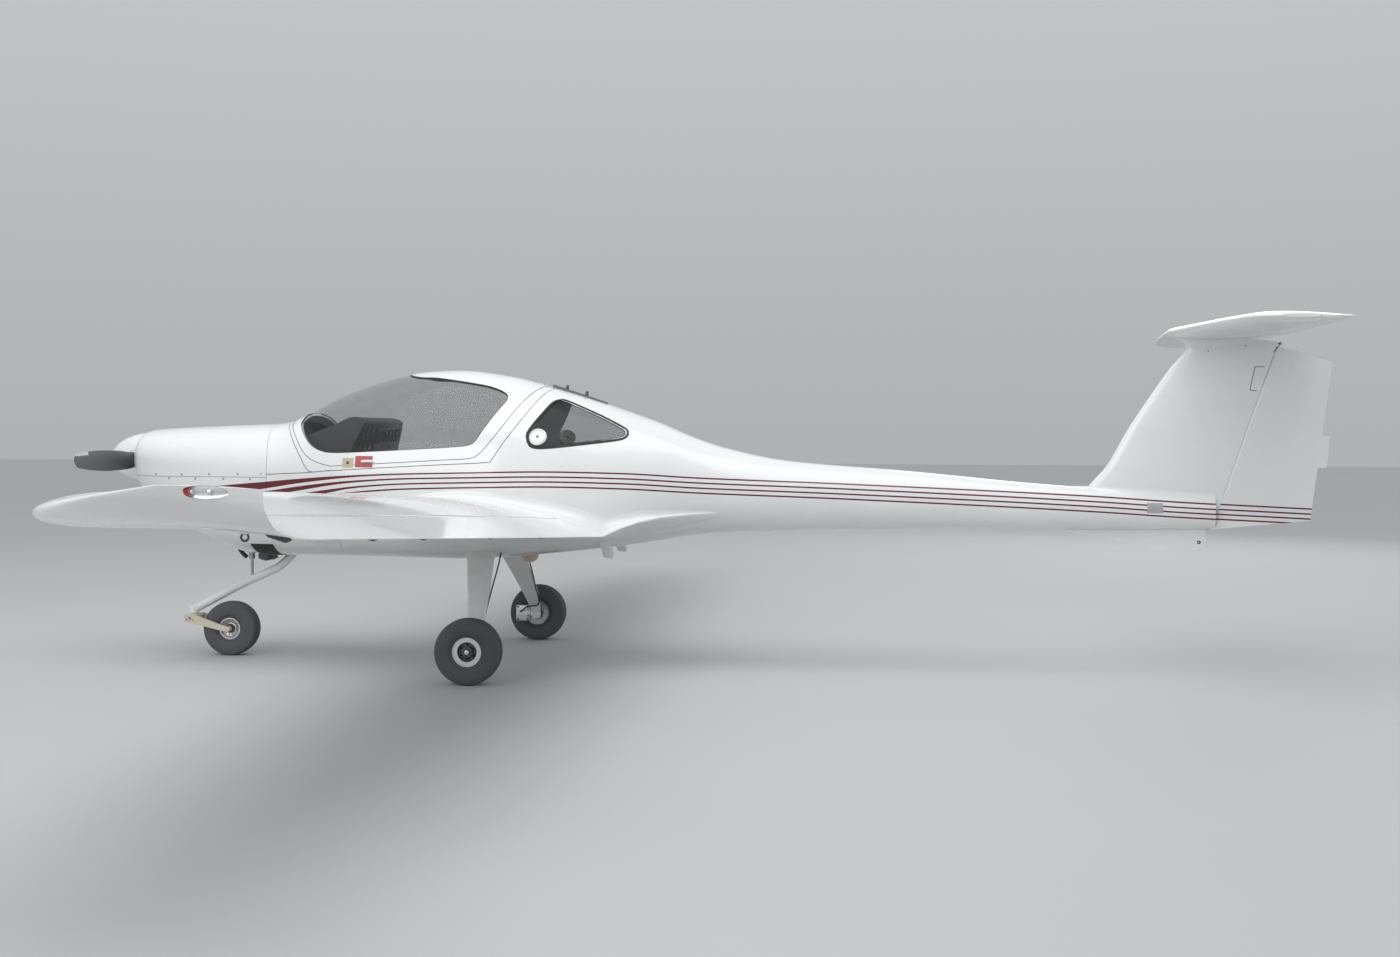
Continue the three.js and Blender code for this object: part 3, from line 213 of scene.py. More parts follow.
def cubic(table, at):
    """Rows between a table's rows: each column is a cubic between rows whose slope at a row is
    the harmonic mean of the slopes on both sides, or zero where those differ in sign."""
    x, y = table[:, 0], table[:, 1:]
    step = np.diff(x)
    rise = np.diff(y, axis=0) / step[:, None]
    before, after = rise[:-1], rise[1:]
    near, far = (2 * step[1:] + step[:-1])[:, None], (step[1:] + 2 * step[:-1])[:, None]
    slope = np.zeros_like(y)
    with np.errstate(divide="ignore", invalid="ignore"):
        mean = (near + far) / (near / before + far / after)
    slope[1:-1] = np.where(before * after > 0, mean, 0)
    slope[0], slope[-1] = rise[0], rise[-1]
    at = np.clip(np.asarray(at, float), x[0], x[-1])
    i = np.clip(np.searchsorted(x, at, side="right") - 1, 0, len(step) - 1)
    h = step[i][..., None]
    t = (at - x[i])[..., None] / h
    low = (1 + 2 * t) * (1 - t) ** 2 * y[i] + t * (1 - t) ** 2 * h * slope[i]
    return low + t * t * (3 - 2 * t) * y[i + 1] + t * t * (t - 1) * h * slope[i + 1]


def straight(table, at):
    """Rows between a table's rows along straight lines."""
    at = np.asarray(at, float)
    return np.stack([np.interp(at, table[:, 0], column) for column in table[:, 1:].T], -1)


def smooth_path(points, count, closed=False):
    """count points along a curve through the given ones: a Catmull-Rom spline, where each span is
    the cubic whose slope at a point is half the step between its neighbours, spaced by length."""
    p = np.asarray(points, float)
    if closed:
        p = np.vstack([p[-1], p, p[0], p[1]])
    else:
        p = np.vstack([2 * p[0] - p[1], p, 2 * p[-1] - p[-2]])
    a, b, c, d = p[:-3, None], p[1:-2, None], p[2:-1, None], p[3:, None]
    t = np.linspace(0, 1, 16, endpoint=False)[None, :, None]
    dense = 0.5 * (2 * b + (c - a) * t + (2 * a - 5 * b + 4 * c - d) * t**2
                   + (3 * b - a - 3 * c + d) * t**3)
    dense = np.vstack([dense.reshape(-1, p.shape[1]), p[-2]])
    along = np.concatenate([[0], np.cumsum(np.linalg.norm(np.diff(dense, axis=0), axis=1))])
    at = np.linspace(0, along[-1], count, endpoint=not closed)
    return np.stack([np.interp(at, along, column) for column in dense.T], -1)


def shifted(line, distance, closed=False):
    """A side view line moved to its left by a distance, square to its direction."""
    step = (np.roll(line, -1, 0) - np.roll(line, 1, 0)) if closed else np.gradient(line, axis=0)
    step = unit_rows(step)
    return line + distance * np.stack([-step[:, 1], step[:, 0]], -1)


def body_point(x, angle, outset=0.0):
    """The fuselage's skin: at station x a superellipse about its widest height, where width is
    the cosine and height the sine of the angle, each raised to 2 over the squareness."""
    top, bottom, half, waist, above, below = np.moveaxis(cubic(SECTIONS, x), -1, 0)
    c, s = np.cos(angle), np.sin(angle)
    power = np.where(s >= 0, 2 / above, 2 / below)
    reach = np.where(s >= 0, top - waist, waist - bottom) + outset
    y = (half + outset) * np.sign(c) * np.abs(c) ** power
    z = waist + reach * np.sign(s) * np.abs(s) ** power
    return np.stack(np.broadcast_arrays(x, y, z), -1)


def body_side(x, z, outset=0.0):
    """The skin's half width at a station and a height: half (1 - |height|^n)^(1/n)."""
    top, bottom, half, waist, above, below = np.moveaxis(cubic(SECTIONS, x), -1, 0)
    power = np.where(z >= waist, above, below)
    reach = np.where(z >= waist, top - waist, waist - bottom) + outset
    level = np.clip(np.abs(z - waist) / reach, 0, 1)
    return (half + outset) * (1 - level**power) ** (1 / power)


def half_thickness(u):
    """Half the thickness of an airfoil at a chord fraction, for a thickness of 1."""
    u = np.clip(u, 0, 1)
    return 5 * (0.2969 * np.sqrt(u) - 0.126 * u - 0.3516 * u**2 + 0.2843 * u**3 - 0.1015 * u**4)


def round_steps(count):
    """Fractions from 0 to 1 that stand closer together at both ends: half of 1 - cosine."""
    return (1 - np.cos(np.linspace(0, HALF_TURN, count))) / 2


def bend(a, corner, b, t):
    """A curve from a to b that leaves along the line to the corner: a quadratic Bezier curve."""
    return (1 - t) ** 2 * a + 2 * t * (1 - t) * corner + t**2 * b


# Meshes


class Form:
    """Surfaces gathered for one piece, as points and faces."""

    def __init__(self):
        self.points, self.faces, self.used = [], [], 0

    def add(self, points, faces):
        """Points as rows and faces as lists of row numbers."""
        points = np.asarray(points, float).reshape(-1, 3)
        if isinstance(faces, np.ndarray):
            self.faces += (faces + self.used).tolist()
        else:
            self.faces += [[int(i) + self.used for i in face] for face in faces]
        self.points.append(points)
        self.used += len(points)
        return self

    def grid(self, points, around=False, along=False, ends=False, keep=None):
        """A skin over rows and columns of points. around joins the last column to the first and
        along the last row to the first, ends closes the first and last row by a face, and keep
        is a mask of the cells that stay."""
        rows, columns = points.shape[:2]
        r = np.arange(rows if along else rows - 1)[:, None]
        c = np.arange(columns if around else columns - 1)[None, :]
        r1, c1 = (r + 1) % rows, (c + 1) % columns
        cells = [r * columns + c, r * columns + c1, r1 * columns + c1, r1 * columns + c]
        quads = np.stack(np.broadcast_arrays(*cells), -1)
        quads = quads[keep] if keep is not None else quads.reshape(-1, 4)
        self.add(points, quads)
        if ends:
            last = self.used - columns
            first = self.used - rows * columns
            self.faces.append([first + i for i in range(columns)][::-1])
            self.faces.append([last + i for i in range(columns)])
        return self

    def mirrored(self):
        """The same surfaces on the other side of the centre plane."""
        other = Form()
        other.points = [p * [1, -1, 1] for p in self.points]
        other.faces = [face[::-1] for face in self.faces]
        other.used = self.used
        return other

    def join(self, other):
        """Another form's surfaces added to this one."""
        points = np.concatenate(other.points)
        return self.add(points, other.faces)


def closed_form(points):
    """A form with one skin that is closed around its columns and at both ends."""
    return Form().grid(points, around=True, ends=True)


def turned(profile, centre, axis, count=64, start=0.0):
    """A profile of radius and offset turned about an axis through the centre: each point goes
    round a circle of its radius at its offset along the axis."""
    axis = np.asarray(axis, float) / np.linalg.norm(axis)
    across = np.cross(axis, [0, 0, 1] if abs(axis[2]) < 0.9 else [1, 0, 0])
    across /= np.linalg.norm(across)
    third = np.cross(axis, across)
    angle = start + full_turn(count)
    profile = np.asarray(profile, float)
    radius, offset = profile[:, :1, None], profile[:, 1:, None]
    spoke = np.cos(angle)[:, None] * across + np.sin(angle)[:, None] * third
    return np.asarray(centre, float) + radius * spoke[None] + offset * axis


def lathe(profile, centre, axis, count=64, closed=False):
    """A turned solid. An open profile ends on flat faces, and a closed one is a ring."""
    form = Form()
    points = turned(profile, centre, axis, count)
    return form.grid(points, around=True, along=closed, ends=not closed)


def tube(path, radius, sides=16):
    """A round bar along a path: a circle of the path's radius square to its direction, carried
    from point to point with no twist about it."""
    path = np.asarray(path, float)
    step = unit_rows(np.gradient(path, axis=0))
    side = np.cross(step[0], [0, 0, 1] if abs(step[0][2]) < 0.9 else [0, 1, 0])
    sides_of = []
    for direction in step:
        side = side - direction * side.dot(direction)
        side = side / np.linalg.norm(side)
        sides_of.append(side)
    across = np.array(sides_of)
    third = np.cross(step, across)
    angle = full_turn(sides)
    radius = np.broadcast_to(np.asarray(radius, float), len(path))[:, None, None]
    turn = angle[None, :, None]
    spoke = np.cos(turn) * across[:, None] + np.sin(turn) * third[:, None]
    return closed_form(path[:, None] + radius * spoke)


def slab(outline, y0, y1, edge=0.0, steps=3):
    """A side view outline carried across from y0 to y1, with its edges rounded: near each side
    the outline draws in by the edge's radius along a quarter circle."""
    outline = np.asarray(outline, float)
    middle = outline.mean(0)
    size = np.abs(outline - middle).max()
    rings = []
    for side, y in ((-1, y0), (1, y1)):
        turn = np.linspace(0, HALF_TURN / 2, steps + 1) if edge else [0]
        near = []
        for a in turn:
            drawn = edge * (1 - math.cos(a))
            points = middle + (outline - middle) * (1 - drawn / size)
            near.append((points, y - side * edge * (1 - math.sin(a))))
        rings += near[::-1] if side < 0 else near
    grid = [np.stack([p[:, 0], np.full(len(p), y), p[:, 1]], -1) for p, y in rings]
    return closed_form(np.array(grid))


def box_form(low, high, edge=0.0):
    """A block between two corners, with the edges along Y rounded."""
    (x0, y0, z0), (x1, y1, z1) = low, high
    if not edge:
        outline = [(x0, z0), (x1, z0), (x1, z1), (x0, z1)]
        return slab(outline, y0, y1)
    outline = []
    for cx, cz, start in ((x1 - edge, z1 - edge, 0), (x0 + edge, z1 - edge, 1),
                          (x0 + edge, z0 + edge, 2), (x1 - edge, z0 + edge, 3)):
        for k in range(4):
            a = (start + k / 3) * HALF_TURN / 2
            outline.append((cx + edge * math.cos(a), cz + edge * math.sin(a)))
    return slab(outline, y0, y1, edge * 0.6)


def body_form(outset, x0, x1, rows, columns=96):
    """The fuselage's form between two stations as a closed solid."""
    x = np.linspace(x0, x1, rows)[:, None]
    angle = full_turn(columns)[None, :]
    return closed_form(body_point(x, angle, outset))


def solid_object(name, form):
    """A form as an object with one closed mesh whose faces point outwards."""
    mesh = bpy.data.meshes.new(name)
    mesh.from_pydata(np.concatenate(form.points).tolist(), [], form.faces)
    work = bmesh.new()
    work.from_mesh(mesh)
    bmesh.ops.remove_doubles(work, verts=work.verts, dist=2e-6)
    bmesh.ops.recalc_face_normals(work, faces=work.faces)
    work.to_mesh(mesh)
    work.free()
    made = bpy.data.objects.new(name, mesh)
    bpy.context.scene.collection.objects.link(made)
    return made


def worked(obj, form, operation="DIFFERENCE"):
    """An object after a boolean with a form."""
    tool = solid_object("tool", form)
    change = obj.modifiers.new("cut", "BOOLEAN")
    change.operation, change.solver, change.object = operation, "EXACT", tool
    bpy.context.view_layer.update()
    found = obj.evaluated_get(bpy.context.evaluated_depsgraph_get())
    mesh = bpy.data.meshes.new_from_object(found)
    obj.modifiers.clear()
    old, obj.data = obj.data, mesh
    bpy.data.meshes.remove(old)
    bpy.data.meshes.remove(tool.data)
    return obj


def read_points(mesh):
    """A mesh's points as an array."""
    points = np.empty(len(mesh.vertices) * 3)
    mesh.vertices.foreach_get("co", points)
    return points.reshape(-1, 3)


def finish(obj, material, body, replaces=(), crease=32):
    """Shades, dresses and attaches a piece. material is a finish's name or a list of names."""
    mesh = obj.data
    mesh.name = obj.name
    for each in [material] if isinstance(material, str) else material:
        mesh.materials.append(finish_of(each))
    mesh.shade_smooth()
    mesh.set_sharp_from_angle(angle=math.radians(crease))
    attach(obj, body)
    if replaces:
        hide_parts(*replaces)
    return obj


def piece(name, form, material, body, replaces=(), crease=32):
    """A finished piece made from a form."""
    return finish(solid_object(name, form), material, body, replaces, crease)


def second_material(obj, chosen):
    """Gives the faces whose middle is chosen by a function of x, y and z the second material."""
    mesh = obj.data
    middle = np.empty(len(mesh.polygons) * 3)
    mesh.polygons.foreach_get("center", middle)
    pick = chosen(*middle.reshape(-1, 3).T).astype(np.int32)
    mesh.polygons.foreach_set("material_index", pick)


def mirror_copy(obj, name):
    """A copy of an object on the other side of the centre plane."""
    mesh = obj.data.copy()
    points = read_points(mesh) * [1, -1, 1]
    mesh.vertices.foreach_set("co", points.ravel())
    mesh.flip_normals()
    made = bpy.data.objects.new(name, mesh)
    bpy.context.scene.collection.objects.link(made)
    return made


def above_form(line, margin=0.0):
    """The region above an open side view line, grown by a margin."""
    line = shifted(line, -margin) if margin else line
    top = 2.2
    outline = np.vstack([line, [line[-1, 0], top], [line[0, 0], top]])
    return slab(outline, -1, 1)


# Lines drawn along the fuselage's skin


def skin_angle(x, z, side):
    """The angle of body_point at a station and height: its sine is the height over the reach to
    the power n / 2, and its cosine has the side's sign."""
    top, bottom, _, waist, above, below = np.moveaxis(cubic(SECTIONS, x), -1, 0)
    power = np.where(z >= waist, above, below)
    reach = np.where(z >= waist, top - waist, waist - bottom)
    level = np.clip((z - waist) / reach, -1, 1)
    sine = np.sign(level) * np.abs(level) ** (power / 2)
    return np.arctan2(sine, side * np.sqrt(np.maximum(1 - sine**2, 0)))


def skin_ribbon(line, side, width, low, high, closed=False):
    """A flat band along a side view line on the skin: its middle follows the line, its edges lie
    half a width to each side along the skin, and it reaches from the low to the high outset."""
    angle = skin_angle(line[:, 0], line[:, 1], side)
    x = line[:, 0]
    outer = body_point(x, angle, high)
    inner = body_point(x, angle, low)
    normal = body_point(x, angle, 0.01) - body_point(x, angle, -0.01)
    normal = unit_rows(normal)
    step = (np.roll(outer, -1, 0) - np.roll(outer, 1, 0)) if closed else np.gradient(outer, axis=0)
    across = unit_rows(np.cross(step, normal))
    half = across * (width / 2)
    band = np.stack([outer - half, outer + half, inner + half, inner - half], 1)
    return Form().grid(band, around=True, along=closed, ends=not closed)


def both_sides(make):
    """A form made for the left side and for the right side."""
    return make(-1).join(make(1))


def roof_clipped(line):
    """The part of a side view line that lies below the roof."""
    top = cubic(SECTIONS, line[:, 0])[:, 0]
    keep = line[:, 1] < top - 1e-4
    return line[keep]


# Wings and tail


def wing_skin(y, u, side):
    """The right wing's skin at a span station and chord fraction: the chord line plus the camber
    4 c u (1 - u) and half the thickness on the upper, 1, or lower, -1, side, along the cant."""
    y = np.asarray(y, float)
    row = np.where((y <= 5.0)[..., None], straight(WING, y), cubic(WING, y))
    lead_x, trail_x, lead_z, trail_z, cant, thickness = np.moveaxis(row, -1, 0)
    chord = trail_x - lead_x
    height = chord * (CAMBER * 4 * u * (1 - u) + side * thickness * half_thickness(u))
    tilt = np.radians(cant)
    x = lead_x + u * chord
    z = lead_z + u * (trail_z - lead_z) + height * np.cos(tilt)
    return np.stack(np.broadcast_arrays(x, y - height * np.sin(tilt), z), -1)


def fin_skin(z, u, side):
    """The fin and rudder blade: 2 h times the airfoil's half thickness to each side."""
    lead, half = np.moveaxis(cubic(FIN, z), -1, 0)
    trail = rudder_edge(z)
    x = lead + u * (trail - lead)
    return np.stack(np.broadcast_arrays(x, side * 2 * half * half_thickness(u), z), -1)


def tail_skin(y, u, side):
    """The tailplane: chord times thickness times the airfoil's half thickness, up and down."""
    lead, trail, thickness = np.moveaxis(cubic(TAILPLANE, np.abs(y)), -1, 0)
    chord = trail - lead
    z = TAIL_Z + side * chord * thickness * half_thickness(u)
    return np.stack(np.broadcast_arrays(lead + u * chord, y, z), -1)


def blade_grid(skin, stations, steps, start=0.0):
    """Rows of a closed airfoil loop at the stations: back along the upper skin from the trailing
    edge and out again along the lower one."""
    u = start + (1 - start) * round_steps(steps)
    u = np.concatenate([u[::-1], u[1:]])[None, :]
    side = np.concatenate([np.ones(steps), -np.ones(steps - 1)])[None, :]
    return skin(np.asarray(stations)[:, None], u, side)


class HingeLine:
    """The straight line about which a trailing surface turns. It starts and ends at two points,
    aft lies square to it in the chord's plane and up square to both."""

    def __init__(self, start, end, radii):
        self.start, self.end = np.array(start, float), np.array(end, float)
        step = self.end - self.start
        self.length = np.linalg.norm(step)
        self.along = step / self.length
        self.up = np.cross([1, 0, 0], self.along)
        self.up /= np.linalg.norm(self.up)
        self.aft = np.cross(self.along, self.up)
        self.radii = radii

    def place(self, s, x, n):
        s, x, n = (np.asarray(value, float)[..., None] for value in (s, x, n))
        return self.start + s * self.along + x * self.aft + n * self.up

    def radius(self, s):
        places = np.linspace(0, 1, len(self.radii))
        return np.interp(np.asarray(s) / self.length, places, self.radii)

    def cove(self, s0, s1, clear, upper, lower, reach=0.6, far=0.3, rows=2):
        """The space behind the fixed skin: a round hollow about the hinge line, radius + clear,
        open behind lips that end the given distances ahead of the line."""
        s = np.linspace(s0, s1, rows)
        outline = []
        for each in self.radius(s) + clear:
            first = HALF_TURN - math.acos(min(upper / each, 1))
            last = HALF_TURN + math.acos(min(lower / each, 1))
            turn = np.linspace(first, last, 13)
            x = np.concatenate([[-upper], each * np.cos(turn), [-lower, reach, reach]])
            n = np.concatenate([[far], each * np.sin(turn), [-far, -far, far]])
            outline.append((x, n))
        x, n = (np.array(part) for part in zip(*outline))
        return closed_form(self.place(s[:, None], x, n))


def hinged_form(skin, line, fractions, ends, across, rows=28, steps=20):
    """A moving surface: its nose is half a circle about the hinge line, and its skins follow the
    blade's from there to the trailing edge. Its ends stand square to the line, so each point is
    found by moving the blade's station until its distance along the line is the row's."""
    s = np.linspace(*ends, rows)[:, None]
    first = fractions(s)
    u = first + (1 - first) * (1 - (1 - np.linspace(0, 1, steps)[None, :]) ** 1.4)
    skins = []
    for side in (1, -1):
        station = np.full(np.broadcast(s, u).shape, line.start[across]) + s * line.along[across]
        for _ in range(6):
            points = skin(station, u, side)
            found = (points - line.start) @ line.along
            station = station + (s - found) / line.along[across]
        skins.append(skin(station, u, side))
    middle = line.place(s[:, 0], 0, 0)
    radius = np.linalg.norm(skins[0][:, 0] - skins[1][:, 0], axis=-1) / 2
    lift = (skins[0][:, 0] + skins[1][:, 0]) / 2 - middle
    turn = np.linspace(0, HALF_TURN, 16)[1:-1] + HALF_TURN / 2
    nose = (line.place(s, radius[:, None] * np.cos(turn), radius[:, None] * np.sin(turn))
            + lift[:, None])
    grid = np.concatenate([skins[0][:, ::-1], nose, skins[1]], 1)
    return closed_form(grid)


# Shaders


class Net:
    """A node tree under construction."""

    def __init__(self, tree):
        self.tree = tree

    def place(self):
        return self.node("ShaderNodeTexCoord").outputs["Object"]

    def node(self, kind, inputs=None, **settings):
        made = self.tree.nodes.new(kind)
        for name, value in settings.items():
            setattr(made, name, value)
        for name, value in (inputs or {}).items():
            if isinstance(value, bpy.types.NodeSocket):
                self.tree.links.new(value, made.inputs[name])
            else:
                made.inputs[name].default_value = value
        return made

    def math(self, operation, *values):
        made = self.node("ShaderNodeMath", dict(enumerate(values)), operation=operation)
        return made.outputs[0]

    def mix(self, factor, a, b):
        made = self.node("ShaderNodeMix", {0: factor, 6: a, 7: b}, data_type="RGBA")
        return made.outputs[2]

    def blend(self, factor, a, b):
        made = self.node("ShaderNodeMix", {0: factor, 2: a, 3: b}, data_type="FLOAT")
        return made.outputs[0]

    def noise(self, scale, detail=3.0, where=None, stretch=None, roughness=0.5):
        where = where or self.place()
        if stretch:
            where = self.node("ShaderNodeMapping", {"Vector": where, "Scale": stretch}).outputs[0]
        inputs = {"Vector": where, "Scale": scale, "Detail": detail, "Roughness": roughness}
        return self.node("ShaderNodeTexNoise", inputs).outputs[0]

    def band(self, value, low, high, to_low=0.0, to_high=1.0):
        inputs = {0: value, 1: low, 2: high, 3: to_low, 4: to_high}
        return self.node("ShaderNodeMapRange", inputs, clamp=True).outputs[0]


def new_group(name, inputs):
    """An empty effect group with its inputs, a colour where the default is one, and the outputs
    Colour, Roughness and Height."""
    tree = bpy.data.node_groups.new(name, "ShaderNodeTree")
    for label, default in inputs.items():
        is_colour = isinstance(default, tuple)
        kind = "NodeSocketColor" if is_colour else "NodeSocketFloat"
        socket = tree.interface.new_socket(label, in_out="INPUT", socket_type=kind)
        socket.default_value = default
    for label, kind in (("Colour", "Color"), ("Roughness", "Float"), ("Height", "Float")):
        tree.interface.new_socket(label, in_out="OUTPUT", socket_type="NodeSocket" + kind)
    net = Net(tree)
    entry = net.node("NodeGroupInput")
    return net, entry.outputs, net.node("NodeGroupOutput")


def give(net, leave, colour, roughness, height):
    for name, value in (("Colour", colour), ("Roughness", roughness), ("Height", height)):
        net.tree.links.new(value, leave.inputs[name])


def paint_group():
    """Sprayed gloss: a faint change of tone, fine orange peel, and grime that gathers in drifts
    and towards the ground."""
    net, entry, leave = new_group("sprayed_paint", {
        "Colour": (0.8, 0.8, 0.8, 1.0), "Grime Colour": (0.35, 0.32, 0.27, 1.0), "Grime": 0.1,
        "Gloss": 0.2, "Peel": 320.0,
    })
    where = net.place()
    height = net.node("ShaderNodeSeparateXYZ", {0: where}).outputs[2]
    tone = net.noise(1.7, 4.0, where)
    drift = net.noise(9.0, 6.0, where, (0.35, 1.0, 1.0), 0.62)
    low = net.band(height, 0.25, 1.0, 1.0, 0.35)
    dirt = net.math("MULTIPLY", net.band(drift, 0.45, 0.8), low)
    dirt = net.math("MULTIPLY", dirt, entry["Grime"])
    shade = net.node("ShaderNodeHueSaturation", {
        "Color": entry["Colour"], "Value": net.band(tone, 0.3, 0.7, 0.965, 1.03),
    }).outputs[0]
    colour = net.mix(dirt, shade, entry["Grime Colour"])
    rough = net.math("ADD", entry["Gloss"], net.math("MULTIPLY", dirt, 0.9))
    rough = net.math("ADD", rough, net.math("MULTIPLY", net.noise(60.0, 3.0, where), 0.05))
    peel = net.noise(entry["Peel"], 2.0, where)
    give(net, leave, colour, rough, peel)
    return net.tree


def metal_group():
    """Machined or cast metal: fine lines across the piece, dull patches and pitting."""
    net, entry, leave = new_group("worn_metal", {
        "Colour": (0.6, 0.6, 0.6, 1.0), "Dull Colour": (0.3, 0.3, 0.3, 1.0), "Wear": 0.3,
        "Gloss": 0.3, "Scale": 60.0,
    })
    where = net.place()
    patch = net.noise(entry["Scale"], 5.0, where, None, 0.6)
    lines = net.noise(entry["Scale"], 2.0, where, (1.0, 18.0, 1.0))
    dull = net.math("MULTIPLY", net.band(patch, 0.45, 0.75), entry["Wear"])
    colour = net.mix(dull, entry["Colour"], entry["Dull Colour"])
    rough = net.math("ADD", entry["Gloss"], net.math("MULTIPLY", dull, 0.5))
    rough = net.math("ADD", rough, net.math("MULTIPLY", lines, 0.12))
    height = net.math("ADD", net.math("MULTIPLY", patch, 0.6), net.math("MULTIPLY", lines, 0.3))
    give(net, leave, colour, rough, height)
    return net.tree


def grain_group():
    """Moulded or leather grain: cells with soft valleys, darker and duller in the valleys as
    painted shade.
    """
    net, entry, leave = new_group("moulded_grain", {
        "Colour": (0.1, 0.1, 0.1, 1.0), "Dust Colour": (0.3, 0.29, 0.27, 1.0), "Dust": 0.15,
        "Gloss": 0.5, "Scale": 420.0,
    })
    where = net.place()
    cells = net.node("ShaderNodeTexVoronoi", {"Vector": where, "Scale": entry["Scale"]})
    valley = net.band(cells.outputs["Distance"], 0.15, 0.6, 1.0, 0.0)
    drift = net.noise(14.0, 5.0, where)
    dust = net.math("MULTIPLY", net.band(drift, 0.4, 0.75), entry["Dust"])
    # The low ground between the cells is darker: painted shade in the grain's creases.
    tone = net.node("ShaderNodeHueSaturation", {
        "Color": entry["Colour"], "Value": net.band(valley, 0.0, 1.0, 0.82, 1.06),
    }).outputs[0]
    colour = net.mix(dust, tone, entry["Dust Colour"])
    rough = net.math("ADD", entry["Gloss"], net.math("MULTIPLY", dust, 0.6))
    give(net, leave, colour, rough, valley)
    return net.tree


def weave_group():
    """Woven cloth or carpet: two sets of threads that cross, with some lighter flecks."""
    net, entry, leave = new_group("woven_threads", {
        "Colour": (0.2, 0.2, 0.2, 1.0), "Fleck": (0.35, 0.34, 0.33, 1.0), "Flecks": 0.5,
        "Gloss": 0.85, "Scale": 260.0,
    })
    where = net.place()
    waves = []
    for axis in ("X", "Y"):
        inputs = {"Vector": where, "Scale": entry["Scale"], "Distortion": 1.5, "Detail": 1.0}
        wave = net.node("ShaderNodeTexWave", inputs, bands_direction=axis)
        waves.append(wave.outputs["Fac"])
    height = net.math("MAXIMUM", *waves)
    fleck = net.math("MULTIPLY", net.band(net.noise(180.0, 2.0, where), 0.55, 0.7), entry["Flecks"])
    # The threads' low parts are darker: painted shade between the threads.
    shade = net.node("ShaderNodeHueSaturation", {
        "Color": entry["Colour"], "Value": net.band(height, 0.0, 1.0, 0.93, 1.03),
    }).outputs[0]
    colour = net.mix(fleck, shade, entry["Fleck"])
    rough = net.math("ADD", entry["Gloss"], net.math("MULTIPLY", fleck, 0.1))
    give(net, leave, colour, rough, height)
    return net.tree


def rubber_group():
    """Tyre or hose rubber: dust that clings in drifts, scuffs and a fine dimpled skin."""
    net, entry, leave = new_group("dusty_rubber", {
        "Colour": (0.02, 0.02, 0.02, 1.0), "Dust Colour": (0.22, 0.2, 0.17, 1.0), "Dust": 0.3,
        "Gloss": 0.7, "Scale": 30.0,
    })
    where = net.place()
    drift = net.noise(entry["Scale"], 7.0, where, None, 0.65)
    fine = net.noise(500.0, 3.0, where)
    dust = net.math("MULTIPLY", net.band(drift, 0.4, 0.72), entry["Dust"])
    colour = net.mix(dust, entry["Colour"], entry["Dust Colour"])
    rough = net.math("ADD", entry["Gloss"], net.math("MULTIPLY", dust, 0.4))
    height = net.math("ADD", net.math("MULTIPLY", fine, 0.5), net.math("MULTIPLY", drift, 0.5))
    give(net, leave, colour, rough, height)
    return net.tree


def stripe_edge(net, station, column):
    """The height of one edge of a cheat line: a curve over the station from 0 to 1, through the
    table's cubic at 90 places, that goes from 0 to 1 between the two STRIPE_HEIGHTS."""
    curve = net.node("ShaderNodeFloatCurve", {"Value": station})
    low, high = STRIPE_HEIGHTS
    places = np.linspace(0, 1, 90)
    x = STRIPES[0, 0] + places * (STRIPES[-1, 0] - STRIPES[0, 0])
    levels = (cubic(STRIPES, x)[:, column] - low) / (high - low)
    points = curve.mapping.curves[0].points
    points[0].location = (0.0, levels[0])
    points[-1].location = (1.0, levels[-1])
    for place, level in zip(places[1:-1], levels[1:-1]):
        points.new(place, level)
    for point in points:
        point.handle_type = "VECTOR"
    curve.mapping.update()
    return net.band(curve.outputs[0], 0.0, 1.0, low, high)


def cheat_line_group():
    """The cheat lines' mask: 1 where the height lies between both edges of any of four bands."""
    tree = bpy.data.node_groups.new("cheat_lines", "ShaderNodeTree")
    tree.interface.new_socket("Mask", in_out="OUTPUT", socket_type="NodeSocketFloat")
    net = Net(tree)
    leave = net.node("NodeGroupOutput")
    where = net.place()
    x, _, z = net.node("ShaderNodeSeparateXYZ", {0: where}).outputs
    station = net.band(x, STRIPES[0, 0], STRIPES[-1, 0])
    mask = None
    for band in range(4):
        top, bottom = (stripe_edge(net, station, 2 * band + k) for k in (0, 1))
        inside = net.math("MULTIPLY", net.math("LESS_THAN", z, top),
                          net.math("GREATER_THAN", z, bottom))
        mask = inside if mask is None else net.math("MAXIMUM", mask, inside)
    tree.links.new(mask, leave.inputs[0])
    return tree


GROUPS = {
    "paint": paint_group, "metal": metal_group, "grain": grain_group, "weave": weave_group,
    "rubber": rubber_group,
}
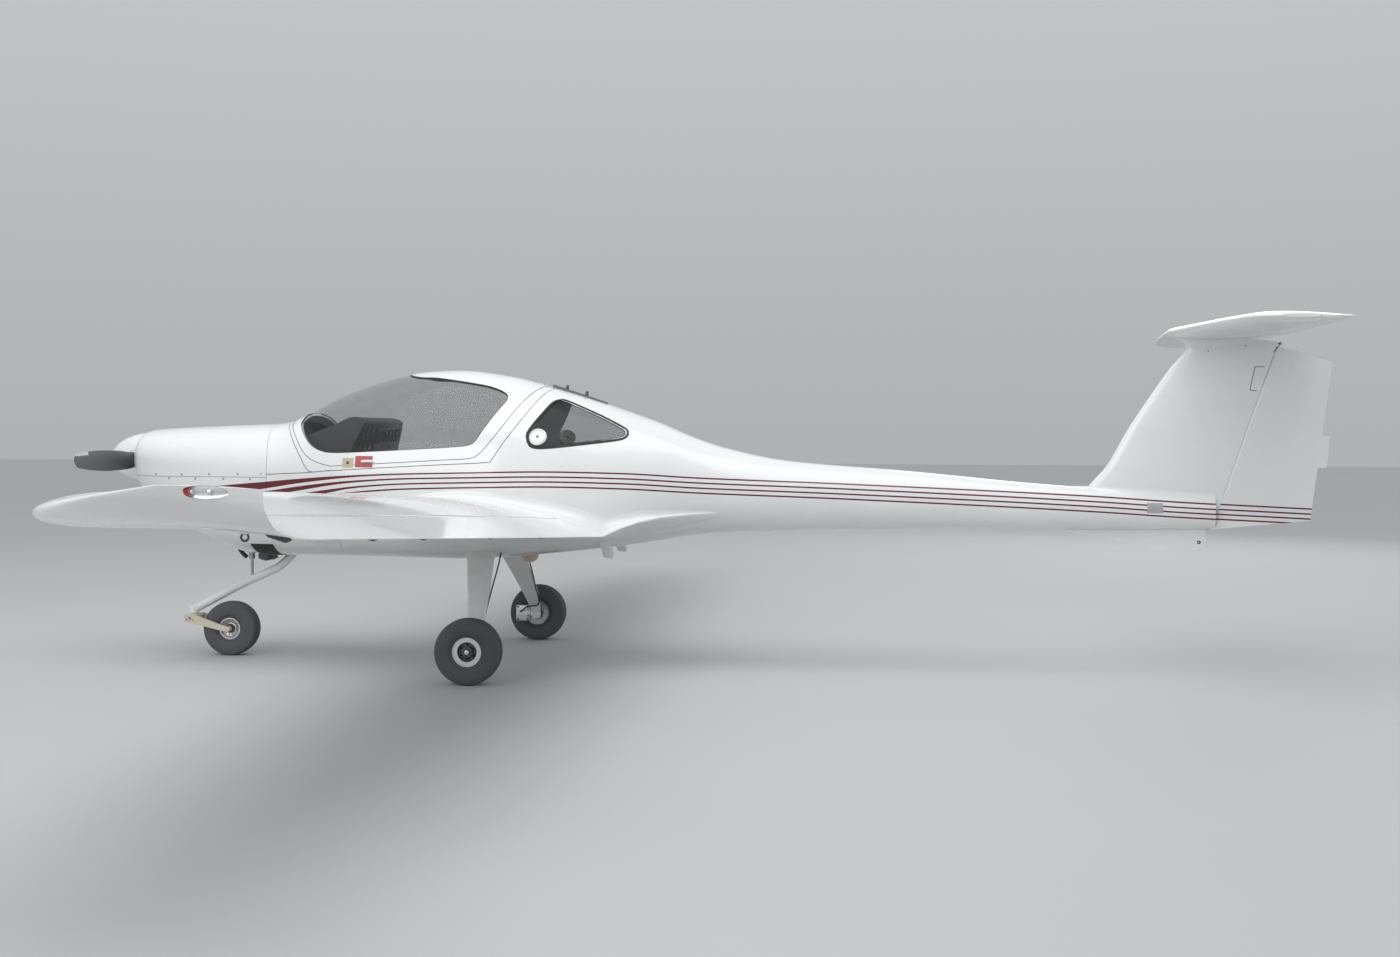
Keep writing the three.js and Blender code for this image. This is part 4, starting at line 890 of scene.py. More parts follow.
# Finish: effect group, colour, second colour, amount of it, gloss, scale, metallic, coat, bump
FINISHES = {
    "gloss_white": ("paint", "airframe", "grime", 0.10, 0.16, 300, 0, 0.5, 0.02),
    "striped_white": ("paint", "airframe", "grime", 0.10, 0.16, 300, 0, 0.5, 0.02),
    "leg_white": ("paint", "airframe", "grime", 0.30, 0.24, 300, 0, 0.3, 0.03),
    "fork_cream": ("paint", "fork", "grime", 0.55, 0.34, 220, 0, 0.1, 0.06),
    "beige_paint": ("paint", "placard", "grime", 0.30, 0.35, 300, 0, 0, 0.05),
    "red_paint": ("paint", (0.42, 0.02, 0.02), "grime", 0.10, 0.3, 300, 0, 0.3, 0.03),
    "duct_paint": ("paint", (0.62, 0.52, 0.47), "grime", 0.40, 0.4, 240, 0, 0, 0.06),
    "plate_grey": ("metal", (0.42, 0.43, 0.44), (0.25, 0.25, 0.25), 0.3, 0.4, 90, 0.3, 0, 0.05),
    "polished": ("metal", (0.75, 0.75, 0.75), (0.4, 0.4, 0.4), 0.2, 0.12, 80, 1, 0, 0.03),
    "bare_steel": ("metal", (0.45, 0.45, 0.45), (0.2, 0.18, 0.16), 0.5, 0.3, 70, 1, 0, 0.08),
    "wheel_alloy": ("metal", (0.45, 0.455, 0.45), (0.3, 0.29, 0.27), 0.45, 0.35, 60, 0.4, 0, 0.08),
    "hub_dark": ("metal", (0.10, 0.10, 0.11), (0.2, 0.18, 0.15), 0.5, 0.45, 90, 0.5, 0, 0.08),
    "exhaust_steel": ("metal", (0.30, 0.25, 0.20), (0.08, 0.07, 0.06), 0.8, 0.45, 55, 1, 0, 0.15),
    "engine_iron": ("metal", (0.07, 0.07, 0.07), (0.2, 0.19, 0.17), 0.5, 0.5, 40, 0.6, 0, 0.2),
    "blade_black": ("paint", "blades", "grime", 0.15, 0.34, 260, 0, 0.1, 0.05),
    "tip_pale": ("paint", (0.55, 0.55, 0.52), "grime", 0.20, 0.35, 260, 0, 0, 0.05),
    "black_plastic": ("grain", (0.022, 0.022, 0.024), (0.2, 0.2, 0.19), 0.12, 0.5, 420, 0, 0, 0.2),
    "panel_black": ("grain", (0.035, 0.036, 0.038), (0.2, 0.2, 0.19), 0.10, 0.55, 600, 0, 0, 0.15),
    "dial_face": ("grain", (0.012, 0.012, 0.014), (0.1, 0.1, 0.1), 0.05, 0.3, 900, 0, 0, 0.03),
    "dial_marks": ("grain", (0.75, 0.75, 0.70), (0.5, 0.5, 0.5), 0.05, 0.5, 900, 0, 0, 0.02),
    "grey_plastic": ("grain", (0.20, 0.20, 0.20), (0.3, 0.3, 0.28), 0.20, 0.5, 500, 0, 0, 0.15),
    "rail_grey": ("metal", (0.16, 0.16, 0.155), (0.10, 0.10, 0.10), 0.4, 0.5, 80, 0.2, 0, 0.05),
    # Dark rubber of the seals and lines, also used as painted shade in the rudder's cradle and over
    # the nose leg's opening.
    "seal_rubber": ("rubber", (0.030, 0.030, 0.032), "dust", 0.15, 0.6, 40, 0, 0, 0.1),
    "tyre_rubber": ("rubber", (0.010, 0.010, 0.011), "dust", 0.10, 0.70, 26, 0, 0, 0.25),
    "hose_black": ("rubber", (0.018, 0.018, 0.020), "dust", 0.25, 0.5, 60, 0, 0, 0.1),
    "seat_leather": ("grain", "seats", (0.3, 0.29, 0.27), 0.12, 0.55, 330, 0, 0, 0.3),
    # The cabin's lining, which also darkens the rudder's cradle as painted shade.
    "lining": ("weave", (0.17, 0.175, 0.185), (0.20, 0.20, 0.21), 0.3, 0.85, 300, 0, 0, 0.03),
    "carpet": ("weave", (0.10, 0.10, 0.105), (0.16, 0.16, 0.16), 0.5, 0.9, 200, 0, 0, 0.15),
}
SECOND_COLOURS = {"grime": (0.33, 0.30, 0.25), "dust": (0.24, 0.22, 0.19)}
# Glass: colour, roughness, alpha, IOR
GLASSES = {
    "canopy_tint": ("glass", 0.02, 0.11, 1.49),
    "window_tint": ("glass", 0.02, 0.15, 1.49),
    "clear_lens": ((0.80, 0.82, 0.84), 0.03, 0.16, 1.49),
    "red_lens": ((0.45, 0.01, 0.015), 0.08, 0.86, 1.49),
    "green_lens": ((0.01, 0.25, 0.10), 0.08, 0.86, 1.49),
    "dial_glass": ((0.8, 0.85, 0.9), 0.05, 0.12, 1.49),
}


def principled(net, inputs):
    shader = net.node("ShaderNodeBsdfPrincipled", inputs)
    net.node("ShaderNodeOutputMaterial", {0: shader.outputs[0]})
    return shader


def empty_material(name):
    made = bpy.data.materials.new(name)
    made.use_nodes = True
    made.node_tree.nodes.clear()
    return made, Net(made.node_tree)


def chosen_colour(colour):
    """A colour of the tables, which is either three numbers or the name of a property."""
    if isinstance(colour, str):
        return tuple(getattr(bpy.context.scene.aircraft_colours, colour))
    return colour


def finish_material(name):
    """A material from the FINISHES table: its effect group feeds colour, roughness and bump."""
    kind, colour, second, amount, gloss, scale, metallic, coat, bump = FINISHES[name]
    made, net = empty_material(name)
    base = (*chosen_colour(colour), 1.0)
    second = (*SECOND_COLOURS.get(second, second), 1.0)
    tree = bpy.data.node_groups.get(GROUP_NAMES[kind]) or GROUPS[kind]()
    effect = net.node("ShaderNodeGroup", node_tree=tree)
    for socket, value in zip(effect.inputs, (base, second, amount, gloss, scale)):
        socket.default_value = value
    if name == "striped_white":
        mask_tree = bpy.data.node_groups.get("cheat_lines") or cheat_line_group()
        mask = net.node("ShaderNodeGroup", node_tree=mask_tree).outputs[0]
        painted = net.mix(mask, base, (*chosen_colour("cheat_lines"), 1.0))
        net.tree.links.new(painted, effect.inputs[0])
    bumped = net.node("ShaderNodeBump", {
        "Height": effect.outputs["Height"], "Strength": bump, "Distance": 0.002,
    })
    principled(net, {
        "Base Color": effect.outputs["Colour"], "Roughness": effect.outputs["Roughness"],
        "Metallic": metallic, "Coat Weight": coat, "Coat Roughness": 0.06,
        "Normal": bumped.outputs[0], "Specular IOR Level": 0.22 if kind == "rubber" else 0.5,
    })
    return made


def glass_material(name):
    """Tinted acrylic: a see-through gloss with a faint haze of fine scratches and dust."""
    colour, gloss, alpha, ior = GLASSES[name]
    colour = chosen_colour(colour)
    made, net = empty_material(name)
    where = net.place()
    haze = net.noise(11.0, 6.0, where)
    scratches = net.noise(140.0, 2.0, where, (1.0, 6.0, 1.0))
    veil = net.band(haze, 0.35, 0.8, 0.0, 0.04)
    veil = net.math("ADD", veil, net.band(scratches, 0.62, 0.80, 0.0, 0.02))
    rough = net.math("ADD", gloss, net.math("MULTIPLY", veil, 0.8))
    tint = net.mix(veil, (*colour, 1.0), (0.5, 0.5, 0.5, 1.0))
    principled(net, {
        "Base Color": tint, "Roughness": rough, "Metallic": 0.0, "IOR": ior,
        "Alpha": net.math("ADD", alpha, veil), "Coat Weight": 0.0, "Specular IOR Level": 0.5,
    })
    return made


GROUP_NAMES = {
    "paint": "sprayed_paint", "metal": "worn_metal", "grain": "moulded_grain",
    "weave": "woven_threads", "rubber": "dusty_rubber",
}


def finish_of(name):
    """The material of a finish or glass, made when it is first asked for."""
    found = bpy.data.materials.get(name)
    if found:
        return found
    return glass_material(name) if name in GLASSES else finish_material(name)


# The airframe's pieces

# The seam between cowl and fuselage in side view, and the line of the cowl's two halves
FIREWALL_LINE = millimetres([
    [-2497, 1460], [-2496, 1393], [-2479, 1346], [-2453, 1244], [-2445, 1109], [-2445, 560],
], 2)
SEAM = 0.0012
CANOPY_PIN = (-0.868, 0, 1.636)
CANOPY_GAP = 0.0018
# Room that the elevator takes over the fin's top, and all that lies behind the fin, x and z
FIN_TOP_ROOM = [(3.131, 2.1), (3.131, 1.904), (3.312, 1.878), (3.312, 1.2), (3.9, 1.2), (3.9, 2.1)]
RUDDER_OUTLINE = [(2.70, 0.7964), (2.962, 0.821), (3.483, 0.870), (3.9, 0.9092), (3.9, 1.6841),
                  (3.594, 1.771), (3.302, 1.854), (2.70, 2.025)]


def rudder_hinge():
    return HingeLine(*[(x, 0, z) for x, z in RUDDER_HINGE], RUDDER_NOSE)


def elevator_hinge():
    """The elevator's hinge line, with the tailplane's half thickness there as its radius."""
    y = np.linspace(-ELEVATOR_HALF, ELEVATOR_HALF, 39)
    u = elevator_fraction(y)
    thickness = tail_skin(y, u, 1)[:, 2] - TAIL_Z
    return HingeLine((ELEVATOR_X, -ELEVATOR_HALF, TAIL_Z), (ELEVATOR_X, ELEVATOR_HALF, TAIL_Z),
                     thickness)


def elevator_fraction(y):
    lead, trail, _ = np.moveaxis(cubic(TAILPLANE, np.abs(y)), -1, 0)
    return (ELEVATOR_X - lead) / (trail - lead)


def rudder_fraction(s):
    line = rudder_hinge()
    at = line.place(s, 0, 0)
    lead = cubic(FIN, at[..., 2])[..., 0]
    trail = rudder_edge(at[..., 2])
    return (at[..., 0] - lead) / (trail - lead)


def wing_hinge(first, last):
    """A hinge line from one span station and chord fraction to another, at half the thickness."""
    ends, radii = [], []
    for y, u in (first, last):
        top, low = wing_skin(y, u, 1), wing_skin(y, u, -1)
        ends.append((top + low) / 2)
        radii.append(np.linalg.norm(top - low) / 2)
    return HingeLine(*ends, radii)


def wing_blade():
    y = np.concatenate([np.linspace(0.30, 5.0, 26), np.linspace(5.0, 5.431, 26)[1:]])
    return closed_form(blade_grid(wing_skin, y, 44))


def tail_blade(grow=0.0):
    y = np.concatenate([np.linspace(-1.325, -1.18, 10), np.linspace(-1.1, 1.1, 13),
                        np.linspace(1.18, 1.325, 10)])
    grid = blade_grid(tail_skin, y, 40)
    if grow:
        middle = np.array([3.04, 0, TAIL_Z])
        grid = middle + (grid - middle) * [1, 1, 1 + grow]
    return closed_form(grid)


def build_fuselage():
    """The hull from the firewall to the tail, with the cabin hollowed out, its openings cut, and
    the cradle of the rudder's nose."""
    x = np.concatenate([np.linspace(-2.56, -0.2, 104), np.linspace(-0.2, TAIL_END_X, 76)[1:]])
    angle = full_turn(128)
    skin = closed_form(body_point(x[:, None], angle[None, :]))
    shell = solid_object("fuselage", skin)
    line = smooth_path(FIREWALL_LINE, 40) + [SEAM, 0]
    worked(shell, slab(np.vstack([line, [-3.2, 0.56], [-3.2, 1.46]]), -1, 1))
    wall = size_of("wall")
    worked(shell, body_form(-wall, FIREWALL_X + wall, CABIN_REAR_X, 70, 96))
    worked(shell, above_form(smooth_path(CANOPY_SEAM, 150), CANOPY_GAP))
    worked(shell, slab(smooth_path(REAR_WINDOW, 90, closed=True), -1, 1))
    line = rudder_hinge()
    worked(shell, line.cove(-0.3, line.length, 0.005, 0.0, 0.0))
    # The cabin's inner faces get the lining. The rudder's cradle gets it too, as painted shade in
    # the shadowed slot.
    second_material(shell, cabin_or_painted_shade)
    finish(shell, ["striped_white", "lining"], "airframe",
           ["fuselage_shell"])
    build_fin(line)


def cabin_or_painted_shade(x, y, z):
    """Whether a point lies on the hollow's surface or a cut edge, deeper than the outer skin, or in
    the rudder's cradle behind the boom, whose dark lining is painted shade for the shadowed slot
    before the rudder.
    """
    top, bottom = np.moveaxis(cubic(SECTIONS, x), -1, 0)[:2]
    deep = (np.abs(y) < body_side(x, z, -0.0045)) & (z < top - 0.0045) & (z > bottom + 0.0045)
    # The cradle's faces: painted shade for the dark slot between the boom's end and the rudder.
    cradle_painted_shade = (body_side(x, z) - np.abs(y) > 0.003) & (x > 2.86)
    return deep & (x > FIREWALL_X + 0.006) & (x < CABIN_REAR_X + 0.002) | cradle_painted_shade


def build_fin(line):
    """The fixed fin: its blade from inside the boom to under the stabilizer, less the rudder's
    cradle, and a concave fillet along its foot."""
    z = np.linspace(0.93, 1.93, 48)
    fin = solid_object("fin", closed_form(blade_grid(fin_skin, z, 36)))
    worked(fin, line.cove(-0.3, line.length, 0.005, 0.012, 0.012))
    worked(fin, slab(FIN_TOP_ROOM, -1, 1))
    worked(fin, tail_blade(0.012))
    worked(fin, slab([(2.6, TAIL_Z), (3.5, TAIL_Z), (3.5, 2.1), (2.6, 2.1)], -1, 1))
    # The faces inside the rudder's cradle get the dark seal rubber: painted shade for the shadowed
    # slot before the rudder.
    second_material(fin, lambda x, y, z: (fin_side(x, z) - np.abs(y) > 0.004) & (x > 2.9))
    finish(fin, ["gloss_white", "seal_rubber"], "airframe",
           ["fuselage_shell"])
    x = np.linspace(2.16, 2.95, 40)
    piece("fin_fillet", both_sides(lambda side: fin_fillet(x, side)), "gloss_white",
          "airframe")


def fin_fillet(x, side):
    """A bead along the fin's foot: at each station an arc, a quadratic Bezier, from the boom's
    skin a little way out to the fin's side a little way up."""
    top = cubic(SECTIONS, x)[:, 0]
    reach = 0.004 + 0.022 * np.clip((x - x[0]) / 0.25, 0, 1)
    lead = np.interp(top, FIN[:, 0], FIN[:, 1])
    trail = rudder_edge(top)
    u = np.clip((x - lead) / (trail - lead), 0, 1)
    width = 2 * 0.045 * half_thickness(u)
    angle = HALF_TURN / 2 - side * (width + reach) / cubic(SECTIONS, x)[:, 2]
    foot = body_point(x, angle, 0.0004)
    high = np.stack([x, side * (width + 0.0004), top + reach], -1)
    corner = np.stack([x, side * (width + 0.0004), top - 0.001], -1)
    t = np.linspace(0, 1, 9)[None, :, None]
    arc = bend(foot[:, None], corner[:, None], high[:, None], t)
    inner = np.stack([np.stack([x, side * width * 0.4, top + reach], -1),
                      np.stack([x, side * width * 0.4, top - 0.02], -1),
                      np.stack([foot[:, 0], foot[:, 1], foot[:, 2] - 0.02], -1)], 1)
    return closed_form(np.concatenate([arc, inner], 1))


def cowl_skin():
    """The cowl's outer form. Its front edge is rounded: over the last 16 mm the outline draws in
    along a quarter circle."""
    turn = np.linspace(0, HALF_TURN / 2, 7)
    round_x = COWL_FRONT_X + 0.016 * (1 - np.sin(turn))
    drawn = -0.016 * (1 - np.cos(turn))
    x = np.concatenate([round_x[::-1], np.linspace(COWL_FRONT_X + 0.022, -2.40, 60)])
    outset = np.concatenate([drawn[::-1], np.zeros(60)])
    angle = full_turn(128)
    grid = body_point(x[:, None], angle[None, :], outset[:, None])
    return closed_form(grid)


def ellipse_tube(x, y, z, half_y, half_z, columns=48):
    """A tube along X whose sections are ellipses with their own middles and half sizes."""
    angle = full_turn(columns)[None, :]
    x, half_y, half_z = (np.asarray(v, float)[:, None] for v in (x, half_y, half_z))
    points = [x + 0 * angle, y + half_y * np.cos(angle), z + half_z * np.sin(angle)]
    return np.stack(points, -1)


INLET = (0.222, 1.182, 0.050, 0.057)


def build_cowl():
    """The cowl's two halves, the lips and ducts of its inlets, and its fasteners."""
    whole = solid_object("cowl", cowl_skin())
    line = smooth_path(FIREWALL_LINE, 40) - [SEAM, 0]
    worked(whole, slab(np.vstack([line, [-2.2, 0.56], [-2.2, 1.46]]), -1, 1))
    worked(whole, body_form(-0.008, -3.3, -2.38, 50, 96))
    for side in (-1, 1):
        y, z, half_y, half_z = INLET
        hole = ellipse_tube([-3.42, -3.2], side * y, z, [half_y] * 2, [half_z] * 2)
        worked(whole, closed_form(hole))
    worked(whole, lathe([(0.075, -0.2), (0.075, 0.2)], (-3.335, 0, THRUST_Z), (1, 0, 0), 48))
    halves = {"cowl_upper": (COWL_SPLIT_Z - 1, COWL_SPLIT_Z + SEAM),
              "cowl_lower": (COWL_SPLIT_Z - SEAM, COWL_SPLIT_Z + 1)}
    for name, (z0, z1) in halves.items():
        half = bpy.data.objects.new(name + "_skin", whole.data.copy())
        bpy.context.scene.collection.objects.link(half)
        worked(half, slab([(-3.6, z0), (-2.2, z0), (-2.2, z1), (-3.6, z1)], -1, 1))
        finish(half, "striped_white", "airframe", [name])
    bpy.data.objects.remove(whole)
    piece("inlet_ducts", both_sides(inlet_duct), "duct_paint", "airframe")
    piece("inlet_lips", both_sides(inlet_lip), "gloss_white", "airframe")
    spots = [(-3145, 1103), (-2977, 1105), (-2801, 1107), (-2622, 1109), (-2476, 1113),
             (-3060, 1081), (-2890, 1081), (-2712, 1081), (-2545, 1081)]
    fasteners = Form()
    for x, z in spots:
        for side in (-1, 1):
            fasteners.join(skin_disc(x * MM, z * MM, side, size_of("fastener"), 0.0012, True))
    piece("cowl_fasteners", fasteners, "bare_steel", "airframe")


def inlet_duct(side):
    """A duct that narrows and bends inward behind its inlet, 3 mm thick."""
    y, z, half_y, half_z = INLET
    x = np.array([-3.328, -3.29, -3.24, -3.19, -3.15])
    grow = np.array([0.004, 0.0, -0.002, -0.006, -0.012])
    outer = ellipse_tube(x, side * y, z, half_y + grow, half_z + grow)
    inner = ellipse_tube(x, side * y, z, half_y + grow - 0.003, half_z + grow - 0.003)
    shift = np.array([0, 0, -0.004, -0.014, -0.030])[:, None]
    for part in (outer, inner):
        part[..., 1] += side * shift
    return Form().grid(np.concatenate([outer, inner[::-1]]), around=True, along=True)


def inlet_lip(side):
    """A rolled lip around the inlet: a circle of 5 mm carried round the ellipse on the skin."""
    y, z, half_y, half_z = INLET
    angle = full_turn(64)
    ring_y = side * y + (half_y + 0.002) * np.cos(angle)
    ring_z = z + (half_z + 0.002) * np.sin(angle)
    front = np.array([cowl_front(a, b) for a, b in zip(ring_y, ring_z)])
    middle = np.stack([front + 0.003, ring_y, ring_z], -1)
    out = np.stack([0 * angle, np.cos(angle), np.sin(angle)], -1)
    turn = full_turn(12)[None, :, None]
    tube_grid = middle[:, None] + 0.005 * (np.cos(turn) * out[:, None] + np.sin(turn) * [1, 0, 0])
    return Form().grid(tube_grid, around=True, along=True)


def cowl_front(y, z):
    """The station where the cowl's front takes in a point of its front view."""
    x = np.linspace(COWL_FRONT_X, -3.0, 80)
    inside = body_side(x, np.full(80, z)) > abs(y)
    return x[np.argmax(inside)]


def skin_disc(x, z, side, radius, height, dimple=False, outset=0.0):
    """A round plate on the fuselage's skin, square to it, with an edge drawn in and, where asked,
    a dimple in its face."""
    spot, skin = np.array([x]), np.array([z])
    angle = skin_angle(spot, skin, side)
    centre = body_point(spot, angle, outset)[0]
    normal = body_point(spot, angle, outset + 0.01)[0] - centre
    profile = [(radius, -0.004), (radius, height * 0.5), (radius * 0.9, height)]
    if dimple:
        profile += [(radius * 0.45, height), (radius * 0.4, height * 0.4)]
    profile.append((0.0004, height * (0.4 if dimple else 1.0)))
    return lathe(profile, centre, normal, 24)


def build_canopy():
    """The lifting canopy: a framed shell, its tinted glass, and the strap to its hinge."""
    frame_piece = solid_object("canopy_shell", body_form(0.0, -2.46, -0.80, 84, 128))
    worked(frame_piece, body_form(-size_of("wall"), -2.47, -0.79, 60, 96))
    seam = smooth_path(CANOPY_SEAM, 150)
    worked(frame_piece, above_form(seam, -CANOPY_GAP), "INTERSECT")
    glazed = smooth_path(CANOPY_GLASS, 150)
    region = np.vstack([glazed, [-1.732, 2.2], [-2.318, 2.2]])
    worked(frame_piece, slab(region, -1.1, 1.1))
    second_material(frame_piece, cabin_or_painted_shade)
    finish(frame_piece, ["gloss_white", "grey_plastic"], "canopy",
           ["canopy_frame"])
    pane = solid_object("canopy_pane", body_form(-0.001, -2.46, -0.80, 84, 128))
    worked(pane, body_form(-0.006, -2.47, -0.79, 84, 128))
    worked(pane, slab(region, -1.1, 1.1), "INTERSECT")
    finish(pane, "canopy_tint", "canopy", ["canopy_glass"])
    edge = roof_clipped(smooth_path(shifted(CANOPY_GLASS, 0.001), 220))
    piece("canopy_glass_edge",
          both_sides(lambda side: skin_ribbon(edge, side, 0.005, -0.012, -0.0012)),
          "seal_rubber", "canopy")
    arch = glass_arch(-1.732)
    piece("canopy_glass_arch", arch, "seal_rubber", "canopy")
    hinge = Form()
    hinge.join(slab([(-0.945, 1.632), (-0.872, 1.631), (-0.868, 1.641), (-0.945, 1.649)],
                    -0.008, 0.008))
    hinge.join(lathe([(0.009, -0.008), (0.009, 0.008)], CANOPY_PIN, (0, 1, 0), 24))
    piece("canopy_strap", hinge, "bare_steel", "canopy")


def glass_arch(x):
    """A dark band over the roof where the glass ends."""
    low = skin_angle(np.array([x]), np.array([1.704]), 1)[0]
    angle = np.linspace(low, HALF_TURN - low, 48)
    rows = []
    for place, outset in ((-0.0025, -0.0012), (0.0025, -0.0012), (0.0025, -0.012),
                          (-0.0025, -0.012)):
        rows.append(body_point(np.full(48, x + place), angle, outset))
    return closed_form(np.stack(rows, 1))


VENT = (-0.870, 1.330)


def build_windows():
    """The fixed side windows behind the canopy, their dark rims, and the round vent."""
    loop = smooth_path(REAR_WINDOW, 120, closed=True)
    for side, name in ((-1, "left"), (1, "right")):
        pane = solid_object("side_window_" + name, body_form(-0.002, -1.0, -0.32, 40, 96))
        worked(pane, body_form(-0.008, -1.01, -0.31, 40, 96))
        worked(pane, slab(loop, side * 0.1 if side > 0 else -1.1, 1.1 if side > 0 else -0.1),
               "INTERSECT")
        finish(pane, "window_tint", "airframe", ["rear_window_" + name])
    rim = shifted(loop, 0.006, closed=True)
    piece("side_window_rims",
          both_sides(lambda side: skin_ribbon(rim, side, size_of("window_rim"), -0.006, 0.0006,
                                              True)),
          "seal_rubber", "airframe")
    vents = both_sides(lambda side: skin_disc(*VENT, side, 0.052, 0.004))
    piece("vent_discs", vents, "gloss_white", "airframe")
    rings = Form()
    for side in (-1, 1):
        rings.join(skin_ring(*VENT, side, 0.040, 0.047, 0.008))
    piece("vent_rings", rings, "gloss_white", "airframe")
    centres = both_sides(lambda side: skin_disc(*VENT, side, 0.008, 0.0062, True))
    piece("vent_centres", centres, "hub_dark", "airframe")


def skin_ring(x, z, side, inner, outer, height):
    """A ring on the fuselage's skin with a round top edge."""
    spot, skin = np.array([x]), np.array([z])
    angle = skin_angle(spot, skin, side)
    centre = body_point(spot, angle)[0]
    normal = body_point(spot, angle, 0.01)[0] - centre
    profile = [(inner, -0.002), (inner, height * 0.7), ((inner + outer) / 2, height),
               (outer, height * 0.7), (outer, -0.002)]
    return lathe(profile, centre, normal, 40, closed=True)


def build_seams():
    """The canopy's seal, the scribed lines around it and the joggle behind the firewall."""
    seam = roof_clipped(smooth_path(CANOPY_SEAM, 260))
    piece("canopy_seal",
          both_sides(lambda side: skin_ribbon(seam, side, size_of("seal"), -0.016, -0.0012)),
          "seal_rubber", "airframe")
    outer = roof_clipped(smooth_path(OUTER_LINE, 260))
    piece("canopy_scribed_line",
          both_sides(lambda side: skin_ribbon(outer, side, size_of("scribe"), -0.002, 0.0003)),
          "seal_rubber", "airframe")
    split = np.stack([np.linspace(-3.30, -2.449, 60), np.full(60, COWL_SPLIT_Z)], -1)
    piece("cowl_seal",
          both_sides(lambda side: skin_ribbon(split, side, 0.008, -0.012, -0.003)),
          "seal_rubber", "airframe")
    wall = roof_clipped(smooth_path(FIREWALL_LINE[:-1], 60))
    low = np.stack([np.full(40, FIREWALL_X), np.linspace(1.10, 0.66, 40)], -1)
    whole = np.vstack([wall, low])
    piece("firewall_seal",
          both_sides(lambda side: skin_ribbon(whole, side, 0.008, -0.012, -0.003)),
          "seal_rubber", "airframe")
    step = smooth_path(
        millimetres([[-2445, 1109], [-2330, 1115], [-2195, 1122], [-2053, 1135]], 2), 40)
    piece("joggle_line",
          both_sides(lambda side: skin_ribbon(step, side, size_of("scribe"), -0.002, 0.0003)),
          "seal_rubber", "airframe")


# x, y and z of the edge of the fairing behind the wing root, its rise and fall to the fuselage
FAIRING = millimetres([
    [-1690, 560, 860, 22, 1], [-1560, 592, 900, 30, 1], [-1300, 596, 930, 36, 1],
    [-1100, 590, 920, 44, 4], [-900, 582, 880, 60, 14], [-760, 590, 845, 75, 28],
    [-600, 612, 812, 85, 35], [-473, 620, 780, 88, 38], [-396, 500, 817, 75, 70],
    [-300, 430, 850, 62, 85], [-185, 360, 873, 45, 80], [-40, 300, 888, 22, 60],
    [130, 241, 900, 10, 30],
], 5)


def wing_height(x, y, side):
    """The right wing's skin height at a station and span."""
    row = straight(WING, y)
    u = np.clip((x - row[..., 0]) / (row[..., 1] - row[..., 0]), 0, 1)
    return wing_skin(y, u, side)[..., 2]


def root_fairing():
    """The right wing's root fairing: at each station a hollow curve, a quadratic Bezier, from the
    fuselage's side out to the wing or to the fairing's own edge, and a fuller one back below."""
    x = np.concatenate([np.linspace(-1.69, -0.473, 60), np.linspace(-0.473, 0.13, 54)[1:]])
    edge_y, edge_z, rise, fall = np.moveaxis(straight(FAIRING, x), -1, 0)
    on_wing = x < -0.476
    upper = np.where(on_wing, wing_height(x, edge_y, 1) + 0.0004, edge_z + 0.0025)
    lower = np.where(on_wing, np.minimum(wing_height(x, edge_y, -1) + 0.004, upper - 0.003),
                     edge_z - 0.0025)
    top_z, foot_z = upper + rise, lower - fall
    side_top, side_foot = body_side(x, top_z, 0.0004), body_side(x, foot_z, 0.0004)

    def points(y, z):
        return np.stack([x, y, z], -1)[:, None]

    t = np.linspace(0, 1, 14)[None, :, None]
    inward = body_side(x, upper)
    corner = points(inward + 0.25 * (edge_y - inward), upper + 0.04 * rise)
    over = bend(points(side_top, top_z), corner, points(edge_y, upper), t)
    swell = points(0.5 * (edge_y + side_foot) + 0.25 * fall, lower - 0.45 * fall)
    under = bend(points(edge_y, lower), swell, points(side_foot, foot_z), t[:, ::2])
    inner = np.concatenate([points(side_foot - 0.015, foot_z), points(side_top - 0.015, top_z)], 1)
    return closed_form(np.concatenate([over, under, inner], 1))


def build_wings():
    """Both wings with their tips, hinge coves and root fairings, the flaps and the ailerons."""
    flap_line = wing_hinge((0.655, 0.802), (3.490, 0.785))
    aileron_line = wing_hinge((3.503, 0.785), (4.985, 0.790))
    wing = solid_object("right_wing_skin", wing_blade())
    worked(wing, flap_line.cove(-0.0005, flap_line.length + 0.0065, 0.003, 0.016, 0.024))
    worked(wing, aileron_line.cove(-0.0065, aileron_line.length, 0.003, 0.016, 0.024))
    worked(wing, body_form(-0.010, -2.4, 0.2, 90, 128))
    worked(wing, tip_light_form(0.060, 0.0075, 0.0185))
    white = "gloss_white"
    surfaces = {
        "flap": hinged_form(wing_skin, flap_line,
                            lambda s: np.interp(s / flap_line.length, [0, 1], [0.802, 0.785]),
                            (0.004, flap_line.length + 0.003), 1),
        "aileron": hinged_form(wing_skin, aileron_line,
                               lambda s: np.interp(s / aileron_line.length, [0, 1], [0.785, 0.79]),
                               (-0.003, aileron_line.length - 0.004), 1),
    }
    left = mirror_copy(wing, "left_wing_skin")
    finish(left, white, "airframe", ["wing_left"])
    finish(wing, white, "airframe", ["wing_right"])
    for name, form in surfaces.items():
        for side, shape in (("left", form.mirrored()), ("right", form)):
            node = f"{name}_{side}"
            piece(node + "_skin", shape, white, node, [node])
    fairing = root_fairing()
    piece("root_fairing_right", fairing, white, "airframe", crease=50)
    piece("root_fairing_left", fairing.mirrored(), white, "airframe", crease=50)
    build_hinge_brackets(flap_line, aileron_line)


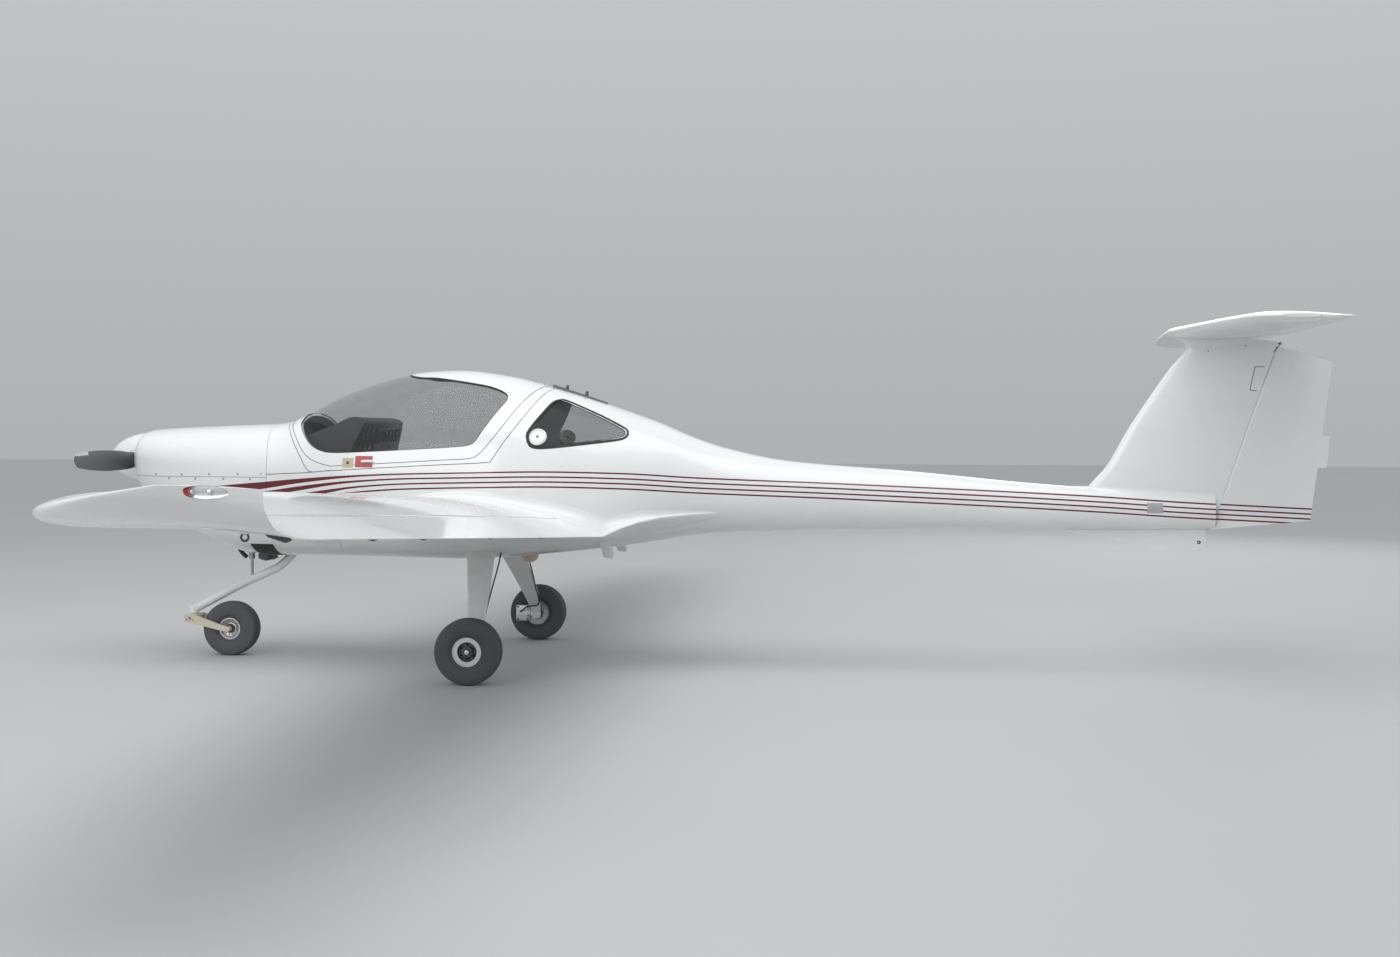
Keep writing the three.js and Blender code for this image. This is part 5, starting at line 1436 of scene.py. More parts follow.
def build_hinge_brackets(flap_line, aileron_line):
    """The dark brackets under the trailing edge that carry the flaps and the ailerons."""
    form = Form()
    for line, places in ((flap_line, (0.12, 0.5, 0.88)), (aileron_line, (0.2, 0.8))):
        for fraction in places:
            s = fraction * line.length
            radius = float(line.radius(s))
            outline = [(-0.085, -radius * 1.1), (-0.02, -radius - 0.004), (0.0, -radius - 0.022),
                       (-0.02, -radius - 0.030), (-0.075, -radius * 1.1 - 0.010)]
            x, n = np.array(outline).T
            width = np.array([-0.004, 0.004])[:, None]
            form.grid(line.place(s + width, x[None, :], n[None, :]), around=True, ends=True)
    both = form.join(form.mirrored())
    piece("hinge_brackets", both, "hub_dark", "airframe")


KEEL_HOLE = (2.868, 0, 0.742)


def build_tail():
    """The stabilizer, elevator, rudder with its trim tab, and the plate under the tail."""
    white = "gloss_white"
    line = elevator_hinge()
    stabilizer = solid_object("stabilizer_skin", tail_blade())
    worked(stabilizer, line.cove(-0.1, line.length + 0.1, 0.004, 0.012, 0.012, rows=39))
    finish(stabilizer, white, "airframe", ["stabilizer"])
    elevator = hinged_form(tail_skin, line, lambda s: elevator_fraction(s - ELEVATOR_HALF),
                           (0.0052, line.length - 0.0052), 1, rows=61)
    piece("elevator_skin", elevator, white, "elevator", ["elevator"])
    hinge = rudder_hinge()

    def blade(z, u, side):
        return fin_skin(z, u, -side)

    form = hinged_form(blade, hinge, rudder_fraction, (-0.02, hinge.length + 0.01), 2, rows=56)
    rudder = solid_object("rudder_skin", form)
    worked(rudder, slab(RUDDER_OUTLINE, -1, 1), "INTERSECT")
    finish(rudder, "striped_white", "rudder", ["rudder"])
    outline = smooth_outline([(3.500, 1.170), (3.571, 1.170), (3.584, 1.350), (3.500, 1.350)],
                             0.012)
    tab = slab(outline, -0.0018, 0.0018)
    for z in (1.190, 1.237, 1.284, 1.331):
        x = rudder_edge(z) + 0.009
        for side in (-1, 1):
            tab.join(lathe([(0.0034, 0.001), (0.0034, 0.0023), (0.0022, 0.0030), (0.0003, 0.0031)],
                           (x, 0, z), (0, side, 0), 14))
    piece("trim_tab", tab, white, "rudder")
    piece("fin_marks", both_sides(fin_marks), "seal_rubber", "airframe")
    plate = slab(smooth_outline(VENTRAL_FIN, 0.010), -0.007, 0.007, 0.003)
    ventral = solid_object("tail_keel", plate)
    worked(ventral, lathe([(0.009, -0.1), (0.009, 0.1)], KEEL_HOLE, (0, 1, 0), 24))
    finish(ventral, white, "airframe", ["ventral_fin"])
    grommet = lathe([(0.0052, -0.0076), (0.0105, -0.0076), (0.0105, 0.0076), (0.0052, 0.0076)],
                    KEEL_HOLE, (0, 1, 0), 24, closed=True)
    piece("keel_grommet", grommet, "seal_rubber", "airframe")


# The edge of the hinge's cover plate and the screws on the fin, x and z
COVER_EDGE = [(3.212, 1.742), (3.160, 1.742), (3.133, 1.610), (3.170, 1.606)]
NOTCH_EDGE = [(3.261, 1.825), (3.29, 1.858), (3.299, 1.882)]
FIN_SCREWS = [(2.900, 1.831), (3.104, 1.859)]


def fin_side(x, z):
    """The fin's half width at a station and a height."""
    lead, half = np.moveaxis(cubic(FIN, z), -1, 0)
    trail = rudder_edge(z)
    return 2 * half * half_thickness((x - lead) / (trail - lead))


def fin_marks(side):
    """Thin dark lines along the cover plate's edge and two screws, on one side of the fin."""
    form = Form()
    half = size_of("scribe") / 2
    steps = [*zip(COVER_EDGE, COVER_EDGE[1:]), *zip(NOTCH_EDGE, NOTCH_EDGE[1:])]
    for (x0, z0), (x1, z1) in steps:
        x, z = np.linspace(x0, x1, 9), np.linspace(z0, z1, 9)
        length = math.hypot(x1 - x0, z1 - z0)
        across = np.array([z0 - z1, 0, x1 - x0]) / length * half
        along = np.array([x1 - x0, 0, z1 - z0]) / length * half
        y = fin_side(x, z)
        outer = np.stack([x, side * (y + 0.0004), z], -1)
        outer[0] -= along
        outer[-1] += along
        inner = outer - [0, side * 0.002, 0]
        band = [outer - across, outer + across, inner + across, inner - across]
        form.grid(np.stack(band, 1), around=True, ends=True)
    for x, z in FIN_SCREWS:
        y = side * float(fin_side(np.array([x]), np.array([z]))[0])
        form.join(lathe([(0.0036, -0.002), (0.0036, 0.0005), (0.0020, 0.0011), (0.0003, 0.0011)],
                        (x, y, z), (0, side, 0), 14))
    return form


VENTRAL_FIN = [(2.134, 0.845), (2.134, 0.801), (2.698, 0.667), (2.921, 0.707), (2.897, 0.845)]


def smooth_outline(corners, radius, steps=5):
    """A closed outline whose corners are rounded: near each corner it follows a quadratic Bezier
    from one side to the next."""
    corners = np.array(corners, float)
    points = []
    for before, corner, after in zip(np.roll(corners, 1, 0), corners, np.roll(corners, -1, 0)):
        legs = []
        for other in (before, after):
            step = other - corner
            length = np.linalg.norm(step)
            legs.append(corner + step / length * min(radius, length / 2))
        t = np.linspace(0, 1, steps)[:, None]
        points.append(bend(legs[0], corner, legs[1], t))
    return np.concatenate(points)


# Propeller


SPINNER_BASE = 3.344


def spinner_radius(x):
    """The spinner's radius: R times the root of 1 - (1 - t)^1.75, where t runs from the tip to
    the base."""
    t = (np.asarray(x) + HALF_LENGTH) / (HALF_LENGTH - SPINNER_BASE)
    return 0.152 * np.sqrt(np.clip(1 - (1 - t) ** 1.75, 0, 1))


# r, chord, blade angle in degrees, thickness over chord
BLADE = np.array([
    [0.120, 0.080, 46, 0.60], [0.160, 0.096, 40, 0.34], [0.200, 0.110, 36, 0.2],
    [0.320, 0.124, 28, 0.15], [0.500, 0.126, 21, 0.11], [0.680, 0.112, 16, 0.09],
    [0.800, 0.092, 14, 0.08], [0.850, 0.074, 13.4, 0.08], [0.868, 0.056, 13, 0.08],
    [0.876, 0.034, 13, 0.08],
])
BLADE_X = -3.392


def blade_form():
    """The left blade: airfoils whose chord, angle and thickness follow the table, blended near
    the root into a round shank by a smooth step of the radius."""
    r = np.concatenate([np.linspace(0.105, 0.80, 44), np.linspace(0.80, 0.876, 16)[1:]])[:, None]
    chord, angle, thickness = np.moveaxis(cubic(BLADE, r[:, 0]), -1, 0)
    u = round_steps(22)
    u = np.concatenate([u[::-1], u[1:]])[None, :]
    side = np.concatenate([np.ones(22), -np.ones(21)])[None, :]
    chord, thickness = chord[:, None], thickness[:, None]
    turn = np.radians(angle)[:, None]
    along = (0.4 - u) * chord
    over = chord * (0.02 * 4 * u * (1 - u) + side * thickness * half_thickness(u))
    circle = np.arccos(np.clip(1 - 2 * u, -1, 1)) * side
    shank = 0.036
    t = np.clip((r - 0.115) / 0.075, 0, 1)
    t = t * t * (3 - 2 * t)
    along = (1 - t) * shank * np.cos(circle) + t * along
    over = (1 - t) * shank * np.sin(circle) + t * over
    sweep = 0.010 * np.clip((r - 0.80) / 0.076, 0, 1) ** 2
    along = along - sweep
    x = BLADE_X - along * np.sin(turn) - over * np.cos(turn)
    z = THRUST_Z + along * np.cos(turn) - over * np.sin(turn)
    return np.stack(np.broadcast_arrays(x, -r, z), -1)


def half_turned(points):
    """Points turned half round the propeller's shaft."""
    return (points - [0, 0, THRUST_Z]) * [1, -1, -1] + [0, 0, THRUST_Z]


def build_propeller():
    """The spinner with its bores and back plate, and the two blades with collars and tips."""
    x = -HALF_LENGTH + (HALF_LENGTH - SPINNER_BASE) * np.linspace(0, 1, 44) ** 2
    profile = [(max(float(r), 0.0003), float(a) - BLADE_X) for r, a in zip(spinner_radius(x), x)]
    groove = [(p, q) for p, q in profile if q < -0.060]
    edge = float(spinner_radius(-3.4525))
    groove += [(edge, -0.0605), (edge - 0.0012, -0.0600), (edge - 0.0012, -0.0588), (edge, -0.0583)]
    groove += [(p, q) for p, q in profile if q > -0.058]
    groove += [(0.1505, 0.0484), (0.148, 0.0496), (0.057, 0.0496)]
    groove += [(0.055, 0.0496 + 0.001), (0.055, 0.190)]
    cone = solid_object("spinner_cone", lathe(groove, (BLADE_X, 0, THRUST_Z), (1, 0, 0), 96))
    for y in (-1, 1):
        hole = [(0.046, 0.098), (0.046, 0.30)]
        worked(cone, lathe(hole, (BLADE_X, 0, THRUST_Z), (0, y, 0), 40))
    finish(cone, "gloss_white", "propeller", ["spinner"])
    grid = blade_form()
    blades = closed_form(grid)
    blades.grid(half_turned(grid), around=True, ends=True)
    pair = solid_object("propeller_blade_pair", blades)
    second_material(pair, pale_tip)
    finish(pair, ["blade_black", "tip_pale"], "propeller",
           ["propeller_blades"])
    collars = Form()
    for y in (-1, 1):
        profile = [(0.030, 0.095), (0.0445, 0.100), (0.0445, 0.138), (0.042, 0.142),
                   (0.0385, 0.143), (0.0375, 0.150), (0.030, 0.150)]
        collars.join(lathe(profile, (BLADE_X, 0, THRUST_Z), (0, y, 0), 40, closed=True))
    piece("blade_collars", collars, "gloss_white", "propeller")


def pale_tip(x, y, z):
    """The blade's leading edge guard near the tip: the part ahead of a slanted line."""
    lead = np.where(y < 0, z - THRUST_Z, THRUST_Z - z)
    return (np.abs(y) > 0.70) & (lead > 0.022 - 0.02 * (np.abs(y) - 0.70))


# Wheels and landing gear


def tyre_profile(radius, width, rim, grooves, depth):
    """A tyre's ring. Over a quarter angle a, each wall stands at half the width times 0.8 plus 0.2
    times the sine of 2 a, and runs from the bead to the crowned, grooved tread."""
    half = width / 2
    twice = np.linspace(0, HALF_TURN, 26)
    low, high = rim + 0.020, radius - 0.004
    middle = low + 0.56 * (high - low)
    cosine = np.cos(twice)
    reach = np.where(cosine > 0, middle - low, high - middle)
    wall_r = middle - np.sign(cosine) * np.abs(cosine) ** 1.1 * reach
    wall_w = half * (0.80 + 0.20 * np.maximum(np.sin(twice), 0) ** 0.9)
    bead = [(rim + 0.0005, half * 0.60), (rim + 0.004, half * 0.66), (rim + 0.012, half * 0.74)]
    wall = bead + list(zip(wall_r.tolist(), wall_w.tolist()))
    tread = tread_line(radius, half * 0.76, grooves, depth)
    return [(r, -w) for r, w in wall] + tread + wall[::-1]


def tread_line(radius, half, grooves, depth):
    """The tread from one shoulder to the other: crowned by 4 mm, with the grooves cut in."""
    def crown(w):
        return radius - 0.004 * (w / half) ** 2
    line = []
    for place in np.linspace(-1, 1, grooves + 2)[1:-1]:
        w = place * half
        line += [(crown(w - 0.0042), w - 0.0042), (crown(w) - depth, w - 0.0030),
                 (crown(w) - depth, w + 0.0030), (crown(w + 0.0042), w + 0.0042)]
    return line


# Faces of the rims, from the bore out: radius, and offset as a share of half the width
MAIN_FACE = [(0.016, 0.58), (0.024, 0.60), (0.030, 0.56), (0.034, 0.36), (0.049, 0.32),
             (0.0515, 0.36), (0.0525, 0.60), (0.055, 0.63), (0.071, 0.63)]
NOSE_FACE = [(0.016, 0.58), (0.022, 0.60), (0.026, 0.54), (0.029, 0.44), (0.033, 0.40),
             (0.047, 0.44), (0.050, 0.48), (0.053, 0.58), (0.057, 0.62)]


def wheel_pieces(name, centre, radius, width, rim, out, body, face, dark, holes):
    """A tyre, its dished rim with holes, and the nuts of its axle. out is the side of the nut, or
    0 for both, dark the radius inside which the rim is dark, and holes gives the holes' number,
    the radius of their circle, their own radius and their stretch towards the rim."""
    tyre = lathe(tyre_profile(radius, width, rim, 4, size_of("tread")), centre, (0, 1, 0), 96,
                 closed=True)
    piece(name + "_tread_tyre", tyre, "tyre_rubber", body,
          [name + "_tyre"], crease=38)
    half = width / 2
    side = [(r, -half * share) for r, share in face]
    side += [(rim - 0.001, -half * 0.70), (rim + 0.005, -half * 0.70), (rim + 0.005, -half * 0.66),
             (rim, -half * 0.62), (rim - 0.001, -half * 0.5)]
    ring = side + [(r, -w) for r, w in reversed(side)]
    dish = solid_object(name + "_dish", lathe(ring, centre, (0, 1, 0), 84, closed=True))
    count, circle, own, stretch = holes
    cutters = Form()
    turn = full_turn(16)
    for k in range(count):
        angle = 2 * HALF_TURN * (k + 0.5) / count
        out_x, out_z = math.cos(angle), math.sin(angle)
        far, wide = own * stretch * np.cos(turn), own * np.sin(turn)
        x = centre[0] + (circle + far) * out_x - wide * out_z
        z = centre[2] + (circle + far) * out_z + wide * out_x
        ends = np.array([centre[1] - half, centre[1] + half])[:, None]
        bore = np.stack(np.broadcast_arrays(x[None], ends, z[None]), -1)
        cutters.grid(bore, around=True, ends=True)
    worked(dish, cutters)
    second_material(dish, lambda x, y, z: np.hypot(x - centre[0], z - centre[2]) < dark)
    finish(dish, ["wheel_alloy", "hub_dark"], body,
           [name + "_rim"])
    nuts, caps = Form(), Form()
    for sign in (-1, 1) if out == 0 else (out,):
        spot = np.array(centre) + [0, half * 0.60 * sign, 0]
        caps.join(lathe([(0.0180, -0.003), (0.0180, 0.003), (0.0165, 0.004), (0.0165, 0.0076),
                         (0.0150, 0.0086), (0.0004, 0.0086)], spot, (0, sign, 0), 12))
        nuts.join(lathe([(0.0062, 0.006), (0.0062, 0.0090), (0.0050, 0.0094), (0.0004, 0.0094)],
                        spot, (0, sign, 0), 6))
    piece(name + "_caps", caps, "hub_dark", body)
    angle = -0.9
    valve = np.array(centre) + [0.040 * math.cos(angle), half * 0.30 * (out or -1),
                                0.040 * math.sin(angle)]
    nuts.join(lathe([(0.0042, -0.004), (0.0042, 0.008), (0.0030, 0.009), (0.0030, 0.015),
                     (0.0020, 0.016), (0.0003, 0.016)], valve, (0, out or -1, 0), 12))
    piece(name + "_nuts", nuts, "polished", body)


# y, z, x of the middle, chord and thickness of the main leg
LEG = millimetres([
    [330, 690, -1228, 170, 34], [560, 485, -1185, 132, 28], [760, 300, -1155, 92, 22],
    [838, 205, -1146, 64, 20], [856, 150, -1146, 50, 18],
], 5)


def leg_form():
    """The right main leg: superellipse sections, chord by thickness, square to a smooth line."""
    rows = smooth_path(LEG, 46)
    step = unit_rows(np.gradient(rows[:, :2], axis=0))
    angle = full_turn(36)[None, :]
    c, s = np.cos(angle), np.sin(angle)
    x = rows[:, 2:3] + rows[:, 3:4] / 2 * np.sign(c) * np.abs(c) ** 0.9
    n = rows[:, 4:5] / 2 * np.sign(s) * np.abs(s) ** 0.75
    y = rows[:, 0:1] - step[:, 1:2] * n
    z = rows[:, 1:2] + step[:, 0:1] * n
    return closed_form(np.stack([x, y, z], -1))


def build_main_gear():
    """The two sprung legs with axles, brakes and hoses, and the main wheels."""
    leg = leg_form()
    leg.join(lathe([(0.034, 0.852), (0.034, 0.872), (0.031, 0.876), (0.0153, 0.876),
                    (0.0153, 0.994), (0.012, 0.9965)], (AXLE_X, 0, HUB_Z), (0, 1, 0), 36))
    for k in range(4):
        angle = HALF_TURN / 4 + HALF_TURN / 2 * k
        spot = (AXLE_X + 0.0255 * math.cos(angle), 0.838, HUB_Z + 0.0255 * math.sin(angle))
        leg.join(lathe([(0.0055, 0.0), (0.0055, 0.006), (0.004, 0.008), (0.0004, 0.008)], spot,
                       (0, -1, 0), 6))
    caliper = Form()
    x0, x1 = AXLE_X - 0.132, AXLE_X - 0.042
    caliper.join(box_form((x0, 0.8625, HUB_Z - 0.0518), (x1, 0.8805, HUB_Z + 0.0518), 0.010))
    caliper.join(box_form((x1 - 0.01, 0.8622, HUB_Z - 0.022),
                          (AXLE_X - 0.036, 0.870, HUB_Z + 0.022), 0.004))
    bolts = Form()
    for x in (x0 + 0.013, x1 - 0.013):
        for z in (-0.040, 0.040):
            bolts.join(lathe([(0.0065, -0.002), (0.0065, 0.004), (0.005, 0.0055), (0.0004, 0.0056)],
                             (x, 0.8625, HUB_Z + z), (0, -1, 0), 6))
    for z in (-0.017, 0.017):
        bolts.join(lathe([(0.005, -0.002), (0.005, 0.005), (0.004, 0.006), (0.0004, 0.006)],
                         (x1 - 0.010, 0.8625, HUB_Z + z), (0, -1, 0), 6))
    bolts.join(lathe([(0.0075, -0.002), (0.0075, 0.008), (0.005, 0.012), (0.0004, 0.012)],
                     ((x0 + x1) / 2 - 0.012, 0.8625, HUB_Z + 0.012), (0, -1, 0), 18))
    disc = lathe([(0.040, -0.003), (0.074, -0.003), (0.074, 0.003), (0.040, 0.003)],
                 (AXLE_X, 0.8875, HUB_Z), (0, 1, 0), 64, closed=True)
    hose_line = smooth_path([
        [-1.108, 0.335, 0.672], [-1.109, 0.420, 0.588], [-1.112, 0.560, 0.476],
        [-1.115, 0.700, 0.350], [-1.110, 0.776, 0.272], [-1.124, 0.784, 0.240],
        [-1.160, 0.787, 0.234], [-1.200, 0.800, 0.226], [-1.226, 0.838, 0.206],
        [-1.2365, 0.857, 0.193],
    ], 60)
    hose = tube(hose_line, size_of("hose"), 10)
    for side, sign in (("left", -1), ("right", 1)):
        def turn(form):
            return form.mirrored() if sign < 0 else form
        piece("main_leg_" + side + "_spring", turn(leg), "leg_white", "airframe",
              ["main_leg_" + side], crease=40)
        piece("caliper_" + side, turn(caliper), "wheel_alloy", "airframe",
              ["brake_" + side])
        piece("caliper_bolts_" + side, turn(bolts), "hub_dark", "airframe")
        piece("brake_hose_" + side, turn(hose), "hose_black", "airframe")
        body = "main_wheel_" + side
        piece("brake_disc_" + side, turn(disc), "bare_steel", body)
        wheel_pieces(body, (AXLE_X, sign * TRACK_HALF, HUB_Z), 0.1798, 0.1255, 0.0735, sign, body,
                     MAIN_FACE, 0.0523, (6, 0.0415, 0.0050, 1.3))


def build_nose_gear():
    """The bent nose tube with its caster barrel, the sprung strut, the fork and the wheel."""
    bend_at = smooth_path([[-2.375, 0, 0.703], [-2.430, 0, 0.651], [-2.505, 0, 0.576],
                           [-2.556, 0, 0.534], [-2.62, 0, 0.505], [-2.80, 0, 0.4215],
                           [-3.04, 0, 0.2955], [-3.085, 0, 0.272]], 60)
    leg = tube(bend_at, 0.025, 32)
    leg.join(lathe([(0.020, 0.2475), (0.028, 0.2475), (0.030, 0.250), (0.030, 0.290),
                    (0.0285, 0.294), (0.022, 0.2965), (0.018, 0.298), (0.0004, 0.298)],
                   (CASTER_X, 0, 0), (0, 0, 1), 36))
    piece("nose_tube", leg, "leg_white", "airframe", ["nose_leg"])
    strut = lathe([(0.009, 0.452), (0.009, 0.585), (0.0165, 0.5855), (0.018, 0.588), (0.018, 0.605),
                   (0.0155, 0.607), (0.0155, 0.611), (0.018, 0.613), (0.018, 0.630),
                   (0.0155, 0.632), (0.0155, 0.636), (0.018, 0.638), (0.018, 0.6435),
                   (0.0165, 0.6448), (0.009, 0.645), (0.009, 0.69)], (-2.719, 0, 0), (0, 0, 1), 36)
    piece("nose_spring", strut, "bare_steel", "airframe", ["nose_strut"])
    fork = Form()
    outline = smooth_outline([
        (-3.117, 0.2467), (-3.117, 0.205), (-2.860, 0.1466), (-2.828, 0.1500), (-2.828, 0.1752),
        (-2.860, 0.1786), (-3.053, 0.2467)], 0.010)
    for side in (-1, 1):
        y0, y1 = sorted((side * 0.065, side * 0.074))
        fork.join(slab(outline, y0, y1, 0.002))
    fork.join(box_form((-3.1165, -0.0722, 0.2055), (-3.0535, 0.0722, 0.2465), 0.010))
    hub = (NOSE_AXLE_X, 0, NOSE_HUB_Z)
    fork.join(lathe([(0.0153, -0.082), (0.0153, 0.082)], hub, (0, 1, 0), 24))
    for side in (-1, 1):
        fork.join(lathe([(0.0165, 0.0735), (0.0165, 0.080), (0.0145, 0.084), (0.009, 0.086),
                         (0.0004, 0.086)], hub, (0, side, 0), 24))
    piece("caster_fork", fork, "fork_cream", "nose_fork", ["nose_fork"])
    pins = Form()
    for side in (-1, 1):
        for x, z, radius in ((-3.082, 0.2255, 0.0075), (-3.101, 0.2185, 0.004),
                             (-3.062, 0.213, 0.004)):
            pins.join(lathe([(radius, -0.004), (radius, 0.0012), (radius * 0.8, 0.0022),
                             (radius * 0.35, 0.0022), (0.0004, 0.0012)], (x, side * 0.074, z),
                            (0, side, 0), 18))
    piece("fork_pins", pins, "exhaust_steel", "nose_fork")
    wheel_pieces("nose_wheel", hub, 0.1638, 0.1175, 0.0600, 0,
                 "nose_wheel", NOSE_FACE, 0.0275, (12, 0.0395, 0.0036, 1.9))


# Cabin


def rounded_pad(line, half_widths, half_depths, channels, columns=56):
    """A stuffed pad along a side view line: sections are superellipses square to the line, full in
    the middle, drawn in towards both ends by (1 - |2u - 1|^4)^(1/4), with shallow sewn channels."""
    rows = 44
    path = smooth_path(line, rows)
    step = unit_rows(np.gradient(path, axis=0))
    normal = np.stack([-step[:, 1], step[:, 0]], -1)
    u = np.linspace(0, 1, rows)
    full = np.maximum(1 - np.abs(2 * u - 1) ** 4, 0.0008) ** 0.25
    place = np.linspace(0, 1, len(half_widths))
    width = np.interp(u, place, half_widths) * (0.90 + 0.10 * full) * full**0.5
    depth = np.interp(u, place, half_depths) * full
    angle = full_turn(columns)[None, :]
    c, s = np.cos(angle), np.sin(angle)
    y = width[:, None] * np.sign(c) * np.abs(c) ** 0.55
    crown = 1 - 0.18 * (y / width[:, None]) ** 2
    groove = sum(np.exp(-((y / width[:, None] - at) / 0.035) ** 2) for at in channels)
    n = depth[:, None] * np.sign(s) * np.abs(s) ** 0.8 * crown * (1 - 0.16 * groove * (s > 0))
    x = path[:, 0:1] + normal[:, 0:1] * n
    z = path[:, 1:2] + normal[:, 1:2] * n
    return np.stack([x, y, z], -1)


SEAT_Y = 0.2575


def build_seats():
    """Two seats: a moulded shell, a crowned seat cushion and a back cushion, and the shoulder
    straps.
    """
    shell_side = smooth_outline([(-1.640, 0.655), (-1.650, 0.800), (-1.30, 0.752), (-1.215, 0.780),
                                 (-1.000, 1.195), (-0.960, 1.190), (-1.130, 0.800),
                                 (-1.140, 0.690)], 0.03)
    for side, sign in (("left", -1), ("right", 1)):
        middle = sign * SEAT_Y
        y0, y1 = sorted((sign * 0.062, sign * 0.440))
        shell = solid_object("seat_shell_" + side, slab(shell_side, y0, y1, 0.010))
        worked(shell, body_form(-0.026, -2.0, -0.6, 30, 64), "INTERSECT")
        finish(shell, "grey_plastic", "airframe", ["seat_" + side])
        base = rounded_pad([[-1.655, 0.826], [-1.50, 0.838], [-1.35, 0.812], [-1.205, 0.792]],
                           [0.195, 0.205, 0.200], [0.028, 0.034, 0.036], (-0.5, 0, 0.5))
        back = rounded_pad([[-1.240, 0.820], [-1.165, 0.935], [-1.075, 1.085], [-0.992, 1.222]],
                           [0.190, 0.205, 0.180], [0.026, 0.030, 0.026], (-0.5, 0, 0.5))
        for name, grid in (("base", base), ("back", back)):
            cushion = piece(f"seat_{name}_cushion_{side}",
                            closed_form(grid + [0, middle, 0]),
                            "seat_leather", "airframe", crease=60)
    belts = Form()
    for sign in (-1, 1):
        for offset in (-0.08, 0.08):
            line = smooth_path([[-1.265, 0.842], [-1.205, 0.930], [-1.105, 1.095], [-1.012, 1.240],
                                [-0.965, 1.246]], 30)
            y = sign * SEAT_Y + offset
            step = unit_rows(np.gradient(line, axis=0))
            normal = np.stack([-step[:, 1], 0 * step[:, 0], step[:, 0]], -1)
            middle_line = np.stack([line[:, 0], np.full(30, y), line[:, 1]], -1) + 0.016 * normal
            across = np.array([0, size_of("strap") / 2, 0])
            thick = 0.002 * normal
            band = [middle_line - across, middle_line + across, middle_line + across + thick,
                    middle_line - across + thick]
            belts.grid(np.stack(band, 1), around=True, ends=True)
    piece("shoulder_straps", belts, "carpet", "airframe")


PANEL_SIDE = [(-2.250, 1.330), (-2.085, 1.395), (-2.000, 1.440), (-1.935, 1.440), (-1.893, 1.418),
              (-1.948, 1.260), (-1.975, 1.010), (-2.040, 1.010), (-2.120, 1.180), (-2.250, 1.180)]
# y, distance down the panel's face, radius of each dial
DIALS = [(-0.33, 0.07, 0.038), (-0.24, 0.07, 0.038), (-0.15, 0.07, 0.038), (-0.33, 0.16, 0.038),
         (-0.24, 0.16, 0.038), (-0.15, 0.16, 0.038), (0.12, 0.06, 0.027), (0.19, 0.06, 0.027),
         (0.26, 0.06, 0.027), (0.33, 0.06, 0.027), (0.22, 0.13, 0.027), (0.29, 0.13, 0.027)]


def build_panel():
    """The instrument panel with its hood, dials, radio stack and switches."""
    hood = solid_object("panel_hood", slab(smooth_outline(PANEL_SIDE, 0.02), -0.475, 0.475, 0.012))
    worked(hood, body_form(-0.050, -2.42, -1.5, 40, 96), "INTERSECT")
    foot = solid_object("panel_foot", slab(
        [(-2.2, 1.12), (-2.2, 1.18), (-1.89, 1.18), (-1.9, 1.12)], -0.6, 0.6))
    worked(foot, body_form(-0.0215, -2.42, -1.5, 40, 96), "INTERSECT")
    finish(hood, "panel_black", "airframe", ["instrument_panel"])
    finish(foot, "black_plastic", "airframe", ["instrument_panel"])
    top, low = np.array([-1.897, 0, 1.406]), np.array([-1.948, 0, 1.260])
    down = (low - top) / np.linalg.norm(low - top)
    out = np.array([-down[2], 0, down[0]])
    out = out if out[0] > 0 else -out
    bezels, faces, marks = Form(), Form(), Form()
    for y, drop, radius in DIALS:
        centre = top + down * drop + [0, y, 0]
        bezels.join(lathe([(radius, -0.004), (radius, 0.005), (radius - 0.002, 0.007),
                           (radius - 0.006, 0.004), (radius - 0.006, -0.004)], centre, out, 40,
                          closed=True))
        faces.join(lathe([(radius - 0.0055, -0.002), (radius - 0.0055, 0.0015), (0.0004, 0.0015)],
                         centre, out, 32))
        for k in range(12):
            angle = 2 * HALF_TURN * k / 12
            spoke = math.cos(angle) * np.array([0, 1, 0]) + math.sin(angle) * down
            side = np.cross(out, spoke)
            inner, outer = centre + spoke * (radius - 0.013), centre + spoke * (radius - 0.0075)
            marks.add(bar_points(inner + out * 0.0014, outer + out * 0.0014, side * 0.0007,
                                 out * 0.0009), BAR_FACES)
        angle = 2.2 * y * 7 + drop * 9
        spoke = math.cos(angle) * np.array([0, 1, 0]) + math.sin(angle) * down
        side = np.cross(out, spoke)
        marks.add(bar_points(centre - spoke * 0.006 + out * 0.0016,
                             centre + spoke * (radius - 0.012) + out * 0.0016,
                             side * 0.0009, out * 0.0012), BAR_FACES)
    piece("dial_bezels", bezels, "black_plastic", "airframe")
    piece("dial_faces", faces, "dial_face", "airframe")
    piece("dial_marks", marks, "dial_marks", "airframe", crease=20)
    radios = Form()
    for k in range(4):
        a, b = top + down * (0.035 + 0.047 * k), top + down * (0.075 + 0.047 * k)
        corners = []
        for base in (a, b):
            corners += [base + [0, -0.085, 0] - out * 0.01, base + [0, 0.075, 0] - out * 0.01,
                        base + [0, 0.075, 0] + out * 0.004, base + [0, -0.085, 0] + out * 0.004]
        radios.add(corners, BAR_FACES)
        for y in (-0.074, 0.064):
            radios.join(lathe([(0.008, 0.003), (0.008, 0.012), (0.006, 0.014), (0.0004, 0.014)],
                              (a + b) / 2 + [0, y, 0], out, 18))
    piece("radio_stack", radios, "black_plastic", "airframe")


BAR_FACES = [[0, 1, 2, 3], [7, 6, 5, 4], [0, 4, 5, 1], [1, 5, 6, 2], [2, 6, 7, 3], [3, 7, 4, 0]]


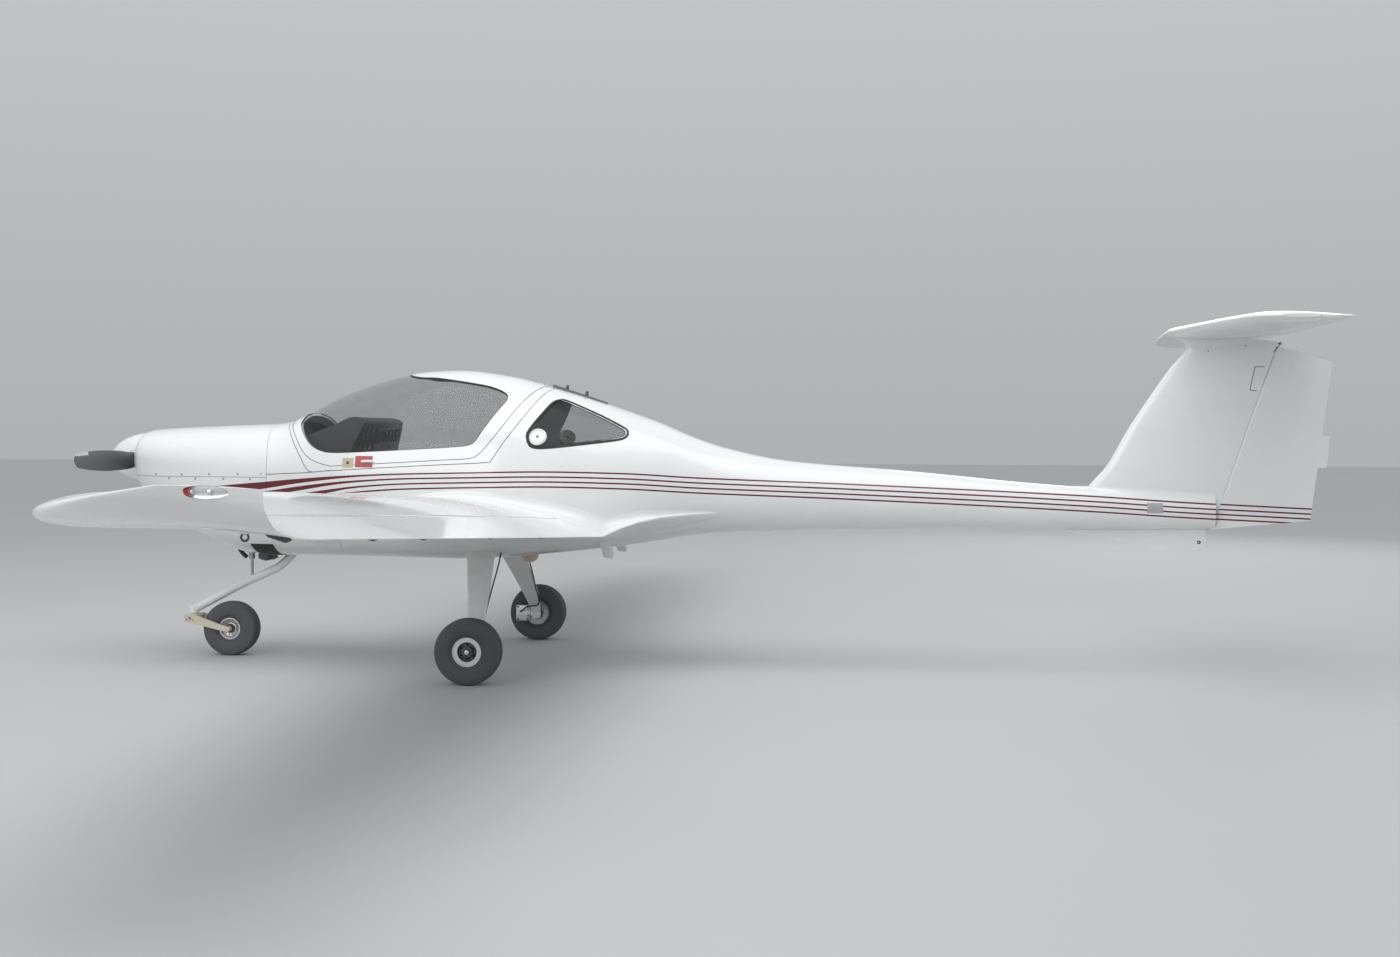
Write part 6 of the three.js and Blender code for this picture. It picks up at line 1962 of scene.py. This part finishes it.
def bar_points(a, b, half_side, height):
    """The eight corners of a flat bar from a to b."""
    rows = []
    for end in (a, b):
        rows += [end - half_side, end + half_side, end + half_side + height,
                 end - half_side + height]
    return np.array(rows)


STICK_Y = 0.255


def build_controls():
    """The two control sticks with grips, the console between the seats, and the carpet."""
    sticks, grips = Form(), Form()
    for sign in (-1, 1):
        path = smooth_path([[-1.740, sign * STICK_Y, 0.700], [-1.738, sign * STICK_Y, 0.80],
                            [-1.716, sign * STICK_Y, 0.93], [-1.712, sign * STICK_Y, 0.955]], 24)
        sticks.join(tube(path, 0.0105, 16))
        grip = smooth_path([[-1.7125, sign * STICK_Y, 0.945], [-1.711, sign * STICK_Y, 0.985],
                            [-1.706, sign * STICK_Y, 1.030], [-1.7045, sign * STICK_Y, 1.072]], 20)
        u = np.linspace(0, 1, 20)
        girth = 0.0165 + 0.0022 * np.sin(u * HALF_TURN * 4) - 0.006 * np.clip(u - 0.9, 0, 1) * 10
        grips.join(tube(grip, girth, 20))
        grips.join(lathe([(0.006, 0.0), (0.006, 0.006), (0.004, 0.008), (0.0004, 0.008)],
                         (-1.716, sign * STICK_Y, 1.058), (-1, 0, 0.25), 14))
    sticks.join(tube(np.stack([np.full(12, -1.740), np.linspace(-STICK_Y, STICK_Y, 12),
                               np.full(12, 0.700)], -1), 0.0135, 16))
    piece("stick_tubes", sticks, "bare_steel", "airframe",
          ["control_sticks"])
    piece("stick_grips", grips, "black_plastic", "airframe")
    console = slab(smooth_outline([(-1.880, 0.632), (-1.880, 0.860), (-1.860, 0.880),
                                   (-1.180, 0.880), (-1.180, 0.632)], 0.016), -0.038, 0.038, 0.008)
    made = solid_object("console_box", console)
    worked(made, tube(np.array([[-1.74, -0.3, 0.70], [-1.74, 0, 0.70], [-1.74, 0.3, 0.70]]),
                      0.0165, 20))
    finish(made, "grey_plastic", "airframe", ["centre_console"])
    levers = Form()
    for x, height, radius in ((-1.70, 0.075, 0.013), (-1.63, 0.060, 0.011), (-1.45, 0.045, 0.016)):
        levers.join(lathe([(0.004, -0.01), (0.004, height - radius),
                           (radius * 0.7, height - radius),
                           (radius, height), (radius * 0.7, height + radius * 0.7),
                           (0.0004, height + radius)], (x, 0, 0.880), (-0.15, 0, 1), 20))
    piece("console_levers", levers, "black_plastic", "airframe")
    x = np.linspace(-2.40, -0.36, 40)[:, None]
    across = np.linspace(-1, 1, 25)[None, :]
    bottom = cubic(SECTIONS, x[:, 0])[:, 1][:, None] + 0.040
    half = body_side(x, bottom + 0 * across) - 0.028
    top = np.stack(np.broadcast_arrays(x, half * across, bottom), -1)
    low = top - [0, 0, 0.006]
    carpet = closed_form(np.concatenate([top, low[:, ::-1]], 1))
    piece("floor_carpet", carpet, "carpet", "airframe")


# Small fittings


TIP_LIGHT_X = (-0.7785, -0.6615)


def build_fittings():
    """The tip lights, pitot head, tie-down rings, belly fittings, boarding steps and rail."""
    lights = {"left": ("red_lens", "lens_red", -1), "right": ("green_lens", "lens_green", 1)}
    for side, (glass, slot_name, sign) in lights.items():
        def turn(form):
            return form.mirrored() if sign < 0 else form
        x = np.linspace(*TIP_LIGHT_X, 26)
        front = x < -0.760
        for part, mask, material, slot in (("cap", front, glass, slot_name),
                                           ("lens", ~front, "clear_lens", "glazing")):
            made = tip_light_form(0.0215, 0.0, 0.0175,
                                  x[mask] if part == "lens" else x[:mask.sum() + 1])
            piece(f"nav_{part}_{side}", turn(made), material, "airframe",
                  ["nav_light_" + side], crease=50)
        bed = tip_light_form(-0.003, 0.0068, 0.0180)
        bulb = lathe([(0.006, 0.0), (0.006, 0.006), (0.0045, 0.012), (0.0004, 0.0135)],
                     (-0.757, 5.4095, 1.204), (0, 1, 0), 18)
        bulb.join(lathe([(0.008, 0.0), (0.008, 0.004), (0.006, 0.011), (0.0004, 0.013)],
                        (-0.710, 5.4095, 1.204), (0, 1, 0), 18))
        piece("nav_bed_" + side, turn(bed), "polished", "airframe")
        piece("nav_bulbs_" + side, turn(bulb), "polished", "airframe")
    build_belly()
    build_rail()
    build_placards()


def tip_light_form(out, inward, half_z, x=None):
    """A tip light's form: ellipses about its bed's edge, whose size swells along the light and
    whose half width differs out of the tip and into it."""
    x = np.linspace(*TIP_LIGHT_X, 26) if x is None else x
    t = (x + 0.779) / 0.118
    size = np.interp(t, [0, 0.06, 0.2, 0.45, 0.75, 0.95, 1], [0.30, 0.62, 0.86, 1, 0.88, 0.5, 0.3])
    angle = full_turn(36)[None, :]
    reach = np.where(np.cos(angle) > 0, out, inward)
    y = 5.4125 + reach * size[:, None] * np.cos(angle)
    z = 1.204 + half_z * size[:, None] * np.sin(angle)
    return closed_form(np.stack([x[:, None] + 0 * angle, y, z], -1))


def build_belly():
    """The pitot head, tie-down rings, air outlet, exhaust, aerial blister and boarding steps."""
    top = wing_height(-1.270, 2.760, -1)
    foot = float(top) - 0.062
    head = smooth_outline([(-1.290, float(top) + 0.02), (-1.288, foot + 0.016),
                           (-1.398, foot + 0.010), (-1.398, foot - 0.004), (-1.250, foot - 0.007),
                           (-1.240, float(top) + 0.02)], 0.007)
    probe = slab(head, 2.7535, 2.7665, 0.003)
    probe.join(lathe([(0.0045, -1.392 + 1.27), (0.0045, -0.130), (0.003, -0.1305),
                      (0.0025, -0.125)], (-1.270, 2.760, foot + 0.003), (1, 0, 0), 16))
    piece("pitot_head", probe.mirrored(), "gloss_white", "airframe",
          ["pitot_probe"])
    rings = Form()
    z = float(wing_height(-1.180, 4.0, -1))
    boss = lathe([(0.0200, -0.012), (0.0200, 0.012), (0.017, 0.0158), (0.0004, 0.016)],
                 (-1.180, 4.0, z), (0, 0, -1), 28)
    turn = full_turn(28)
    eye = np.stack([-1.180 + 0.013 * np.cos(turn), np.full(28, 4.0),
                    z - 0.027 + 0.013 * np.sin(turn)], -1)
    across = np.stack([np.cos(turn), 0 * turn, np.sin(turn)], -1)
    small = full_turn(10)[None, :, None]
    grid = eye[:, None] + 0.0040 * (np.cos(small) * across[:, None] + np.sin(small) * [0, 1, 0])
    rings.grid(grid, around=True, along=True)
    for form, name, material in ((boss, "tie_down_bosses", "gloss_white"),
                                 (rings, "tie_down_rings", "hub_dark")):
        other = form.mirrored()
        piece(name, form.join(other), material, "airframe")
    outlet = slab(smooth_outline([(-2.664, 0.660), (-2.664, 0.590), (-2.618, 0.5742),
                                  (-2.603, 0.582), (-2.603, 0.660)], 0.006), -0.048, 0.048, 0.006)
    piece("outlet_scoop", outlet, "black_plastic", "airframe",
          ["air_outlet"])
    path = smooth_path([[-2.704, 0.1912, 0.688], [-2.678, 0.195, 0.634],
                        [-2.647, 0.1997, 0.5692]], 16)
    pipe = tube(path, 0.0198, 32)
    made = solid_object("exhaust_stub", pipe)
    worked(made, tube(path[6:] + [0.004, 0.0004, -0.006], 0.0174, 32))
    finish(made, "exhaust_steel", "airframe", ["exhaust_pipe"])
    drain = tube(smooth_path([[-2.806, 0, 0.660], [-2.782, 0, 0.622], [-2.752, 0, 0.594]], 12),
                 0.0125, 20)
    piece("drain_stub", drain, "hose_black", "airframe")
    # A dark rubber sheet on the belly behind the air outlet: painted shade standing in for the dark
    # opening where the nose leg comes out.
    x = np.linspace(-2.600, -2.455, 12)[:, None]
    lowest = skin_angle(x[:, 0], np.full(12, 0.700), 1)[:, None]
    angle = -HALF_TURN / 2 + np.linspace(-1, 1, 41)[None, :] * (lowest + HALF_TURN / 2)
    opening_shade = Form().grid(np.concatenate([body_point(x, angle, 0.0006),
                                       body_point(x, angle[:, ::-1], -0.002)], 1),
                       around=True, ends=True)
    piece("leg_boot", opening_shade, "seal_rubber", "airframe")
    u = np.linspace(0.02, HALF_TURN / 2, 16)[:, None]
    v = full_turn(40)[None, :]
    blister = np.stack([-1.010 + 0.052 * np.sin(u) * np.cos(v), 0.034 * np.sin(u) * np.sin(v),
                        0.628 - 0.045 * np.cos(u) + 0 * v], -1)
    piece("aerial_blister", closed_form(blister), "beige_paint",
          "airframe", ["belly_antenna"])
    step = slab(smooth_outline([(-0.560, 0.775), (-0.520, 0.640), (-0.470, 0.632), (-0.466, 0.650),
                                (-0.500, 0.775)], 0.006), 0.236, 0.300, 0.004)
    piece("boarding_steps", step.join(step.mirrored()), "gloss_white", "airframe")


def build_rail():
    """The rail over the roof with its knuckles and its two knobs."""
    outline = smooth_outline([(-0.868, 1.628), (-0.868, 1.6405), (-0.545, 1.5335), (-0.545, 1.505),
                              (-0.848, 1.600)], 0.004)
    rail = slab(outline, -0.026, 0.026, 0.003)
    made = solid_object("roof_rail_bar", rail)
    worked(made, box_form((-0.960, -0.0086, 1.5), (-0.852, 0.0086, 1.7)))
    finish(made, "rail_grey", "airframe", ["roof_rail"])
    knuckles = Form()
    for y0, y1 in ((-0.026, -0.0083), (0.0083, 0.026)):
        knuckles.join(lathe([(0.009, y0), (0.009, y1)], CANOPY_PIN, (0, 1, 0), 28))
    knuckles.join(lathe([(0.0035, -0.0275), (0.0035, 0.0275)], CANOPY_PIN, (0, 1, 0), 16))
    piece("roof_knuckles", knuckles, "bare_steel", "airframe")
    dots = Form()
    for x, z in ((-0.572, 1.5275), (-0.838, 1.6135)):
        dots.join(lathe([(0.0042, -0.0268), (0.0042, 0.0268)], (x, 0, z), (0, 1, 0), 16))
    piece("roof_rail_screws", dots, "hub_dark", "airframe")
    knobs = Form()
    for x in (-0.790, -0.673):
        z = float(cubic(SECTIONS, np.array([x]))[0, 0])
        knobs.join(lathe([(0.0105, -0.01), (0.0105, 0.020), (0.0088, 0.022), (0.0088, 0.032),
                          (0.0065, 0.0362), (0.0004, 0.037)], (x, 0, z), (0.20, 0, 1), 24))
    piece("roof_knobs", knobs, "black_plastic", "airframe")


def skin_plate(x0, x1, z0, z1, side, height, columns=9):
    """A thin plate lying on the fuselage's skin between two stations and two heights."""
    x = np.linspace(x0, x1, columns)[:, None]
    z = np.linspace(z0, z1, columns)[None, :]
    x, z = np.broadcast_arrays(x, z)
    angle = skin_angle(x, z, side)
    top = body_point(x, angle, height)
    low = body_point(x, angle, -0.002)
    return closed_form(np.concatenate([top, low[:, ::-1]], 1))


def build_placards():
    """The bare beige placard and red handle plate below the canopy, with the handle's grip, and
    the grey plate on the boom."""
    piece("beige_placard", skin_plate(-1.982, -1.915, 1.151, 1.207, -1, 0.0008),
          "beige_paint", "canopy")
    piece("handle_plate", skin_plate(-1.905, -1.802, 1.154, 1.218, -1, 0.0010),
          "red_paint", "canopy")
    lock = skin_disc(-1.949, 1.180, -1, 0.0095, 0.0024, True)
    piece("door_lock", lock, "hub_dark", "canopy")
    path = np.stack([np.linspace(-1.864, -1.796, 16), np.full(16, 1.187)], -1)
    lift = 0.007 * np.sin(np.linspace(0, HALF_TURN, 16)) ** 0.5
    angle = skin_angle(path[:, 0], path[:, 1], -1)
    grip = body_point(path[:, 0], angle, 0.002 + lift)
    piece("handle_grip", tube(grip, 0.0080, 18), "gloss_white", "canopy")
    piece("boom_plate", skin_plate(2.563, 2.652, 0.911, 0.967, -1, 0.0008),
          "plate_grey", "airframe")


def dress_nodes():
    """Gives the engine block, the frame's one node that shows as it is, its finish."""
    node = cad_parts["engine_block"]
    node.data.materials.clear()
    node.data.materials.append(finish_of("engine_iron"))


# Stage


def build_stage():
    """The pale floor, the soft lights and the camera at the photograph's place."""
    scene = bpy.context.scene
    u = np.linspace(-1, 1, 41)
    x, y = np.meshgrid(u * 60, u * 60, indexing="ij")
    ground = solid_object("stage_floor", Form().grid(np.stack([x, y, 0 * x], -1)))
    made, net = empty_material("stage_floor")
    tone = net.noise(0.35, 5.0)
    colour = net.mix(tone, (0.46, 0.46, 0.455, 1.0), (0.50, 0.50, 0.495, 1.0))
    principled(net, {"Base Color": colour, "Roughness": 0.8})
    ground.data.materials.append(made)
    world = bpy.data.worlds.new("soft_sky")
    world.use_nodes = True
    sky = Net(world.node_tree)
    view = sky.node("ShaderNodeTexCoord").outputs["Generated"]
    height = sky.node("ShaderNodeSeparateXYZ", {0: view})
    rise = sky.band(height.outputs[2], 0.0, 0.75)
    shade = sky.mix(rise, (0.43, 0.44, 0.45, 1.0), (0.74, 0.77, 0.81, 1.0))
    world.node_tree.links.new(shade, world.node_tree.nodes["Background"].inputs["Color"])
    scene.world = world
    scene.view_settings.view_transform = "Standard"
    lamps = {
        "overhead": ((-0.5, -2.5, 9.0), (0.0, 0.0, 0.8), 9.0, 420.0),
        "near_side": ((-5.0, -12.0, 5.5), (0.0, 0.0, 0.9), 6.0, 320.0),
        "far_side": ((5.0, 11.0, 6.0), (0.0, 0.0, 0.9), 6.0, 220.0),
    }
    for name, (place, target, size, power) in lamps.items():
        lamp = bpy.data.lights.new(name, "AREA")
        lamp.size, lamp.energy = size, power
        holder = bpy.data.objects.new(name, lamp)
        holder.location = place
        holder.rotation_euler = (Vector(target) - Vector(place)).to_track_quat("-Z", "Y").to_euler()
        scene.collection.objects.link(holder)
    lens = bpy.data.cameras.new("camera")
    lens.lens, lens.sensor_width = 40.714, 36.0
    lens.clip_start, lens.clip_end = 0.1, 300.0
    camera = bpy.data.objects.new("camera", lens)
    right = Vector((0.99528056, 0.0969693, 0.00368197))
    forward = Vector((-0.09682134, 0.99487219, -0.02923965))
    up = right.cross(forward)
    rows = [(right[i], up[i], -forward[i]) for i in range(3)]
    camera.matrix_world = Matrix(rows).to_4x4()
    camera.location = (0.9063, -9.2655, 1.3599)
    scene.collection.objects.link(camera)
    scene.camera = camera


# Add-on


def colour_property(name, description, default):
    """A colour that a user may change."""
    return bpy.props.FloatVectorProperty(
        name=name, description=description, subtype="COLOR", size=3, min=0.0, max=1.0,
        default=default)


class AircraftColours(bpy.types.PropertyGroup):
    """Colours that a user may change."""

    airframe: colour_property("Airframe", "Gloss paint of the airframe", (0.80, 0.81, 0.80))
    cheat_lines: colour_property("Cheat lines", "Lines along the fuselage", (0.135, 0.009, 0.018))
    glass: colour_property("Glass", "Tint of the canopy and the side windows",
                           (0.085, 0.085, 0.083))
    blades: colour_property("Blades", "Paint of the propeller blades", (0.016, 0.016, 0.018))
    fork: colour_property("Nose fork", "Paint of the nose wheel's fork", (0.66, 0.60, 0.46))
    seats: colour_property("Seats", "Leather of the seat cushions", (0.085, 0.085, 0.09))
    placard: colour_property("Placard", "Beige of the bare placard and the belly blister",
                             (0.55, 0.48, 0.34))
    draw_order = ("airframe", "cheat_lines", "glass", "blades", "fork", "seats", "placard")


def length_property(name, description, default):
    """A length in metres that a user may change."""
    return bpy.props.FloatProperty(
        name=name, description=description, subtype="DISTANCE", unit="LENGTH", default=default,
        min=default / 4, max=default * 2, precision=4)


class AircraftSizes(bpy.types.PropertyGroup):
    """Sizes of the trim that a user may change, in metres."""

    wall: length_property("Cabin wall", "Thickness of the cabin's and the canopy's wall", 0.020)
    seal: length_property("Canopy seal", "Width of the seal round the canopy", 0.010)
    scribe: length_property("Scribed line", "Width of the thin lines in the paint", 0.0036)
    window_rim: length_property("Window rim", "Width of the side windows' dark rims", 0.022)
    tread: length_property("Tread depth", "Depth of the tyres' grooves", 0.004)
    hose: length_property("Brake hose", "Radius of the brake hoses", 0.0042)
    strap: length_property("Shoulder strap", "Width of the shoulder straps", 0.044)
    fastener: length_property("Cowl fastener", "Radius of the cowl's fasteners", 0.0065)
    draw_order = ("wall", "seal", "scribe", "window_rim", "tread", "hose", "strap", "fastener")


class AIRCRAFT_OT_fuselage(bpy.types.Operator):
    """Builds the fuselage with its cabin, the fin and its fillet"""

    bl_idname = "aircraft.fuselage"
    bl_label = "Fuselage and fin"

    def execute(self, context):
        build_fuselage()
        return {"FINISHED"}


class AIRCRAFT_OT_cowl(bpy.types.Operator):
    """Builds the two cowl halves, the inlets and the fasteners"""

    bl_idname = "aircraft.cowl"
    bl_label = "Engine cowl"

    def execute(self, context):
        build_cowl()
        return {"FINISHED"}


class AIRCRAFT_OT_canopy(bpy.types.Operator):
    """Builds the lifting canopy's frame, glass and strap"""

    bl_idname = "aircraft.canopy"
    bl_label = "Canopy"

    def execute(self, context):
        build_canopy()
        return {"FINISHED"}


class AIRCRAFT_OT_windows(bpy.types.Operator):
    """Builds the fixed side windows, their rims and the vents"""

    bl_idname = "aircraft.windows"
    bl_label = "Side windows"

    def execute(self, context):
        build_windows()
        return {"FINISHED"}


class AIRCRAFT_OT_seams(bpy.types.Operator):
    """Lays the seals and scribed lines on the skin"""

    bl_idname = "aircraft.seams"
    bl_label = "Seals and seams"

    def execute(self, context):
        build_seams()
        return {"FINISHED"}


class AIRCRAFT_OT_wings(bpy.types.Operator):
    """Builds the wings, flaps, ailerons and root fairings"""

    bl_idname = "aircraft.wings"
    bl_label = "Wings"

    def execute(self, context):
        build_wings()
        return {"FINISHED"}


class AIRCRAFT_OT_tail(bpy.types.Operator):
    """Builds the stabilizer, elevator, rudder, trim tab and keel"""

    bl_idname = "aircraft.tail"
    bl_label = "Tail"

    def execute(self, context):
        build_tail()
        return {"FINISHED"}


class AIRCRAFT_OT_propeller(bpy.types.Operator):
    """Builds the spinner, the blades and their collars"""

    bl_idname = "aircraft.propeller"
    bl_label = "Propeller"

    def execute(self, context):
        build_propeller()
        return {"FINISHED"}


class AIRCRAFT_OT_main_gear(bpy.types.Operator):
    """Builds the main legs, brakes, hoses and wheels"""

    bl_idname = "aircraft.main_gear"
    bl_label = "Main gear"

    def execute(self, context):
        build_main_gear()
        return {"FINISHED"}


class AIRCRAFT_OT_nose_gear(bpy.types.Operator):
    """Builds the nose tube, strut, fork and wheel"""

    bl_idname = "aircraft.nose_gear"
    bl_label = "Nose gear"

    def execute(self, context):
        build_nose_gear()
        return {"FINISHED"}


class AIRCRAFT_OT_seats(bpy.types.Operator):
    """Builds the two seats and their straps"""

    bl_idname = "aircraft.seats"
    bl_label = "Seats"

    def execute(self, context):
        build_seats()
        return {"FINISHED"}


class AIRCRAFT_OT_panel(bpy.types.Operator):
    """Builds the instrument panel with its dials and radios"""

    bl_idname = "aircraft.panel"
    bl_label = "Instrument panel"

    def execute(self, context):
        build_panel()
        return {"FINISHED"}


class AIRCRAFT_OT_controls(bpy.types.Operator):
    """Builds the sticks, the console and the carpet"""

    bl_idname = "aircraft.controls"
    bl_label = "Controls"

    def execute(self, context):
        build_controls()
        return {"FINISHED"}


class AIRCRAFT_OT_fittings(bpy.types.Operator):
    """Builds the lights, probes, rings, rail and plates"""

    bl_idname = "aircraft.fittings"
    bl_label = "Small fittings"

    def execute(self, context):
        build_fittings()
        return {"FINISHED"}


class AIRCRAFT_OT_plain_nodes(bpy.types.Operator):
    """Gives the frame's own visible nodes their finish"""

    bl_idname = "aircraft.plain_nodes"
    bl_label = "Solid frame finishes"

    def execute(self, context):
        dress_nodes()
        return {"FINISHED"}


class AIRCRAFT_OT_stage(bpy.types.Operator):
    """Sets up the floor, the lights and the camera"""

    bl_idname = "aircraft.stage"
    bl_label = "Stage"

    def execute(self, context):
        build_stage()
        return {"FINISHED"}


OPERATORS = (
    AIRCRAFT_OT_fuselage,
    AIRCRAFT_OT_cowl,
    AIRCRAFT_OT_canopy,
    AIRCRAFT_OT_windows,
    AIRCRAFT_OT_seams,
    AIRCRAFT_OT_wings,
    AIRCRAFT_OT_tail,
    AIRCRAFT_OT_propeller,
    AIRCRAFT_OT_main_gear,
    AIRCRAFT_OT_nose_gear,
    AIRCRAFT_OT_seats,
    AIRCRAFT_OT_panel,
    AIRCRAFT_OT_controls,
    AIRCRAFT_OT_fittings,
    AIRCRAFT_OT_plain_nodes,
    AIRCRAFT_OT_stage,
)


class AIRCRAFT_PT_panel(bpy.types.Panel):
    """Lists the aircraft's colours and its building steps in order."""

    bl_idname = "AIRCRAFT_PT_panel"
    bl_label = "Light aircraft"
    bl_space_type = "VIEW_3D"
    bl_region_type = "UI"
    bl_category = "Aircraft"

    def draw(self, context):
        for group in (context.scene.aircraft_sizes, context.scene.aircraft_colours):
            for name in group.draw_order:
                self.layout.prop(group, name)
        for step in OPERATORS:
            self.layout.operator(step.bl_idname)


CLASSES = (AircraftColours, AircraftSizes, *OPERATORS, AIRCRAFT_PT_panel)


def register():
    for each in CLASSES:
        bpy.utils.register_class(each)
    bpy.types.Scene.aircraft_colours = bpy.props.PointerProperty(type=AircraftColours)
    bpy.types.Scene.aircraft_sizes = bpy.props.PointerProperty(type=AircraftSizes)


def unregister():
    del bpy.types.Scene.aircraft_sizes
    del bpy.types.Scene.aircraft_colours
    for each in reversed(CLASSES):
        bpy.utils.unregister_class(each)


def main():
    register()
    for step in OPERATORS:
        group, name = step.bl_idname.split(".")
        getattr(getattr(bpy.ops, group), name)()


if __name__ == "__main__":
    main()
